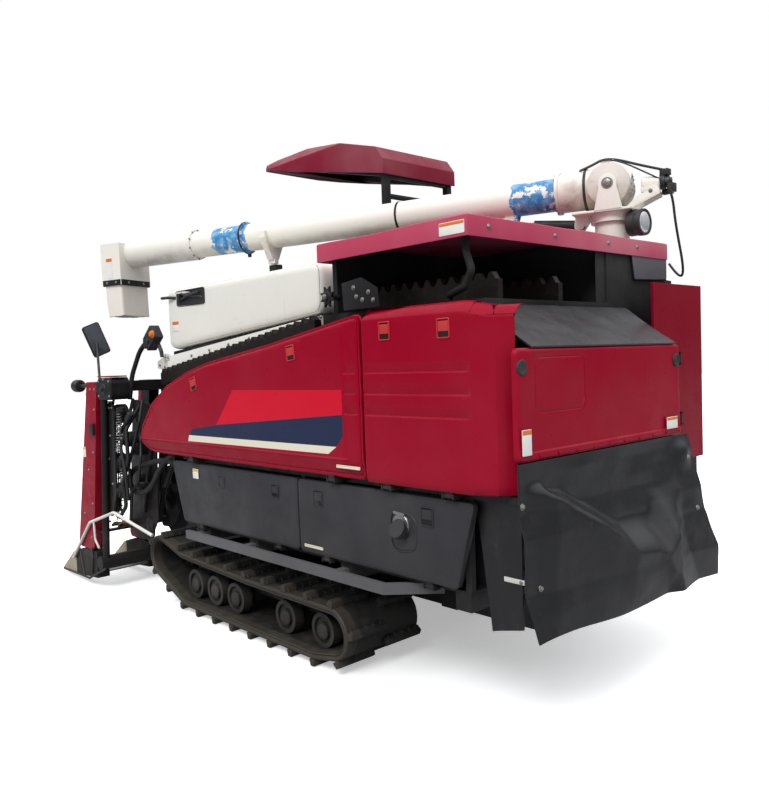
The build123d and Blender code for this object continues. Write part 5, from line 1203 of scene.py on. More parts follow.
def stepped(z):
    """How far the ribs lie in, at these heights."""
    deep = 0.0 * z
    for top, foot in RIBS:
        fall = np.clip((top - z) / (top - foot - RIB_LIP), 0, 1) * np.clip((z - foot) / RIB_LIP, 0, 1)
        deep += fall * sizes().rib_depth / MM
    return deep


FRONT_OUTLINE = (
    (-1139, 925), (-1139, 1633), (-459, 1528), (110, 1455), (319, 1412), (573, 1333), (774, 1225), (909, 1089),
    (935, 1020), (930, 975), (859, 938), (780, 925),
)
CREASE_Z, CREASE_X = 1008, -1022
BEAD_HEIGHT, BEAD_HALF = 5, 9
CREASE_LINES = tuple(CREASE_Z + rise for rise in (-20, -12, -9, -6, -3, 0, 3, 6, 9, 12))


def front_cover_relief(u, v):
    """The fold along the bottom and up the rear, the ribs behind it and a few dents."""
    fold = -np.clip(CREASE_Z - v - 6, 0, 60) * 0.3
    bead = np.clip(1 - np.abs(v - CREASE_Z) / BEAD_HALF, 0, 1) * np.clip((u - CREASE_X + 30) / 8, 0, 1)
    fold = fold + BEAD_HEIGHT * bead * bead * (3 - 2 * bead)
    behind = np.clip(CREASE_X - u, 0, 8) / 8
    return fold - behind * (3 + stepped(v)) + uneven(u, v, 260, 2.5, 3) * (1 - behind)


def latch(form, u, v, face, tilt, scale=1.0):
    """A sprung latch in a frame on a face, its lower half an open finger hole, from two finishes; the second is painted
    shade in its slot and finger hole.
    """
    wide, tall = sizes().latch_width / MM * scale / 2, sizes().latch_height / MM * scale / 2
    turn = Matrix.Rotation(tilt, 2)

    def at(a, b, w):
        moved = turn @ Vector((a, b))
        return side(u + moved.x, v + moved.y, w)

    rim = rounded(rect(-wide, -tall, wide, tall), 7)
    hole = drawn_in(rim, 5)
    levels = ((rim, -2), (rim, 3), (drawn_in(rim, 1.5), 4.5), (drawn_in(rim, 4), 4.5), (hole, 3), (hole, -1))
    form.rows([[at(a, b, face + rise) for a, b in loop] for loop, rise in levels])
    reach = wide - 7
    form.prism(rect(-reach, -tall * 0.3, reach, tall * 0.72), at, (face - 0.5, face + 3.4), 1.2)
    # The slot above the plate and the floor of the finger hole take the second finish: painted shade.
    for low, high in ((-tall + 7, -tall * 0.36), (tall * 0.76, tall - 7)):
        form.prism(rect(-reach, low, reach, high), at, (face - 1, face + 0.6), 0, 1)


def hinges(name, places, body, y, z, across, up):
    """The hinges of one cover: barrels on its pin and leaves with these limits."""
    form = Form()
    for x in places:
        form.rod((x - HINGE_HALF, y, z), (x + HINGE_HALF, y, z), 8, 1)
        form.box((x - HINGE_HALF, x + HINGE_HALF), across, up, 1)
    form.build(name, "black", body)


class HARVESTER_OT_covers(bpy.types.Operator):
    """The red and charcoal covers of the left side, with their latches."""

    bl_idname = "harvester.covers"
    bl_label = "Side covers"

    def execute(self, context):
        self.front()
        self.rear()
        self.lower()
        return {"FINISHED"}

    def front(self):
        """The front cover, ribbed behind its crease."""
        outline = rounded(FRONT_OUTLINE, 45)
        lines = ((CREASE_X, CREASE_X - 8), (*CREASE_LINES, *RIB_LINES))
        form = Form().panel(outline, side, UPPER_FACE, BEVEL_EDGE, front_cover_relief, lines=lines)
        form.build("front_cover", "banded", "side_cover_front", "side_cover_front", "red_paint")
        latches = Form()
        latch(latches, 249, 1338, UPPER_FACE, -0.28)
        latch(latches, -659, 1478, UPPER_FACE, -0.13)
        latches.build("front_cover_latches", ["latch", "void"], "side_cover_front")
        hinges("front_cover_hinges", (-900, 350), "side_cover_front", *UPPER_HINGE)

    def rear(self):
        """The rear cover, whose wall turns the machine's corner."""
        path = rounded(((-1151, 772), (-1151, 801), (-1744, 801), (-1838, 778), (-1884, 722)), 14, closed=False)
        path = np.array(divided(path, 30, closed=False))
        ahead = np.gradient(path, axis=0)
        ahead /= np.linalg.norm(ahead, axis=1)[:, None]
        inward = np.stack((-ahead[:, 1], ahead[:, 0]), 1)
        inward[0], inward[-1] = (-1, 0), (0, -1)
        face = np.clip((path[:, 0] + 1744) / 6, 0, 1) * np.clip((-1158 - path[:, 0]) / 4, 0, 1)
        corner = np.clip((-1700 - path[:, 0]) / 120, 0, 1)
        levels = [(925, 26), (930, 14), (948, 4), (962, 0)]
        levels += [(z, 0) for z in sorted({*range(980, 1580, 26), *RIB_LINES})]
        levels += [(1594, 0), (1600, 1.5), (1628, 27), (1636, 36), (1639, 48), (1640, 72)]

        def row(z, inset, extra=0):
            """The wall's line at a height: the lower edge turns in most at the rear corner, and the top falls there."""
            turned_in = inset * (0.35 + 0.65 * corner) if z <= 1000 else inset + 0 * corner
            waves = uneven(path[:, 0], path[:, 0] * 0 + z, 240, 2, 8) * (925 < z < 1600)
            moved = path + inward * turned_in[..., None]
            moved = moved + inward * (stepped(z) * face + extra - waves * 0.5)[:, None]
            drop = 26 * corner if z > 1590 else 0 * corner
            return [(x, y, z - d) for (x, y), d in zip(moved, drop)]

        form = Form().rows([row(z, inset) + row(z, inset, 5)[::-1] for z, inset in levels])
        form.build("rear_cover", "red", "side_cover_rear", "side_cover_rear", "red_paint")
        latches = Form()
        latch(latches, -1298, 1546, UPPER_FACE, 0, 1.05)
        latch(latches, -1619, 1540, UPPER_FACE, 0, 1.05)
        latches.build("rear_cover_latches", ["latch", "void"], "side_cover_rear")
        hinges("rear_cover_hinges", (-1600, -1260), "side_cover_rear", *UPPER_HINGE)

    def lower(self):
        """The two charcoal covers; the rear one leaves a window for the tank's cap."""
        finishes, relief = ["charcoal", "void"], dents(220, 2.5, 5)
        front = rounded(((-596, 540), (-596, 885), (640, 885), (520, 540)), 22)
        form = Form().panel(front, side, LOWER_FACE, SOFT_EDGE, relief)
        for u in (83, -413):
            latch(form, u, 806, LOWER_FACE, 0, 0.95)
        form.build("lower_front_cover", finishes, "lower_cover_front", "lower_cover_front", "dark_paint")
        rear = rounded(((-1600, 540), (-1700, 885), (-604, 885), (-604, 540)), 22)
        window = rounded(((-1385, 660), (-1385, 790), (-1245, 820), (-1245, 640)), 50)
        form = Form().panel(rear, side, LOWER_FACE, SOFT_EDGE, relief, holes=(window,))
        for u in (-756, -1452):
            latch(form, u, 806, LOWER_FACE, 0, 1.1)
        levels = ((-7, 748), (-7, 751), (-5, 753), (-1, 753), (0, 750), (0, 744))
        form.rows([[side(u, v, w) for u, v in (drawn_in(window, inset) if inset else window)] for inset, w in levels])
        form.build("lower_rear_cover", finishes, "lower_cover_rear", "lower_cover_rear", "dark_paint")
        hinges("lower_front_hinges", (-420, 330), "lower_cover_front", *LOWER_HINGE)
        hinges("lower_rear_hinges", (-1450, -800), "lower_cover_rear", *LOWER_HINGE)


# Straw cutter

HATCH = rect(355, 1223, 669, 1421)
HATCH_LINES = tuple(tuple(at + off for at in pair for off in (0, -3, 3)) for pair in ((355, 669), (1223, 1421)))
LIP_TOP = 1088
CUTTER_FACE = -1930


def cutter_relief(u, v):
    """The hatch's groove, the folded lip at the bottom and dents."""
    hatch = np.array(rounded(HATCH, 28))
    groove = np.clip(1 - clearance(np.stack((u, v), 1), hatch) / 3.5, 0, 1) * 3
    lip = np.clip((LIP_TOP - v) / 5, 0, 1) * 6
    return lip - groove + uneven(u, v, 200, 3, 1)


class HARVESTER_OT_cutter(bpy.types.Operator):
    """The straw cutter's red panel and the rubber sheets round it."""

    bl_idname = "harvester.cutter"
    bl_label = "Straw cutter"

    def execute(self, context):
        outline = rounded(((-410, 1051), (-410, 1455), (776, 1455), (776, 1051)), 30)
        edge = ((0, 22), (0, 14), (2, 7), (6, 2.5), (12, 0))
        lines = (HATCH_LINES[0], (LIP_TOP - 6, LIP_TOP, *HATCH_LINES[1]))
        form = Form().panel(outline, end, CUTTER_FACE, edge, cutter_relief, lines=lines, step=20, outward=-1)
        for u in range(-380, 760, 115):
            form.turned(end(u, 1069, -1935), end(u, 1069, -1940), ((0, 6.5), (3, 6), (4.5, 3.5)), 12)
        for z in (1120, 1390):
            form.rod((-1920, -425, z - 20), (-1920, -425, z + 20), 8, 1, slot=1)
            form.box((-1924, -1916), (-425, -408), (z - 20, z + 20), 1, 1)
        form.build("cutter_rear_panel", ["red", "black"], "straw_cutter", "cutter_panel", "red_paint")
        caps = Form()
        profile = ((0, 29), (4, 29), (7, 26), (7.5, 20), (5.5, 17), (5.5, 0.5))
        for u, v in ((745, 1386), (-372, 1382)):
            caps.turned(end(u, v, -1928), end(u, v, -1940), profile, 28)
        caps.build("cutter_caps", "plastic", "straw_cutter")
        self.sheets()
        return {"FINISHED"}

    def sheets(self):
        """The crumpled flap, the corner flap and the sheet up to the straw outlet."""
        flap = surface(92, 76, flap_point)
        sheet_piece("rubber_flap", flap, "straw_cutter", "rubber_flap_rear", "hung", "cutter_rear_panel",
                    sizes().sheet / MM)
        flap_bolts(flap)
        sheet_piece("corner_flap", surface(16, 36, corner_point), "chassis", "side_flap", "hung", "deck", 8)
        sheet_piece("outlet_sheet", surface(60, 40, outlet_point), "straw_cutter", "cutter_top_sheet", "stretched",
                    "cutter_rear_panel", 7)


def surface(columns, lines, point):
    """A grid of places, from a function of the shares across and down."""
    return np.array([[point(column / (columns - 1), line / (lines - 1)) for column in range(columns)]
                     for line in range(lines)])


def corner_point(s, t):
    """The corner flap's middle surface."""
    front, rear = -1670 - 58 * t, -1880
    wave = 7 * sin(3.4 * s + 2.0 * t) * t + 3 * noise.noise(Vector((3 * s, 4 * t, 7)))
    return rear + (front - rear) * s, 702 + wave * 0.8, 892.5 + (418 - 892.5) * t + 40 * t * (0.5 - s)


def outlet_point(s, t):
    """The outlet sheet's middle surface, with its sag."""
    sag = -9 * sin(pi * t) * (0.6 + 0.4 * noise.noise(Vector((4 * s, 0, 2))))
    ripple = 2.5 * noise.noise(Vector((9 * s, 3 * t, 5))) * sin(pi * t)
    return -1931 + 240 * t, -370 + 1060 * s, 1457 + 170 * t + sag + ripple


# Where the rear flap hangs, how far out it may bulge and where its bolts are, out and up
FLAP_FACE, FLAP_REACH = -1938, 158
FLAP_BOLTS = ((772, 908), (722, 616), (-374, 950), (-378, 736))


def flap_point(s, t):
    """The rear flap's middle surface: s from its left edge to its right one, t from its top down."""
    y = 792 - 1226 * s - 12 * s * t
    z = 1052 - t * (1052 - 434) + 9 * t * sin(9 * s + 0.6)
    left = np.interp(z, (434, 441, 522, 593, 674, 796, 880, 1050), (76, 73, 47, 20, 22, 22, 0, 0))
    right = np.interp(z, (430, 460, 563, 639, 721, 823, 954, 1048), (132, 133, 133, 104, 72, 60, 20, 3))
    out = left + (right - left) * s ** 1.3
    upper = np.interp(s, (0, 0.09, 0.16, 0.26, 0.36, 0.46, 0.62, 0.7, 1),
                      (0.11, 0.11, 0.16, 0.25, 0.36, 0.43, 0.44, 0.36, 0.34))
    edge = np.interp(s, (0, 0.09, 0.21, 0.35, 0.45, 0.57, 0.65, 0.72, 1),
                     (0.18, 0.19, 0.33, 0.5, 0.64, 0.68, 0.76, 0.6, 0.5))
    height = np.interp(s, (0, 0.04, 0.11, 0.36, 0.63, 0.71, 0.82, 1), (0, 10, 62, 92, 88, 50, 10, 0))
    share = np.clip((t - upper) / (edge - upper), 0, 1)
    rise = share * share * (3 - 2 * share) if t < edge else 1 - 0.98 * np.clip((t - edge) / (1 - edge), 0, 1)
    crease = np.interp(t, (0, 0.39, 0.75, 1), (0.72, 0.71, 0.66, 0.72))
    away = s - crease
    ridge = 40 * np.clip((t - 0.32) * 4, 0, 1) * max(0.0, 1 - abs(away) / (0.05 if away < 0 else 0.15))
    pinch = -20 * np.exp(-((s - 0.13) / 0.035) ** 2 - ((t - 0.17) / 0.03) ** 2)
    tuck = 22 * np.exp(-((s - 0.93) / 0.05) ** 2 - ((t - 0.12) / 0.1) ** 2)
    soft = 8 * noise.noise(Vector((3.2 * s, 2.6 * t, 1.5))) + 3.5 * noise.noise(Vector((9 * s, 8 * t, 4.0)))
    hold = np.clip(t / 0.08, 0, 1)
    lift = out + hold * (height * rise + ridge + pinch + tuck + soft)
    return FLAP_FACE - max(0.0, min(FLAP_REACH, lift)), y, z


def flap_bolts(grid):
    """The bolts of the rear flap."""
    form = Form()
    flat = grid.reshape(-1, 3)
    for y, z in FLAP_BOLTS:
        near = flat[np.argmin((flat[:, 1] - y) ** 2 + (flat[:, 2] - z) ** 2)]
        form.bolt(Vector(near) - Vector((3, 0, 0)), (-1, 0, 0.05), 8.5, 7)
    form.build("flap_bolts", "steel", "straw_cutter")


def sheet_piece(name, middle, body, replaces, held, rests_on, thick):
    """A rubber sheet with thickness from the grid of its middle surface."""
    ahead, down = np.gradient(middle, axis=1), np.gradient(middle, axis=0)
    normal = np.cross(ahead, down)
    normal /= np.linalg.norm(normal, axis=2)[..., None]
    front, back = middle + normal * thick / 2, middle - normal * thick / 2
    lines, columns = middle.shape[:2]
    form = Form().rows(np.concatenate((front, back[:, ::-1]), 1), caps=False)
    for line in (0, lines - 1):
        base = line * 2 * columns
        for column in range(columns - 1):
            a, b = base + column, base + 2 * columns - 2 - column
            form.faces.append((a, a + 1, b, b + 1))
            form.slots.append(0)
    piece = form.build(name, "flap", body, replaces, "flap_rubber", 50.0)
    wide = np.linalg.norm(np.diff(middle, axis=1), axis=2).sum(1)
    tall = np.linalg.norm(np.diff(middle, axis=0), axis=2).sum(0)
    cross = np.cross(middle[1:, :-1] - middle[:-1, :-1], middle[:-1, 1:] - middle[:-1, :-1])
    area = float(np.linalg.norm(cross, axis=2).sum()) * MM * MM
    flat = (float(wide.max()) * MM, float(tall.max()) * MM)
    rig.sheet(piece, flat=flat, held=held, rests_on=[rests_on], area=min(area, flat[0] * flat[1]))


# Thresher

LID_FACE, ROOF_TOP = 619, 1969


class HARVESTER_OT_lid(bpy.types.Operator):
    """The white threshing lid with its recess, handle and hinges."""

    bl_idname = "harvester.lid"
    bl_label = "Threshing lid"

    def execute(self, context):
        outline = rounded(((-661, 1668), (-661, 1911), (853, 1911), (853, 1572), (812, 1541)), 60)
        recess = rounded(((402, 1798), (402, 1884), (728, 1884), (728, 1798)), 14)
        edge = ((0, 470), (0, 40), (3, 24), (12, 9), (24, 2.5), (40, 0))
        form = Form().panel(outline, side, LID_FACE, edge, dents(300, 4, 2), skin=10, step=30, holes=(recess,))
        rim, lip = drawn_in(recess, -5), drawn_in(recess, -1)
        levels = ((rim, LID_FACE - 1), (rim, LID_FACE + 2.5), (lip, LID_FACE + 2.5), (recess, 612), (recess, 590))
        form.rows([[side(u, v, w) for u, v in loop] for loop, w in levels], 1)
        form.build("lid_shell", ["white", "plastic"], "threshing_lid", "threshing_lid", "white_paint")
        handle = Form()
        handle.tube(((415, 603, 1822), (440, 622, 1836), (600, 636, 1858), (700, 606, 1876)), 8, 14)
        handle.tube(((712, 606, 1822), (690, 622, 1830), (560, 640, 1852), (440, 632, 1862)), 7, 14)
        handle.box((660, 690), (596, 640), (1826, 1872), 4)
        handle.tube(((730, 622, 1850), (790, 640, 1856), (862, 646, 1858)), 9, 10)
        handle.prism(rect(404, 1800, 726, 1882), side, (588, 592), 0)
        handle.build("lid_handle", "plastic", "threshing_lid")
        hinges("lid_hinges", (-480, 700), "threshing_lid", *LID_HINGE)
        return {"FINISHED"}


class HARVESTER_OT_hood(bpy.types.Operator):
    """The red hood over the straw outlet."""

    bl_idname = "harvester.hood"
    bl_label = "Hood"

    def execute(self, context):
        outline = ((-735, 688), (-1651, 688), (-1651, -865), (-1575, -865), (-1575, -415), (-735, -415))
        edge = ((0, 82), (0, 8), (2, 3), (8, 0))
        form = Form().panel(rounded(outline, 12), plan, ROOF_TOP, edge, dents(320, 5, 6), skin=7, step=45)
        for y in (-300, -560, 120, 560):
            form.bolt((-1651, y, 1930), (-1, 0, 0), 7, 5, 1)
        form.build("hood_roof", ["hood_red", "steel"], "chassis", "rear_hood", "red_paint")
        return {"FINISHED"}


# Edges flatter than the first angle go, and those sharper than the second one are rounded by this many metres
FLAT_EDGE, SHARP_EDGE, CANOPY_ROUND = radians(2), radians(9), 0.022


class HARVESTER_OT_canopy(bpy.types.Operator):
    """The sun canopy, with the edges of its pressed sheet rounded."""

    bl_idname = "harvester.canopy"
    bl_label = "Canopy"

    def execute(self, context):
        source = NODES["canopy_shell"].data.copy()
        edit = bmesh.new()
        edit.from_mesh(source)
        bmesh.ops.remove_doubles(edit, verts=edit.verts, dist=0.0002)
        flat = [e for e in edit.edges if len(e.link_faces) == 2 and e.calc_face_angle(0) < FLAT_EDGE]
        bmesh.ops.dissolve_edges(edit, edges=flat, use_verts=False)
        sharp = [e for e in edit.edges if len(e.link_faces) == 2 and e.calc_face_angle_signed(0) > SHARP_EDGE]
        bmesh.ops.bevel(
            edit, geom=sharp, offset=CANOPY_ROUND, segments=4, affect="EDGES", profile=0.55, clamp_overlap=True
        )
        bmesh.ops.recalc_face_normals(edit, faces=edit.faces)
        bmesh.ops.triangulate(edit, faces=edit.faces)
        edit.to_mesh(source)
        edit.free()
        source.materials.clear()
        source.materials.append(MATERIALS["faded_red"])
        finished("canopy_roof", source, "chassis", "canopy_shell", "red_plastic", 30.0)
        return {"FINISHED"}


# Tracks

# Each belt's middle across the machine, then the half width, thickness and lug pitch of both
TRACKS = {"left": 545, "right": -585}
BELT_HALF, BELT_THICK, LUG_PITCH = 225, 33, 180
# What a belt lies round: along, up, and the wheel's radius, or 0 where the belt only bends
BELT_WHEELS = ((-825, 190, 91), (-678, 155, 85), (523, 155, 85), (815, 285, 95), (560, 315, 0), (-130, 287, 0))
ROLLERS, ROLLER_HEIGHT = (523, 306, 91, -375, -678), 147


def belt_path(outside):
    """An outline laid round the wheels, this far outside them."""
    circles = [(x, z, r + outside) if r else (x, z + outside, 0) for x, z, r in BELT_WHEELS]
    points, runs = [], []
    for index, (ax, az, ar) in enumerate(circles):
        bx, bz, br = circles[(index + 1) % len(circles)]
        runs.append(atan2(bz - az, bx - ax) - np.arccos((ar - br) / hypot(bx - ax, bz - az)))
    for index, (cx, cz, radius) in enumerate(circles):
        turn = (runs[index] - runs[index - 1]) % (2 * pi)
        steps = max(2, int(turn / radians(6))) if radius else 1
        turns = [runs[index - 1] + turn * step / steps for step in range(steps + (radius > 0))]
        points += [(cx + radius * cos(at), cz + radius * sin(at)) for at in turns]
    return points


class HARVESTER_OT_tracks(bpy.types.Operator):
    """The rubber belts with their lugs and guide humps."""

    bl_idname = "harvester.tracks"
    bl_label = "Tracks"

    def execute(self, context):
        for name, centre in TRACKS.items():
            lugs = self.belt(name, centre)
            self.hubs(name, centre)
            self.humps(name, centre, 2 * lugs)
        return {"FINISHED"}

    def belt(self, name, centre):
        """The belt and its two staggered rows of lugs; gives back how many one row has."""
        half, thick = BELT_HALF, BELT_THICK
        edge = ((half - 8, 0.8), (half - 4, 5), (half - 9, thick - 22), (half, thick - 16), (half, thick - 6),
                (half - 6, thick))
        section = [*((-y, deep) for y, deep in reversed(edge)), *edge]
        rows = list(zip(*([(x, centre + y, z) for x, z in belt_path(deep)] for y, deep in section), strict=True))
        form = Form().rows(rows + rows[:1], caps=False)
        form.build("belt_" + name, "belt", "chassis", "track_" + name, "belt_rubber")
        outline = belt_path(thick)
        length = sum(hypot(b[0] - a[0], b[1] - a[1]) for a, b in zip(outline, outline[1:] + outline[:1]))
        count = round(length / LUG_PITCH)
        start = divided(outline, 8)
        for phase, low, high in ((0, 2, half), (1, -half, -2)):
            shift = int(round(phase * len(start) / count / 2))
            path = [(x, centre, z) for x, z in start[shift:] + start[:shift]]
            repeated(lug_form(low, high), path, count, f"lugs_{name}_{phase}", "belt", "chassis")
        return count

    def humps(self, name, centre, count):
        """The guide humps on the belt's inside."""
        hump = Form()
        for y in (-44, 44):
            hump.prism(((-22, 0), (22, 0), (9, -30), (-9, -30)), side, (y - 13, y + 13), 3)
        repeated(hump, [(x, centre, z) for x, z in belt_path(2)], count, "humps_" + name, "belt", "chassis")

    def hubs(self, name, centre):
        """The rollers' outer hubs with their bolts."""
        form, out = Form(), 1 if centre > 0 else -1
        face, z = centre + out * 150, ROLLER_HEIGHT
        for x in ROLLERS:
            form.turned((x, face, z), (x, face + out, z), ((-4, 40), (3, 40), (6, 36), (9, 30), (11, 14)), 28)
            for across, up in circle(55, 6):
                form.bolt((x + across, face - out * 18, z + up), (0, out, 0), 6, 5)
        form.build("roller_hubs_" + name, "wheel", "chassis")


def lug_form(low, high):
    """One lug of the belt: a bar with sloped flanks and ribs down them."""
    form = Form().prism(((-21, 0), (21, 0), (13, -34), (-13, -34)), side, (low, high), 3.5)
    for y in np.linspace(low + 22, high - 22, 5):
        form.prism(((-27, 0), (27, 0), (16, -22), (-16, -22)), side, (y - 5, y + 5), 2)
    return form


# Cords

def nurbs(name, points, radius):
    """A hose's curve through the route's points, in millimetres."""
    curve = bpy.data.curves.new(name, "CURVE")
    curve.dimensions = "3D"
    spline = curve.splines.new("NURBS")
    spline.points.add(len(points) - 1)
    for point, place in zip(spline.points, points):
        point.co = (*(Vector(place) * MM), 1.0)
    spline.order_u = 3
    spline.use_endpoint_u = True
    spline.resolution_u = 16
    piece = placed_object(name, curve)
    path = [tuple(vertex.co) for vertex in evaluated_mesh(piece).vertices]
    curve.bevel_depth = radius * MM
    curve.bevel_resolution = 6
    curve.use_fill_caps = True
    return piece, path, sum((Vector(b) - Vector(a)).length for a, b in zip(path, path[1:]))


# Free leads, as widths and routes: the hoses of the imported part, and a cable that it lacks
HEADER_HOSE = 30, ((1040, 672, 1598), (1125, 676, 1560), (1185, 686, 1463), (1214.7, 708, 1370), (1214.7, 722, 1235))
LOOP_HOSE = 34, (
    (690.3, 702, 903), (745, 702, 903), (825, 735, 820), (930, 745, 690), (1105, 748, 628), (1250, 748, 690),
    (1195, 742, 790), (1000, 728, 835), (860, 712, 866), (745, 702, 863), (690.3, 702, 863),
)
HEAD_CABLE = 12, (
    (-1738, -706, 2226), (-1756, -714, 2180), (-1752, -748, 2040), (-1750, -838, 1815), (-1712, -858, 1786),
    (-1657, -862, 1866),
)


def swinging_lead(name, wide, points, first, second):
    """A lead between two bodies that turn against each other."""
    curve, path, length = nurbs(name + "_curve", points, wide / 2)
    mesh = evaluated_mesh(curve)
    bpy.data.objects.remove(curve)
    mesh.name = name
    mesh.materials.clear()
    mesh.materials.append(MATERIALS["hose"])
    mesh.shade_smooth()
    lead = placed_object(name, mesh)
    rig.blend(lead, first, second, path[0], path[-1])
    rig.cord(lead, exit=path[0], length=length, diameter=wide * MM, far_end="object", lay="hanging", path=path)


class HARVESTER_OT_cords(bpy.types.Operator):
    """The free hoses and the cable at the turning head."""

    bl_idname = "harvester.cords"
    bl_label = "Hoses and cable"

    def execute(self, context):
        for name, (wide, points), body in (("header", HEADER_HOSE, "header"), ("loop", LOOP_HOSE, "chassis")):
            piece, path, length = nurbs(name + "_line", points, wide / 2)
            piece.data.materials.append(MATERIALS["hose"])
            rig.ride(piece, body)
            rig.replaces(piece, name + "_hose")
            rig.slot(piece, "hose_rubber")
            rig.cord(piece, exit=path[0], length=length, diameter=wide * MM, far_end="object", stiffness="stiff",
                    lay="loose")
        swinging_lead("head_line", *HEAD_CABLE, "turret", "chassis")
        return {"FINISHED"}


# Blank plates: name, body, where the face lies, lowest and highest corner, height and finish of the coloured head
PLATES = (
    ("cutter_plate_left", "straw_cutter", -1938.6, (712, 1078, 766, 1170), 18, 1),
    ("cutter_plate_right", "straw_cutter", -1938.6, (-358, 1084, -262, 1136), 14, 1),
    ("hood_plate", "chassis", 688.5, (-1640, 1898, -1510, 1948), 14, 1),
    ("lid_plate", "threshing_lid", 621.5, (706, 1650, 788, 1712), 22, 1),
    ("case_plate", "header", 905.5, (1520, 862, 1570, 930), 16, 2),
    ("front_strip", "side_cover_front", 799.0, (-1118, 970, -960, 984), 5, 2),
    ("tank_plate", "lower_cover_front", 750.6, (330, 800, 392, 856), 16, 2),
    ("low_strip", "lower_cover_rear", 750.6, (-780, 566, -640, 580), 6, 2),
)


class HARVESTER_OT_plates(bpy.types.Operator):
    """Blank plates in the places of the photographed ones."""

    bl_idname = "harvester.plates"
    bl_label = "Blank plates"

    def execute(self, context):
        for name, body, face, (u0, v0, u1, v1), head, finish in PLATES:
            place, out = (end, -1) if body == "straw_cutter" else (side, 1)
            form = Form().prism(rounded(rect(u0, v0, u1, v1), 4), place, (face, face + out * 1.6), 0.3)
            band = rect(u0 + 2, v1 - head, u1 - 2, v1 - 2)
            form.prism(band, place, (face + out * 0.8, face + out * 2.0), 0.2, finish)
            form.build(name, ["label", "orange", "yellow"], body)
        return {"FINISHED"}


# Unloading tube

BOOM_AXIS = (Vector(BOOM_TIP) - Vector(BOOM_ROOT)).normalized()
BOOM_LENGTH = (Vector(BOOM_TIP) - Vector(BOOM_ROOT)).length / MM
BOOM_SIDE = Vector((0, 0, 1)).cross(BOOM_AXIS).normalized()
BOOM_UP = BOOM_AXIS.cross(BOOM_SIDE)


def boom(along, out, up):
    """A place by the unloading tube: along it, to its left and up."""
    return Vector(BOOM_ROOT) / MM + BOOM_AXIS * along + BOOM_SIDE * out + BOOM_UP * up


# Plates of the turning head, seen from the left: the ram's bracket and the motor's arm
RAM_BRACKET = ((100, -136), (180, -136), (187, -190), (178, -198), (152, -200), (143, -194))
MOTOR_ARM = ((30, -136), (-60, -130), (-140, -62), (-236, -42), (-240, -70), (-150, -108), (-90, -138))
# Leads from the tube to its turning head, as widths and routes
TUBE_LEADS = {
    "thick_lead": (13, ((150, 20, 103), (90, 30, 118), (30, 40, 140), (-40, 40, 128), (-150, 30, 84), (-262, 8, 48))),
    "thin_lead": (8, ((150, 44, 96), (80, 50, 112), (24, 56, 136), (-60, 56, 112), (-180, 40, 40), (-290, 26, -28))),
}
LAMP_OUT, LAMP_HEIGHT = -667, 2063


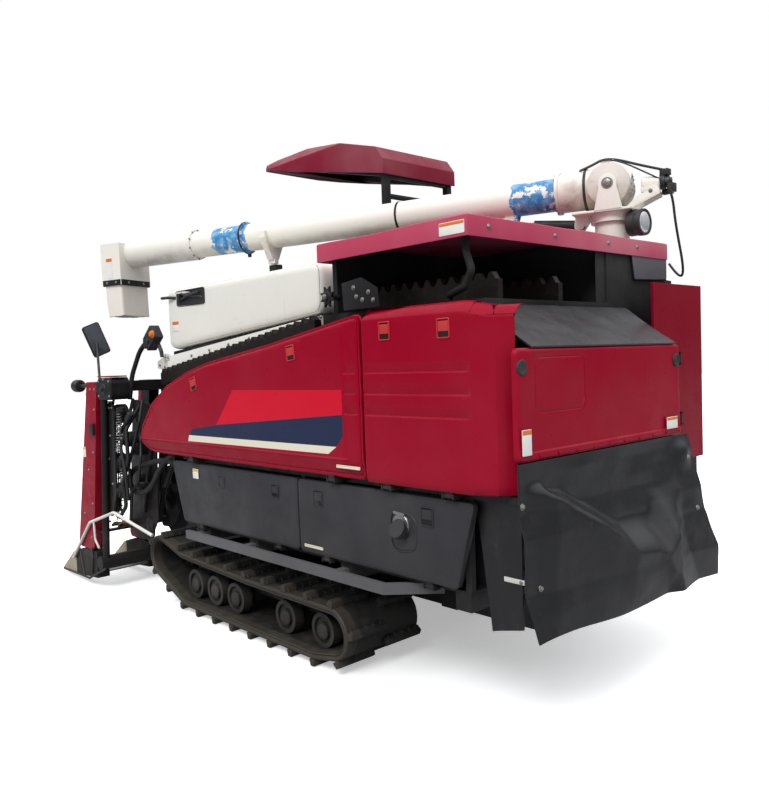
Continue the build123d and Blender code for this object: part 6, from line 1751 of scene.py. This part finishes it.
class HARVESTER_OT_boom(bpy.types.Operator):
    """Flange bolts, bands, the motor on the turning head, its lamp and the soft chute."""

    bl_idname = "harvester.boom"
    bl_label = "Unloading tube"

    def execute(self, context):
        self.tube()
        self.strap()
        self.head()
        self.fittings()
        self.lamp()
        self.chute()
        return {"FINISHED"}

    def around(self, centre, x, y, z):
        """Limits of a small box round a place."""
        return tuple((centre[i] - half, centre[i] + half) for i, half in enumerate((x, y, z)))

    def plate(self, form, outline, near, far, bevel):
        """A plate along the tube's side, from its outline seen from the left."""
        form.prism(outline, lambda u, v, w: tuple(boom(u, w, v)), sorted((near, far)), bevel)

    def tube(self):
        """Bolts on the tube's flanges, and bands round it."""
        form = Form()
        for along, radius, count, size in ((272, 99, 14, 5.5), (-45, 88, 10, 6), (2641, 93, 10, 5)):
            out = BOOM_AXIS if along == 272 else -BOOM_AXIS
            for across, up in circle(radius, count, 0.5):
                form.bolt(boom(along, across, up), out, size, 5)
        form.build("tube_bolts", "steel", "boom")
        bands, half = Form(), 7
        for along, radius in ((120, 108.5), (2248, 101.5), (1180, 87.5)):
            profile = ((0, radius - 3), (1, radius), (2 * half - 1, radius), (2 * half, radius - 3))
            bands.turned(boom(along - half, 0, 0), boom(along + half, 0, 0), profile, 48)
            bands.box(*self.around(boom(along, -12, -radius - 8), 9, 9, 10), 2)
        bands.build("tube_bands", "black", "boom")

    def strap(self):
        """The bolted strap that holds the soft chute, and the blank plate above it."""
        strap = Form()
        loop = rounded(rect(-82, -139, 82, 139), 12)
        wide, inner = drawn_in(loop, -3.5), drawn_in(loop, 3)
        levels = ((loop, -222), (wide, -220), (wide, -184), (loop, -182), (inner, -182), (inner, -222))
        strap.rows([[boom(BOOM_LENGTH + u, v, up) for u, v in line] for line, up in levels], around=True)
        for out in (-1, 1):
            for u in (-40, 40):
                strap.bolt(boom(BOOM_LENGTH + u, out * 142.5, -202), BOOM_SIDE * out, 5.5, 4, 1)
            for v in (-70, 70):
                strap.bolt(boom(BOOM_LENGTH + out * 85.5, v, -202), BOOM_AXIS * out, 5.5, 4, 1)
        strap.build("chute_strap", ["black", "steel"], "boom")
        sign = Form()
        for low, high, near, far, slot in ((-172, -36, 139.8, 141.4, 0), (-60, -38, 141.0, 141.9, 1)):
            loop = [boom(BOOM_LENGTH + u, 0, up) for u, up in rect(-12, low, 38, high)]
            sign.rows([[spot + BOOM_SIDE * out for spot in loop] for out in (near, far)], slot)
        sign.build("spout_plate", ["label", "orange"], "boom")

    def head(self):
        """The turning head: collar, narrow fork, the ram's bracket and the motor's plates."""
        form = Form()
        x, y, top = (at / MM for at in BOOM_ROOT)
        form.turned((x, y, top - 182.7), (x, y, top), ((0, 103), (2, 105), (48, 105), (52, 101), (54, 96)), 48)
        arch = [(46 * cos(radians(a)), 46 * sin(radians(a))) for a in range(-20, 201, 20)]
        fork = [(70, -136), *arch, (-70, -136)]
        for out in (-1, 1):
            self.plate(form, fork, out * 112, out * 132, 3)
            form.rod(boom(0, out * 130, 0), boom(0, out * 41, 0), 24)
            form.bolt(boom(0, out * 132, 0), BOOM_SIDE * out, 20, 9, 1)
            self.plate(form, RAM_BRACKET, out * 30, out * 42, 2)
            self.plate(form, MOTOR_ARM, out * 52, out * 60, 2)
            form.bolt(boom(-196, out * 60, -52), BOOM_SIDE * out, 7, 6, 1)
        self.plate(form, rect(-110, -137, 68, -126), -132, 132, 1)
        for out in (-1, 1):
            self.plate(form, rect(60, -137, 180, -126), out * 29, out * 132, 1)
        form.rod(boom(165, -36, -172), boom(165, 36, -172), 12)
        form.rod(boom(-150, 0, -8), boom(-236, 0, -8), 40, 4)
        self.plate(form, rect(-232, -56, -150, -30), -58, 58, 3)
        form.box((-1602, -1560), (-692, -642), (2038, 2100), 3)
        form.build("turning_head", ["ivory", "steel"], "turret", "turret", "white_paint")

    def fittings(self):
        """The motor, the post over the tube's root and the leads over both."""
        motor = Form()
        profile = ((0, 34), (4, 36), (22, 36), (26, 30), (44, 28), (48, 20), (56, 18))
        motor.turned(boom(-237, 0, -8), boom(-300, 0, -8), profile, 28)
        for spot, size, bevel in (
            ((-262, 4, 38), (22, 20, 16), 4), ((-292, 22, -44), (16, 20, 22), 4), ((-268, -34, -50), (26, 14, 14), 3)
        ):
            motor.box(*self.around(boom(*spot), *size), bevel)
        motor.build("head_connectors", "plastic", "turret")
        post = Form()
        post.rod(boom(14, 40, 84), boom(14, 40, 134), 12)
        post.rod(boom(-24, 40, 128), boom(44, 40, 128), 7)
        for across, up in circle(42, 8):
            post.bolt(boom(-105, across, up), -BOOM_AXIS, 5, 3, 1)
        post.build("tube_post", ["ivory", "steel"], "boom")
        for name, (wide, route) in TUBE_LEADS.items():
            swinging_lead(name, wide, [boom(*spot) for spot in route], "boom", "turret")

    def lamp(self):
        """The turning head's lamp: its lens in a rim."""
        y, z = LAMP_OUT, LAMP_HEIGHT
        glass, rim = Form(), Form()
        profile = ((0, 53), (2, 52.5), (4, 48), (6, 38), (7.3, 26), (8.2, 12), (8.5, 2))
        glass.turned((-1632, y, z), (-1700, y, z), profile, 36)
        glass.build("head_lamp_glass", "lens", "turret")
        profile = ((0, 62.5), (3, 65), (30, 66), (37.2, 65), (37.4, 55), (30, 54))
        rim.turned((-1600, y, z), (-1700, y, z), profile, 40)
        rim.box((-1600, -1560), (-690, -644), (2118, 2130), 3)
        rim.build("head_lamp_rim", "plastic", "turret")

    def chute(self):
        """The soft chute: a sewn sleeve, open at both ends, that hangs in shallow folds."""
        loop = divided(rounded(rect(-74, -131, 74, 131), 20), 12)
        rows, lines, top, drop = [], 26, -205, 222
        for inset, order in ((0, range(lines)), (2.5, reversed(range(lines)))):
            for share in (line / (lines - 1) for line in order):
                row = []
                for u, v in drawn_in(loop, inset + 3 * share):
                    fold = share * noise.noise(Vector((u / 45, v / 45, share * 1.2)))
                    along = BOOM_LENGTH + u * (1 + 0.05 * fold) - 5 * share * share
                    row.append(boom(along, v + 7 * fold, top - drop * share + 5 * fold))
                rows.append(row)
        form = Form().rows(rows, around=True)
        around = sum(hypot(b[0] - a[0], b[1] - a[1]) for a, b in zip(loop, loop[1:] + loop[:1])) * MM
        piece = form.build("soft_chute", "sheet", "boom", "spout_chute", "vinyl_sheet", 50.0)
        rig.sheet(piece, flat=(around, drop * MM), held="hung", rests_on=["spout"])


# Header

# Gear drums: along, up, radius, inner and outer end
DRUMS = (
    (1218, 1150, 62, 752, 838), (1180, 985, 50, 700, 800), (1262, 830, 66, 760, 842), (1236, 655, 54, 770, 840),
    (1330, 560, 58, 790, 842),
)
# Hoses by the drums, then those between the cases: route, radius, radius of their bends
OUTER_HOSES = (
    (((1130, 700, 1200), (1150, 790, 1050), (1120, 800, 860), (1190, 812, 700), (1180, 800, 560), (1290, 800, 470)),
     13, 60),
    (((1180, 720, 1235), (1145, 770, 1120), (1175, 820, 940), (1120, 818, 760), (1145, 800, 600)), 11, 50),
    (((1090, 700, 1230), (1062, 740, 1100), (1100, 765, 960), (1180, 770, 820), (1140, 780, 640), (1180, 780, 420)),
     10, 60),
    (((1240, 690, 1240), (1140, 700, 1010), (1060, 742, 880), (1075, 760, 720), (1160, 770, 640)), 9, 50),
    (((1255, 812, 1245), (1290, 826, 1100), (1250, 838, 900)), 8, 40),
)
INNER_HOSES = (
    (((1276, 450, 1300), (1300, 455, 1060), (1322, 470, 830), (1336, 480, 600), (1240, 520, 440)), 20, 60),
    (((1220, 450, 1306), (1240, 455, 1000), (1236, 490, 790), (1150, 560, 600), (1140, 600, 430)), 16, 60),
    (((1160, 450, 1308), (1164, 450, 1000), (1150, 480, 800), (1080, 580, 650)), 17, 60),
    (((1106, 450, 1306), (1084, 455, 1060), (1076, 500, 830)), 13, 60),
)
# Housings, seen from the left: over the drums, behind them, and low between the cases
DRUM_COVER = ((1196, 1225), (1286, 1225), (1392, 520), (1300, 470), (1222, 640))
BACK_HOUSING = (
    (1010, 1190), (1322, 1238), (1392, 900), (1432, 560), (1446, 330), (1190, 300), (1050, 470), (1040, 800),
)
LOW_HOUSING = ((1180, 480), (1296, 345), (1430, 335), (1430, 470), (1352, 640), (1310, 772), (1176, 762))
# Bolts along and up: on the drums' cover, on the left case and on its gear plate
COVER_BOLTS = ((1225, 1190), (1262, 1190), (1262, 1010), (1300, 860), (1330, 700), (1352, 560), (1262, 700))
CASE_BOLTS = (
    (1330, 1310), (1395, 1310), (1350, 1180), (1430, 1080), (1400, 900), (1490, 780), (1452, 560), (1590, 480),
    (1500, 330), (1640, 300),
)
GEAR_BOLTS = ((1110, 1268), (1265, 1268), (1110, 1360), (1265, 1360), (1188, 1372))
# The feed chain's line, along and up
FEED_CHAIN = ((1282, 1130), (1350, 520), (1320, 470), (1280, 500), (1226, 1120), (1252, 1160))


def spring(form, start, finish, radius, wire, turns):
    """A coil spring between two places."""
    start, finish = Vector(start), Vector(finish)
    axis = (finish - start).normalized()
    across = axis.orthogonal().normalized()
    other = axis.cross(across)
    steps, points = turns * 10, []
    for step in range(steps + 1):
        turn = 2 * pi * step / 10
        points.append(start.lerp(finish, step / steps) + (across * cos(turn) + other * sin(turn)) * radius)
    form.tube(points, wire, sides=6, slot=1)


def leaning(u, v, w):
    """Outlines in the mirror's plane, turned a little in it: to the left, up, forwards."""
    moved = Matrix.Rotation(radians(-22), 2) @ Vector((u, v))
    return w, 820 + moved.x, 1632 + moved.y


class HARVESTER_OT_header(bpy.types.Operator):
    """What shows at the header's left: gear housings, hoses, springs, lamp, mirror and bolts."""

    bl_idname = "harvester.header"
    bl_label = "Header fittings"

    def execute(self, context):
        form = Form()
        self.outer_drives(form)
        self.inner_drives(form)
        form.build("header_drives", ["plastic", "steel"], "header")
        self.left_end()
        self.chains()
        return {"FINISHED"}

    def outer_drives(self, form):
        """Drums, housings, hoses and springs under the left case."""
        for x, z, radius, low, high in DRUMS:
            tall = high - low
            profile = ((0, radius * 0.8), (6, radius), (tall - 26, radius), (tall - 20, radius * 0.86),
                       (tall - 10, radius * 0.84), (tall - 8, radius * 0.45), (tall, radius * 0.42))
            form.turned((x, low, z), (x, high, z), profile, 28)
            form.bolts(high - 19, [(x + across, z + up) for across, up in circle(radius * 0.7, 6)], 6, 5, 1)
        form.prism(rounded(DRUM_COVER, 40), side, (832, 846), 3)
        form.bolts(846, COVER_BOLTS, 6, 5, 1)
        form.prism(rounded(BACK_HOUSING, 50), side, (640, 652), 3)
        for x, z, radius in ((1120, 1010, 58), (1150, 420, 46), (1250, 700, 40)):
            form.dial(x, z, 650, 676, radius)
        form.prism(((1055, 930), (1085, 935), (1235, 500), (1205, 490)), side, (652, 672), 3)
        form.rod((1090, 792, 1135), (1445, 792, 852), 13)
        form.rod((1060, 792, 1159), (1120, 792, 1111), 22, 4)
        form.box((1120, 1200), (652, 742), (880, 960), 10)
        form.box((1100, 1190), (652, 720), (640, 700), 10)
        for route, radius, bend in OUTER_HOSES:
            form.tube(route, radius, bend)
        spring(form, (1155, 822, 1190), (1195, 830, 905), 17, 3.2, 17)
        spring(form, (1215, 800, 880), (1215, 806, 700), 14, 2.8, 14)
        form.rod((1140, 818, 1195), (1140, 818, 1165), 24)

    def inner_drives(self, form):
        """Hoses, bars and the low housing between the cases."""
        for route, radius, bend in INNER_HOSES:
            form.tube(route, radius, bend)
        for foot, head in ((1340, 1262), (1262, 1198), (1176, 1136)):
            form.prism(((foot, 770), (foot + 40, 758), (head + 36, 1292), (head, 1300)), side, (404, 414), 2)
        for z, low, high in ((1296, 1096, 1320), (1090, 1090, 1340), (890, 1096, 1380)):
            form.rod((low, 430, z), (high, 430, z), 13)
            form.bolts(443, [(x, z) for x in range(low + 14, high - 40, 56)], 6, 4, 1)
        form.prism(rounded(LOW_HOUSING, 34), side, (416, 440), 4)
        for x, z, radius in ((1236, 690, 44), (1290, 520, 54), (1374, 400, 34)):
            form.dial(x, z, 440, 466, radius)

    def left_end(self):
        """The left case's fittings, the mirror and the side divider's bars."""
        form = Form().bolts(905, CASE_BOLTS, 6, 5).bolts(903, GEAR_BOLTS, 6, 6)
        profile = ((0, 40), (4, 40), (6, 34), (12, 32), (14, 16), (26, 15))
        form.turned((1188, 900, 1313), (1188, 930, 1313), profile, 28, 1)
        form.prism(rect(1085, 1386, 1310, 1394), side, (795, 890), 1.5, 2)
        form.box((1352, 1412), (905, 924), (1015, 1090), 5, 1)
        form.box((1300, 1470), (896, 908), (1340, 1352), 2, 2)
        form.build("header_left_end", ["steel", "plastic", "red"], "header")
        lens, glass, back, bars = Form(), Form(), Form(), Form()
        lens.turned((1692, 870, 1331), (1700, 870, 1331), ((0, 36), (4, 35), (6.5, 28), (7, 10)), 32)
        lens.build("header_lamp_lens", "lens", "header")
        # The mirror's glass shows a painted reflection, from its finish.
        glass.prism(rounded(rect(-52, -99, 52, 99), 14), leaning, (1451, 1453), 0.4)
        glass.build("mirror_glass", "glass", "header")
        back.prism(rounded(rect(-60, -107, 60, 107), 19), leaning, (1452.5, 1466), 4)
        back.turned((1464, 820, 1632), (1484, 820, 1632), ((0, 30), (5, 26), (12, 14), (18, 12)), 24)
        back.build("mirror_back", "plastic", "header")
        bar = ((2020, 30), (1560, 40), (1290, 150), (1290, 164), (1562, 54), (2020, 44))
        bars.prism(bar, side, (908, 914), 1.5)
        bars.prism(((1700, 244), (1722, 244), (1652, 48), (1630, 48)), side, (908, 914), 1.5)
        bars.tube(((1500, 912, 262), (1470, 920, 200), (1500, 916, 92)), 6, 20)
        bars.bolt((1560, 914, 48), LEFT, 6, 5)
        bars.build("divider_bars", "plastic", "header")

    def chains(self):
        """The chains with their fingers behind the star wheels."""
        link, outline = Form(), rounded(rect(-18, -9, 18, 9), 8, 3)
        for low in (-9, 6):
            link.prism(outline, side, (low, low + 3), 1)
        link.rod((0, -12, 0), (0, 12, 0), 5.5, 1, 12)
        link.prism(((-5, 6), (5, 6), (2, 44), (-2, 44)), side, (-3, 3), 1)
        for number, y in enumerate((800, 560)):
            path = rounded([(x, y, z) for x, z in FEED_CHAIN], 30)
            repeated(link, path, 40, f"feed_links_{number}", "chain", "header")


class HARVESTER_OT_switch_box(bpy.types.Operator):
    """The switch box in front of the lid, with its bracket and wires."""

    bl_idname = "harvester.switch_box"
    bl_label = "Switch box"

    def execute(self, context):
        form = Form()
        turn = Matrix.Rotation(radians(-38), 2)
        outline = [turn @ Vector(spot) for spot in rounded(rect(-66, -48, 70, 48), 9)]
        form.prism([(930 + spot.x, 1620 + spot.y) for spot in outline], side, (652, 714), 5)
        form.turned((872, 714, 1640), (872, 738, 1640), ((0, 24), (6, 24), (7, 17), (18, 16), (20, 12)), 24, 1)
        form.turned((940, 713, 1600), (940, 730, 1600), ((0, 15), (9, 14), (12, 10)), 20)
        form.turned((975, 713, 1566), (975, 726, 1566), ((0, 12), (9, 11), (11, 8)), 20)
        form.tube(((900, 668, 1590), (862, 668, 1536), (852, 668, 1500)), 12, 20)
        form.tube(((985, 680, 1600), (1040, 682, 1598)), 17)
        form.build("switch_box", ["plastic", "orange"], "header")
        rail = Form()
        sheet = ((786, 1400), (980, 1430), (980, 1470), (902, 1500), (820, 1500), (786, 1460))
        ear = ((800, 1470), (870, 1480), (866, 1520), (806, 1512))
        rail.prism(rounded(sheet, 10), side, (633.5, 637), 1)
        rail.prism(rounded(ear, 8), side, (637, 645), 2)
        for x, z in ((815, 1425), (880, 1436), (945, 1448), (820, 1494), (852, 1500)):
            rail.bolt((x, 637 if x > 870 else 645, z), LEFT, 6, 5, 1)
        rail.build("rail_bracket", ["pale", "steel"], "chassis")
        return {"FINISHED"}


# Thresher's open side and the frame

class HARVESTER_OT_inner(bpy.types.Operator):
    """What shows under the hood, along the feed chain and behind the lower covers."""

    bl_idname = "harvester.inner"
    bl_label = "Open side"

    def execute(self, context):
        self.wall()
        self.sheets()
        return {"FINISHED"}

    def wall(self):
        """On the thresher's wall: a bolted plate, a sprocket's hub and the rail's bolts."""
        form = Form()
        plate = ((-1100, 1660), (-860, 1660), (-850, 1785), (-985, 1800), (-1090, 1745))
        form.prism(plate, side, (634, 639), 1.5)
        form.bolts(639, ((-932, 1757), (-950, 1716), (-990, 1699), (-1031, 1730), (-1060, 1693)), 8, 6, 1)
        profile = ((0, 30), (10, 30), (12, 22), (20, 20), (22, 12))
        form.turned((-769, 655, 1730), (-769, 690, 1730), profile)
        form.bolt((-769, 677, 1730), LEFT, 9, 7, 1)
        form.bolts(646, [(x, 1655 - (x + 700) * 0.118 - 12) for x in range(-700, 600, 205)], 6, 5, 1)
        form.build("inner_plates", ["black", "steel"], "chassis")

    def sheets(self):
        """The hood's inner sheets, the corner flap's bracket and the tank's cap."""
        hood, low, cap = Form(), Form(), Form()
        wall = ((-215, 1500), (-215, 1955), (-856, 1955), (-856, 1788), (-930, 1784), (-930, 1500))
        hanging = ((-502, 1952), (-854, 1952), (-854, 1787), (-541, 1775))
        # The wall under the hood takes the black with painted shade.
        hood.prism(wall, end, (-1633, -1630), 0.8)
        hood.prism(rounded(hanging, 14), end, (-1646.5, -1644), 0.8, 1)
        hood.build("hood_inner_sheets", ["void", "hanging_plate"], "chassis")
        low.box((-1892, -1800), (709, 714), (605, 623), 1.5)
        low.bolt((-1878, 714, 614), LEFT, 5, 4, 1)
        low.build("flap_bracket", ["pale", "steel"], "chassis")
        profile = ((0, 40), (3, 46), (14, 47), (18, 44), (19, 30), (24, 29), (26, 22))
        cap.turned((-1306, 742, 756), (-1306, 790, 756), profile, 32)
        cap.prism(rounded(((-1330, 790), (-1270, 800), (-1270, 812), (-1334, 806)), 5), side, (744, 764), 2)
        cap.build("filler_cap", "steel", "chassis")


# Driver's side

def pillow(spans, swell):
    """A stuffed pad: a rounded block whose faces swell towards their middles, with a seam round it."""
    halves = [(high - low) / 2 for low, high in spans]
    centre = Vector([(high + low) / 2 for low, high in spans])
    form, count = Form(), 22
    for axis in range(3):
        for sign in (-1, 1):
            grid = []
            for i in range(count + 1):
                row = []
                for j in range(count + 1):
                    a, b = 2 * i / count - 1, 2 * j / count - 1
                    point = [0.0, 0.0, 0.0]
                    point[axis], point[(axis + 1) % 3], point[(axis + 2) % 3] = sign, a, b
                    size = sum(abs(c) ** 7 for c in point) ** (1 / 7)
                    spot = [c / size * half for c, half in zip(point, halves)]
                    spot[axis] += sign * (swell * (1 - a * a) * (1 - b * b) - swell * 0.6)
                    row.append(centre + Vector(spot))
                grid.append(row)
            form.rows(grid, ring=False)
    return form


class HARVESTER_OT_station(bpy.types.Operator):
    """The seat's pads, and bolts, window and bow of the grain tank."""

    bl_idname = "harvester.station"
    bl_label = "Driver's side"

    def execute(self, context):
        self.pad("seat_cushion", ((-150, 270), (-830, -450), (1201, 1300)), 0, "seat_pads")
        self.pad("seat_back", ((-236, -156), (-820, -460), (1322, 1758)), 0.05)
        self.tank()
        return {"FINISHED"}

    def pad(self, name, spans, lean, replaces=()):
        """A pad of the seat, leaning back by a share of its height."""
        piece = pillow(spans, 14).build(name, "vinyl", "chassis", replaces, "seat_vinyl")
        edit = bmesh.new()
        edit.from_mesh(piece.data)
        bmesh.ops.remove_doubles(edit, verts=edit.verts, dist=0.0004)
        for vertex in edit.verts:
            vertex.co.x -= (vertex.co.z - 1.54) * lean
        bmesh.ops.recalc_face_normals(edit, faces=edit.faces)
        edit.to_mesh(piece.data)
        edit.free()
        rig.padded(piece, fill=0.8)

    def tank(self):
        """The grain tank's bolts, its window and the bow on its top."""
        low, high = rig.box("grain_tank")
        face, top = low[1] / MM, high[2] / MM
        form = Form()
        for x in range(-1180, -440, 120):
            for z in (1180, 1660):
                form.bolt((x, face + 5, z), (0, -1, 0), 6, 4)
        # The window takes the mirror glass, whose grey-blue is a painted reflection.
        form.prism(rounded(rect(-1020, 1380, -900, 1580), 20), side, (face + 6, face + 1), 2, 1)
        bow = ((-960, top), (-960, top + 45), (-860, top + 45), (-860, top))
        form.tube([(x, face + 320, z) for x, z in bow], 7, 16, slot=2)
        form.build("tank_fittings", ["steel", "glass", "black"], "grain_tank")


OPERATORS = (
    HARVESTER_OT_stage, HARVESTER_OT_finishes, HARVESTER_OT_covers, HARVESTER_OT_cutter, HARVESTER_OT_lid,
    HARVESTER_OT_hood, HARVESTER_OT_canopy, HARVESTER_OT_tracks, HARVESTER_OT_cords, HARVESTER_OT_plates,
    HARVESTER_OT_boom, HARVESTER_OT_header, HARVESTER_OT_switch_box, HARVESTER_OT_inner, HARVESTER_OT_station,
)


class HARVESTER_PT_panel(bpy.types.Panel):
    """Lists the steps in the sidebar."""

    bl_idname = "HARVESTER_PT_panel"
    bl_label = "Harvester"
    bl_space_type = "VIEW_3D"
    bl_region_type = "UI"
    bl_category = "Harvester"

    def draw(self, context):
        for operator in OPERATORS:
            self.layout.operator(operator.bl_idname)


CLASSES = (HarvesterColours, HarvesterSizes, *OPERATORS, HARVESTER_PT_panel)


def register():
    """Adds the classes and the scene's settings."""
    for cls in CLASSES:
        bpy.utils.register_class(cls)
    bpy.types.Scene.harvester_colours = bpy.props.PointerProperty(type=HarvesterColours)
    bpy.types.Scene.harvester_sizes = bpy.props.PointerProperty(type=HarvesterSizes)


def unregister():
    """Takes them away again."""
    del bpy.types.Scene.harvester_sizes
    del bpy.types.Scene.harvester_colours
    for cls in reversed(CLASSES):
        bpy.utils.unregister_class(cls)


def main():
    """Runs every step in order and writes what the model measures."""
    register()
    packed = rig.bounds()
    for operator in OPERATORS:
        step = operator.bl_idname.split(".")[1]
        if getattr(bpy.ops.harvester, step)() != {"FINISHED"}:
            raise RuntimeError(f"{operator.bl_label} didn't finish")
    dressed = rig.bounds()
    with open("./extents.json", "w") as file:
        json.dump({"cad": [list(p) for p in packed], "visual": [list(p) for p in dressed]}, file)


if __name__ == "__main__":
    main()
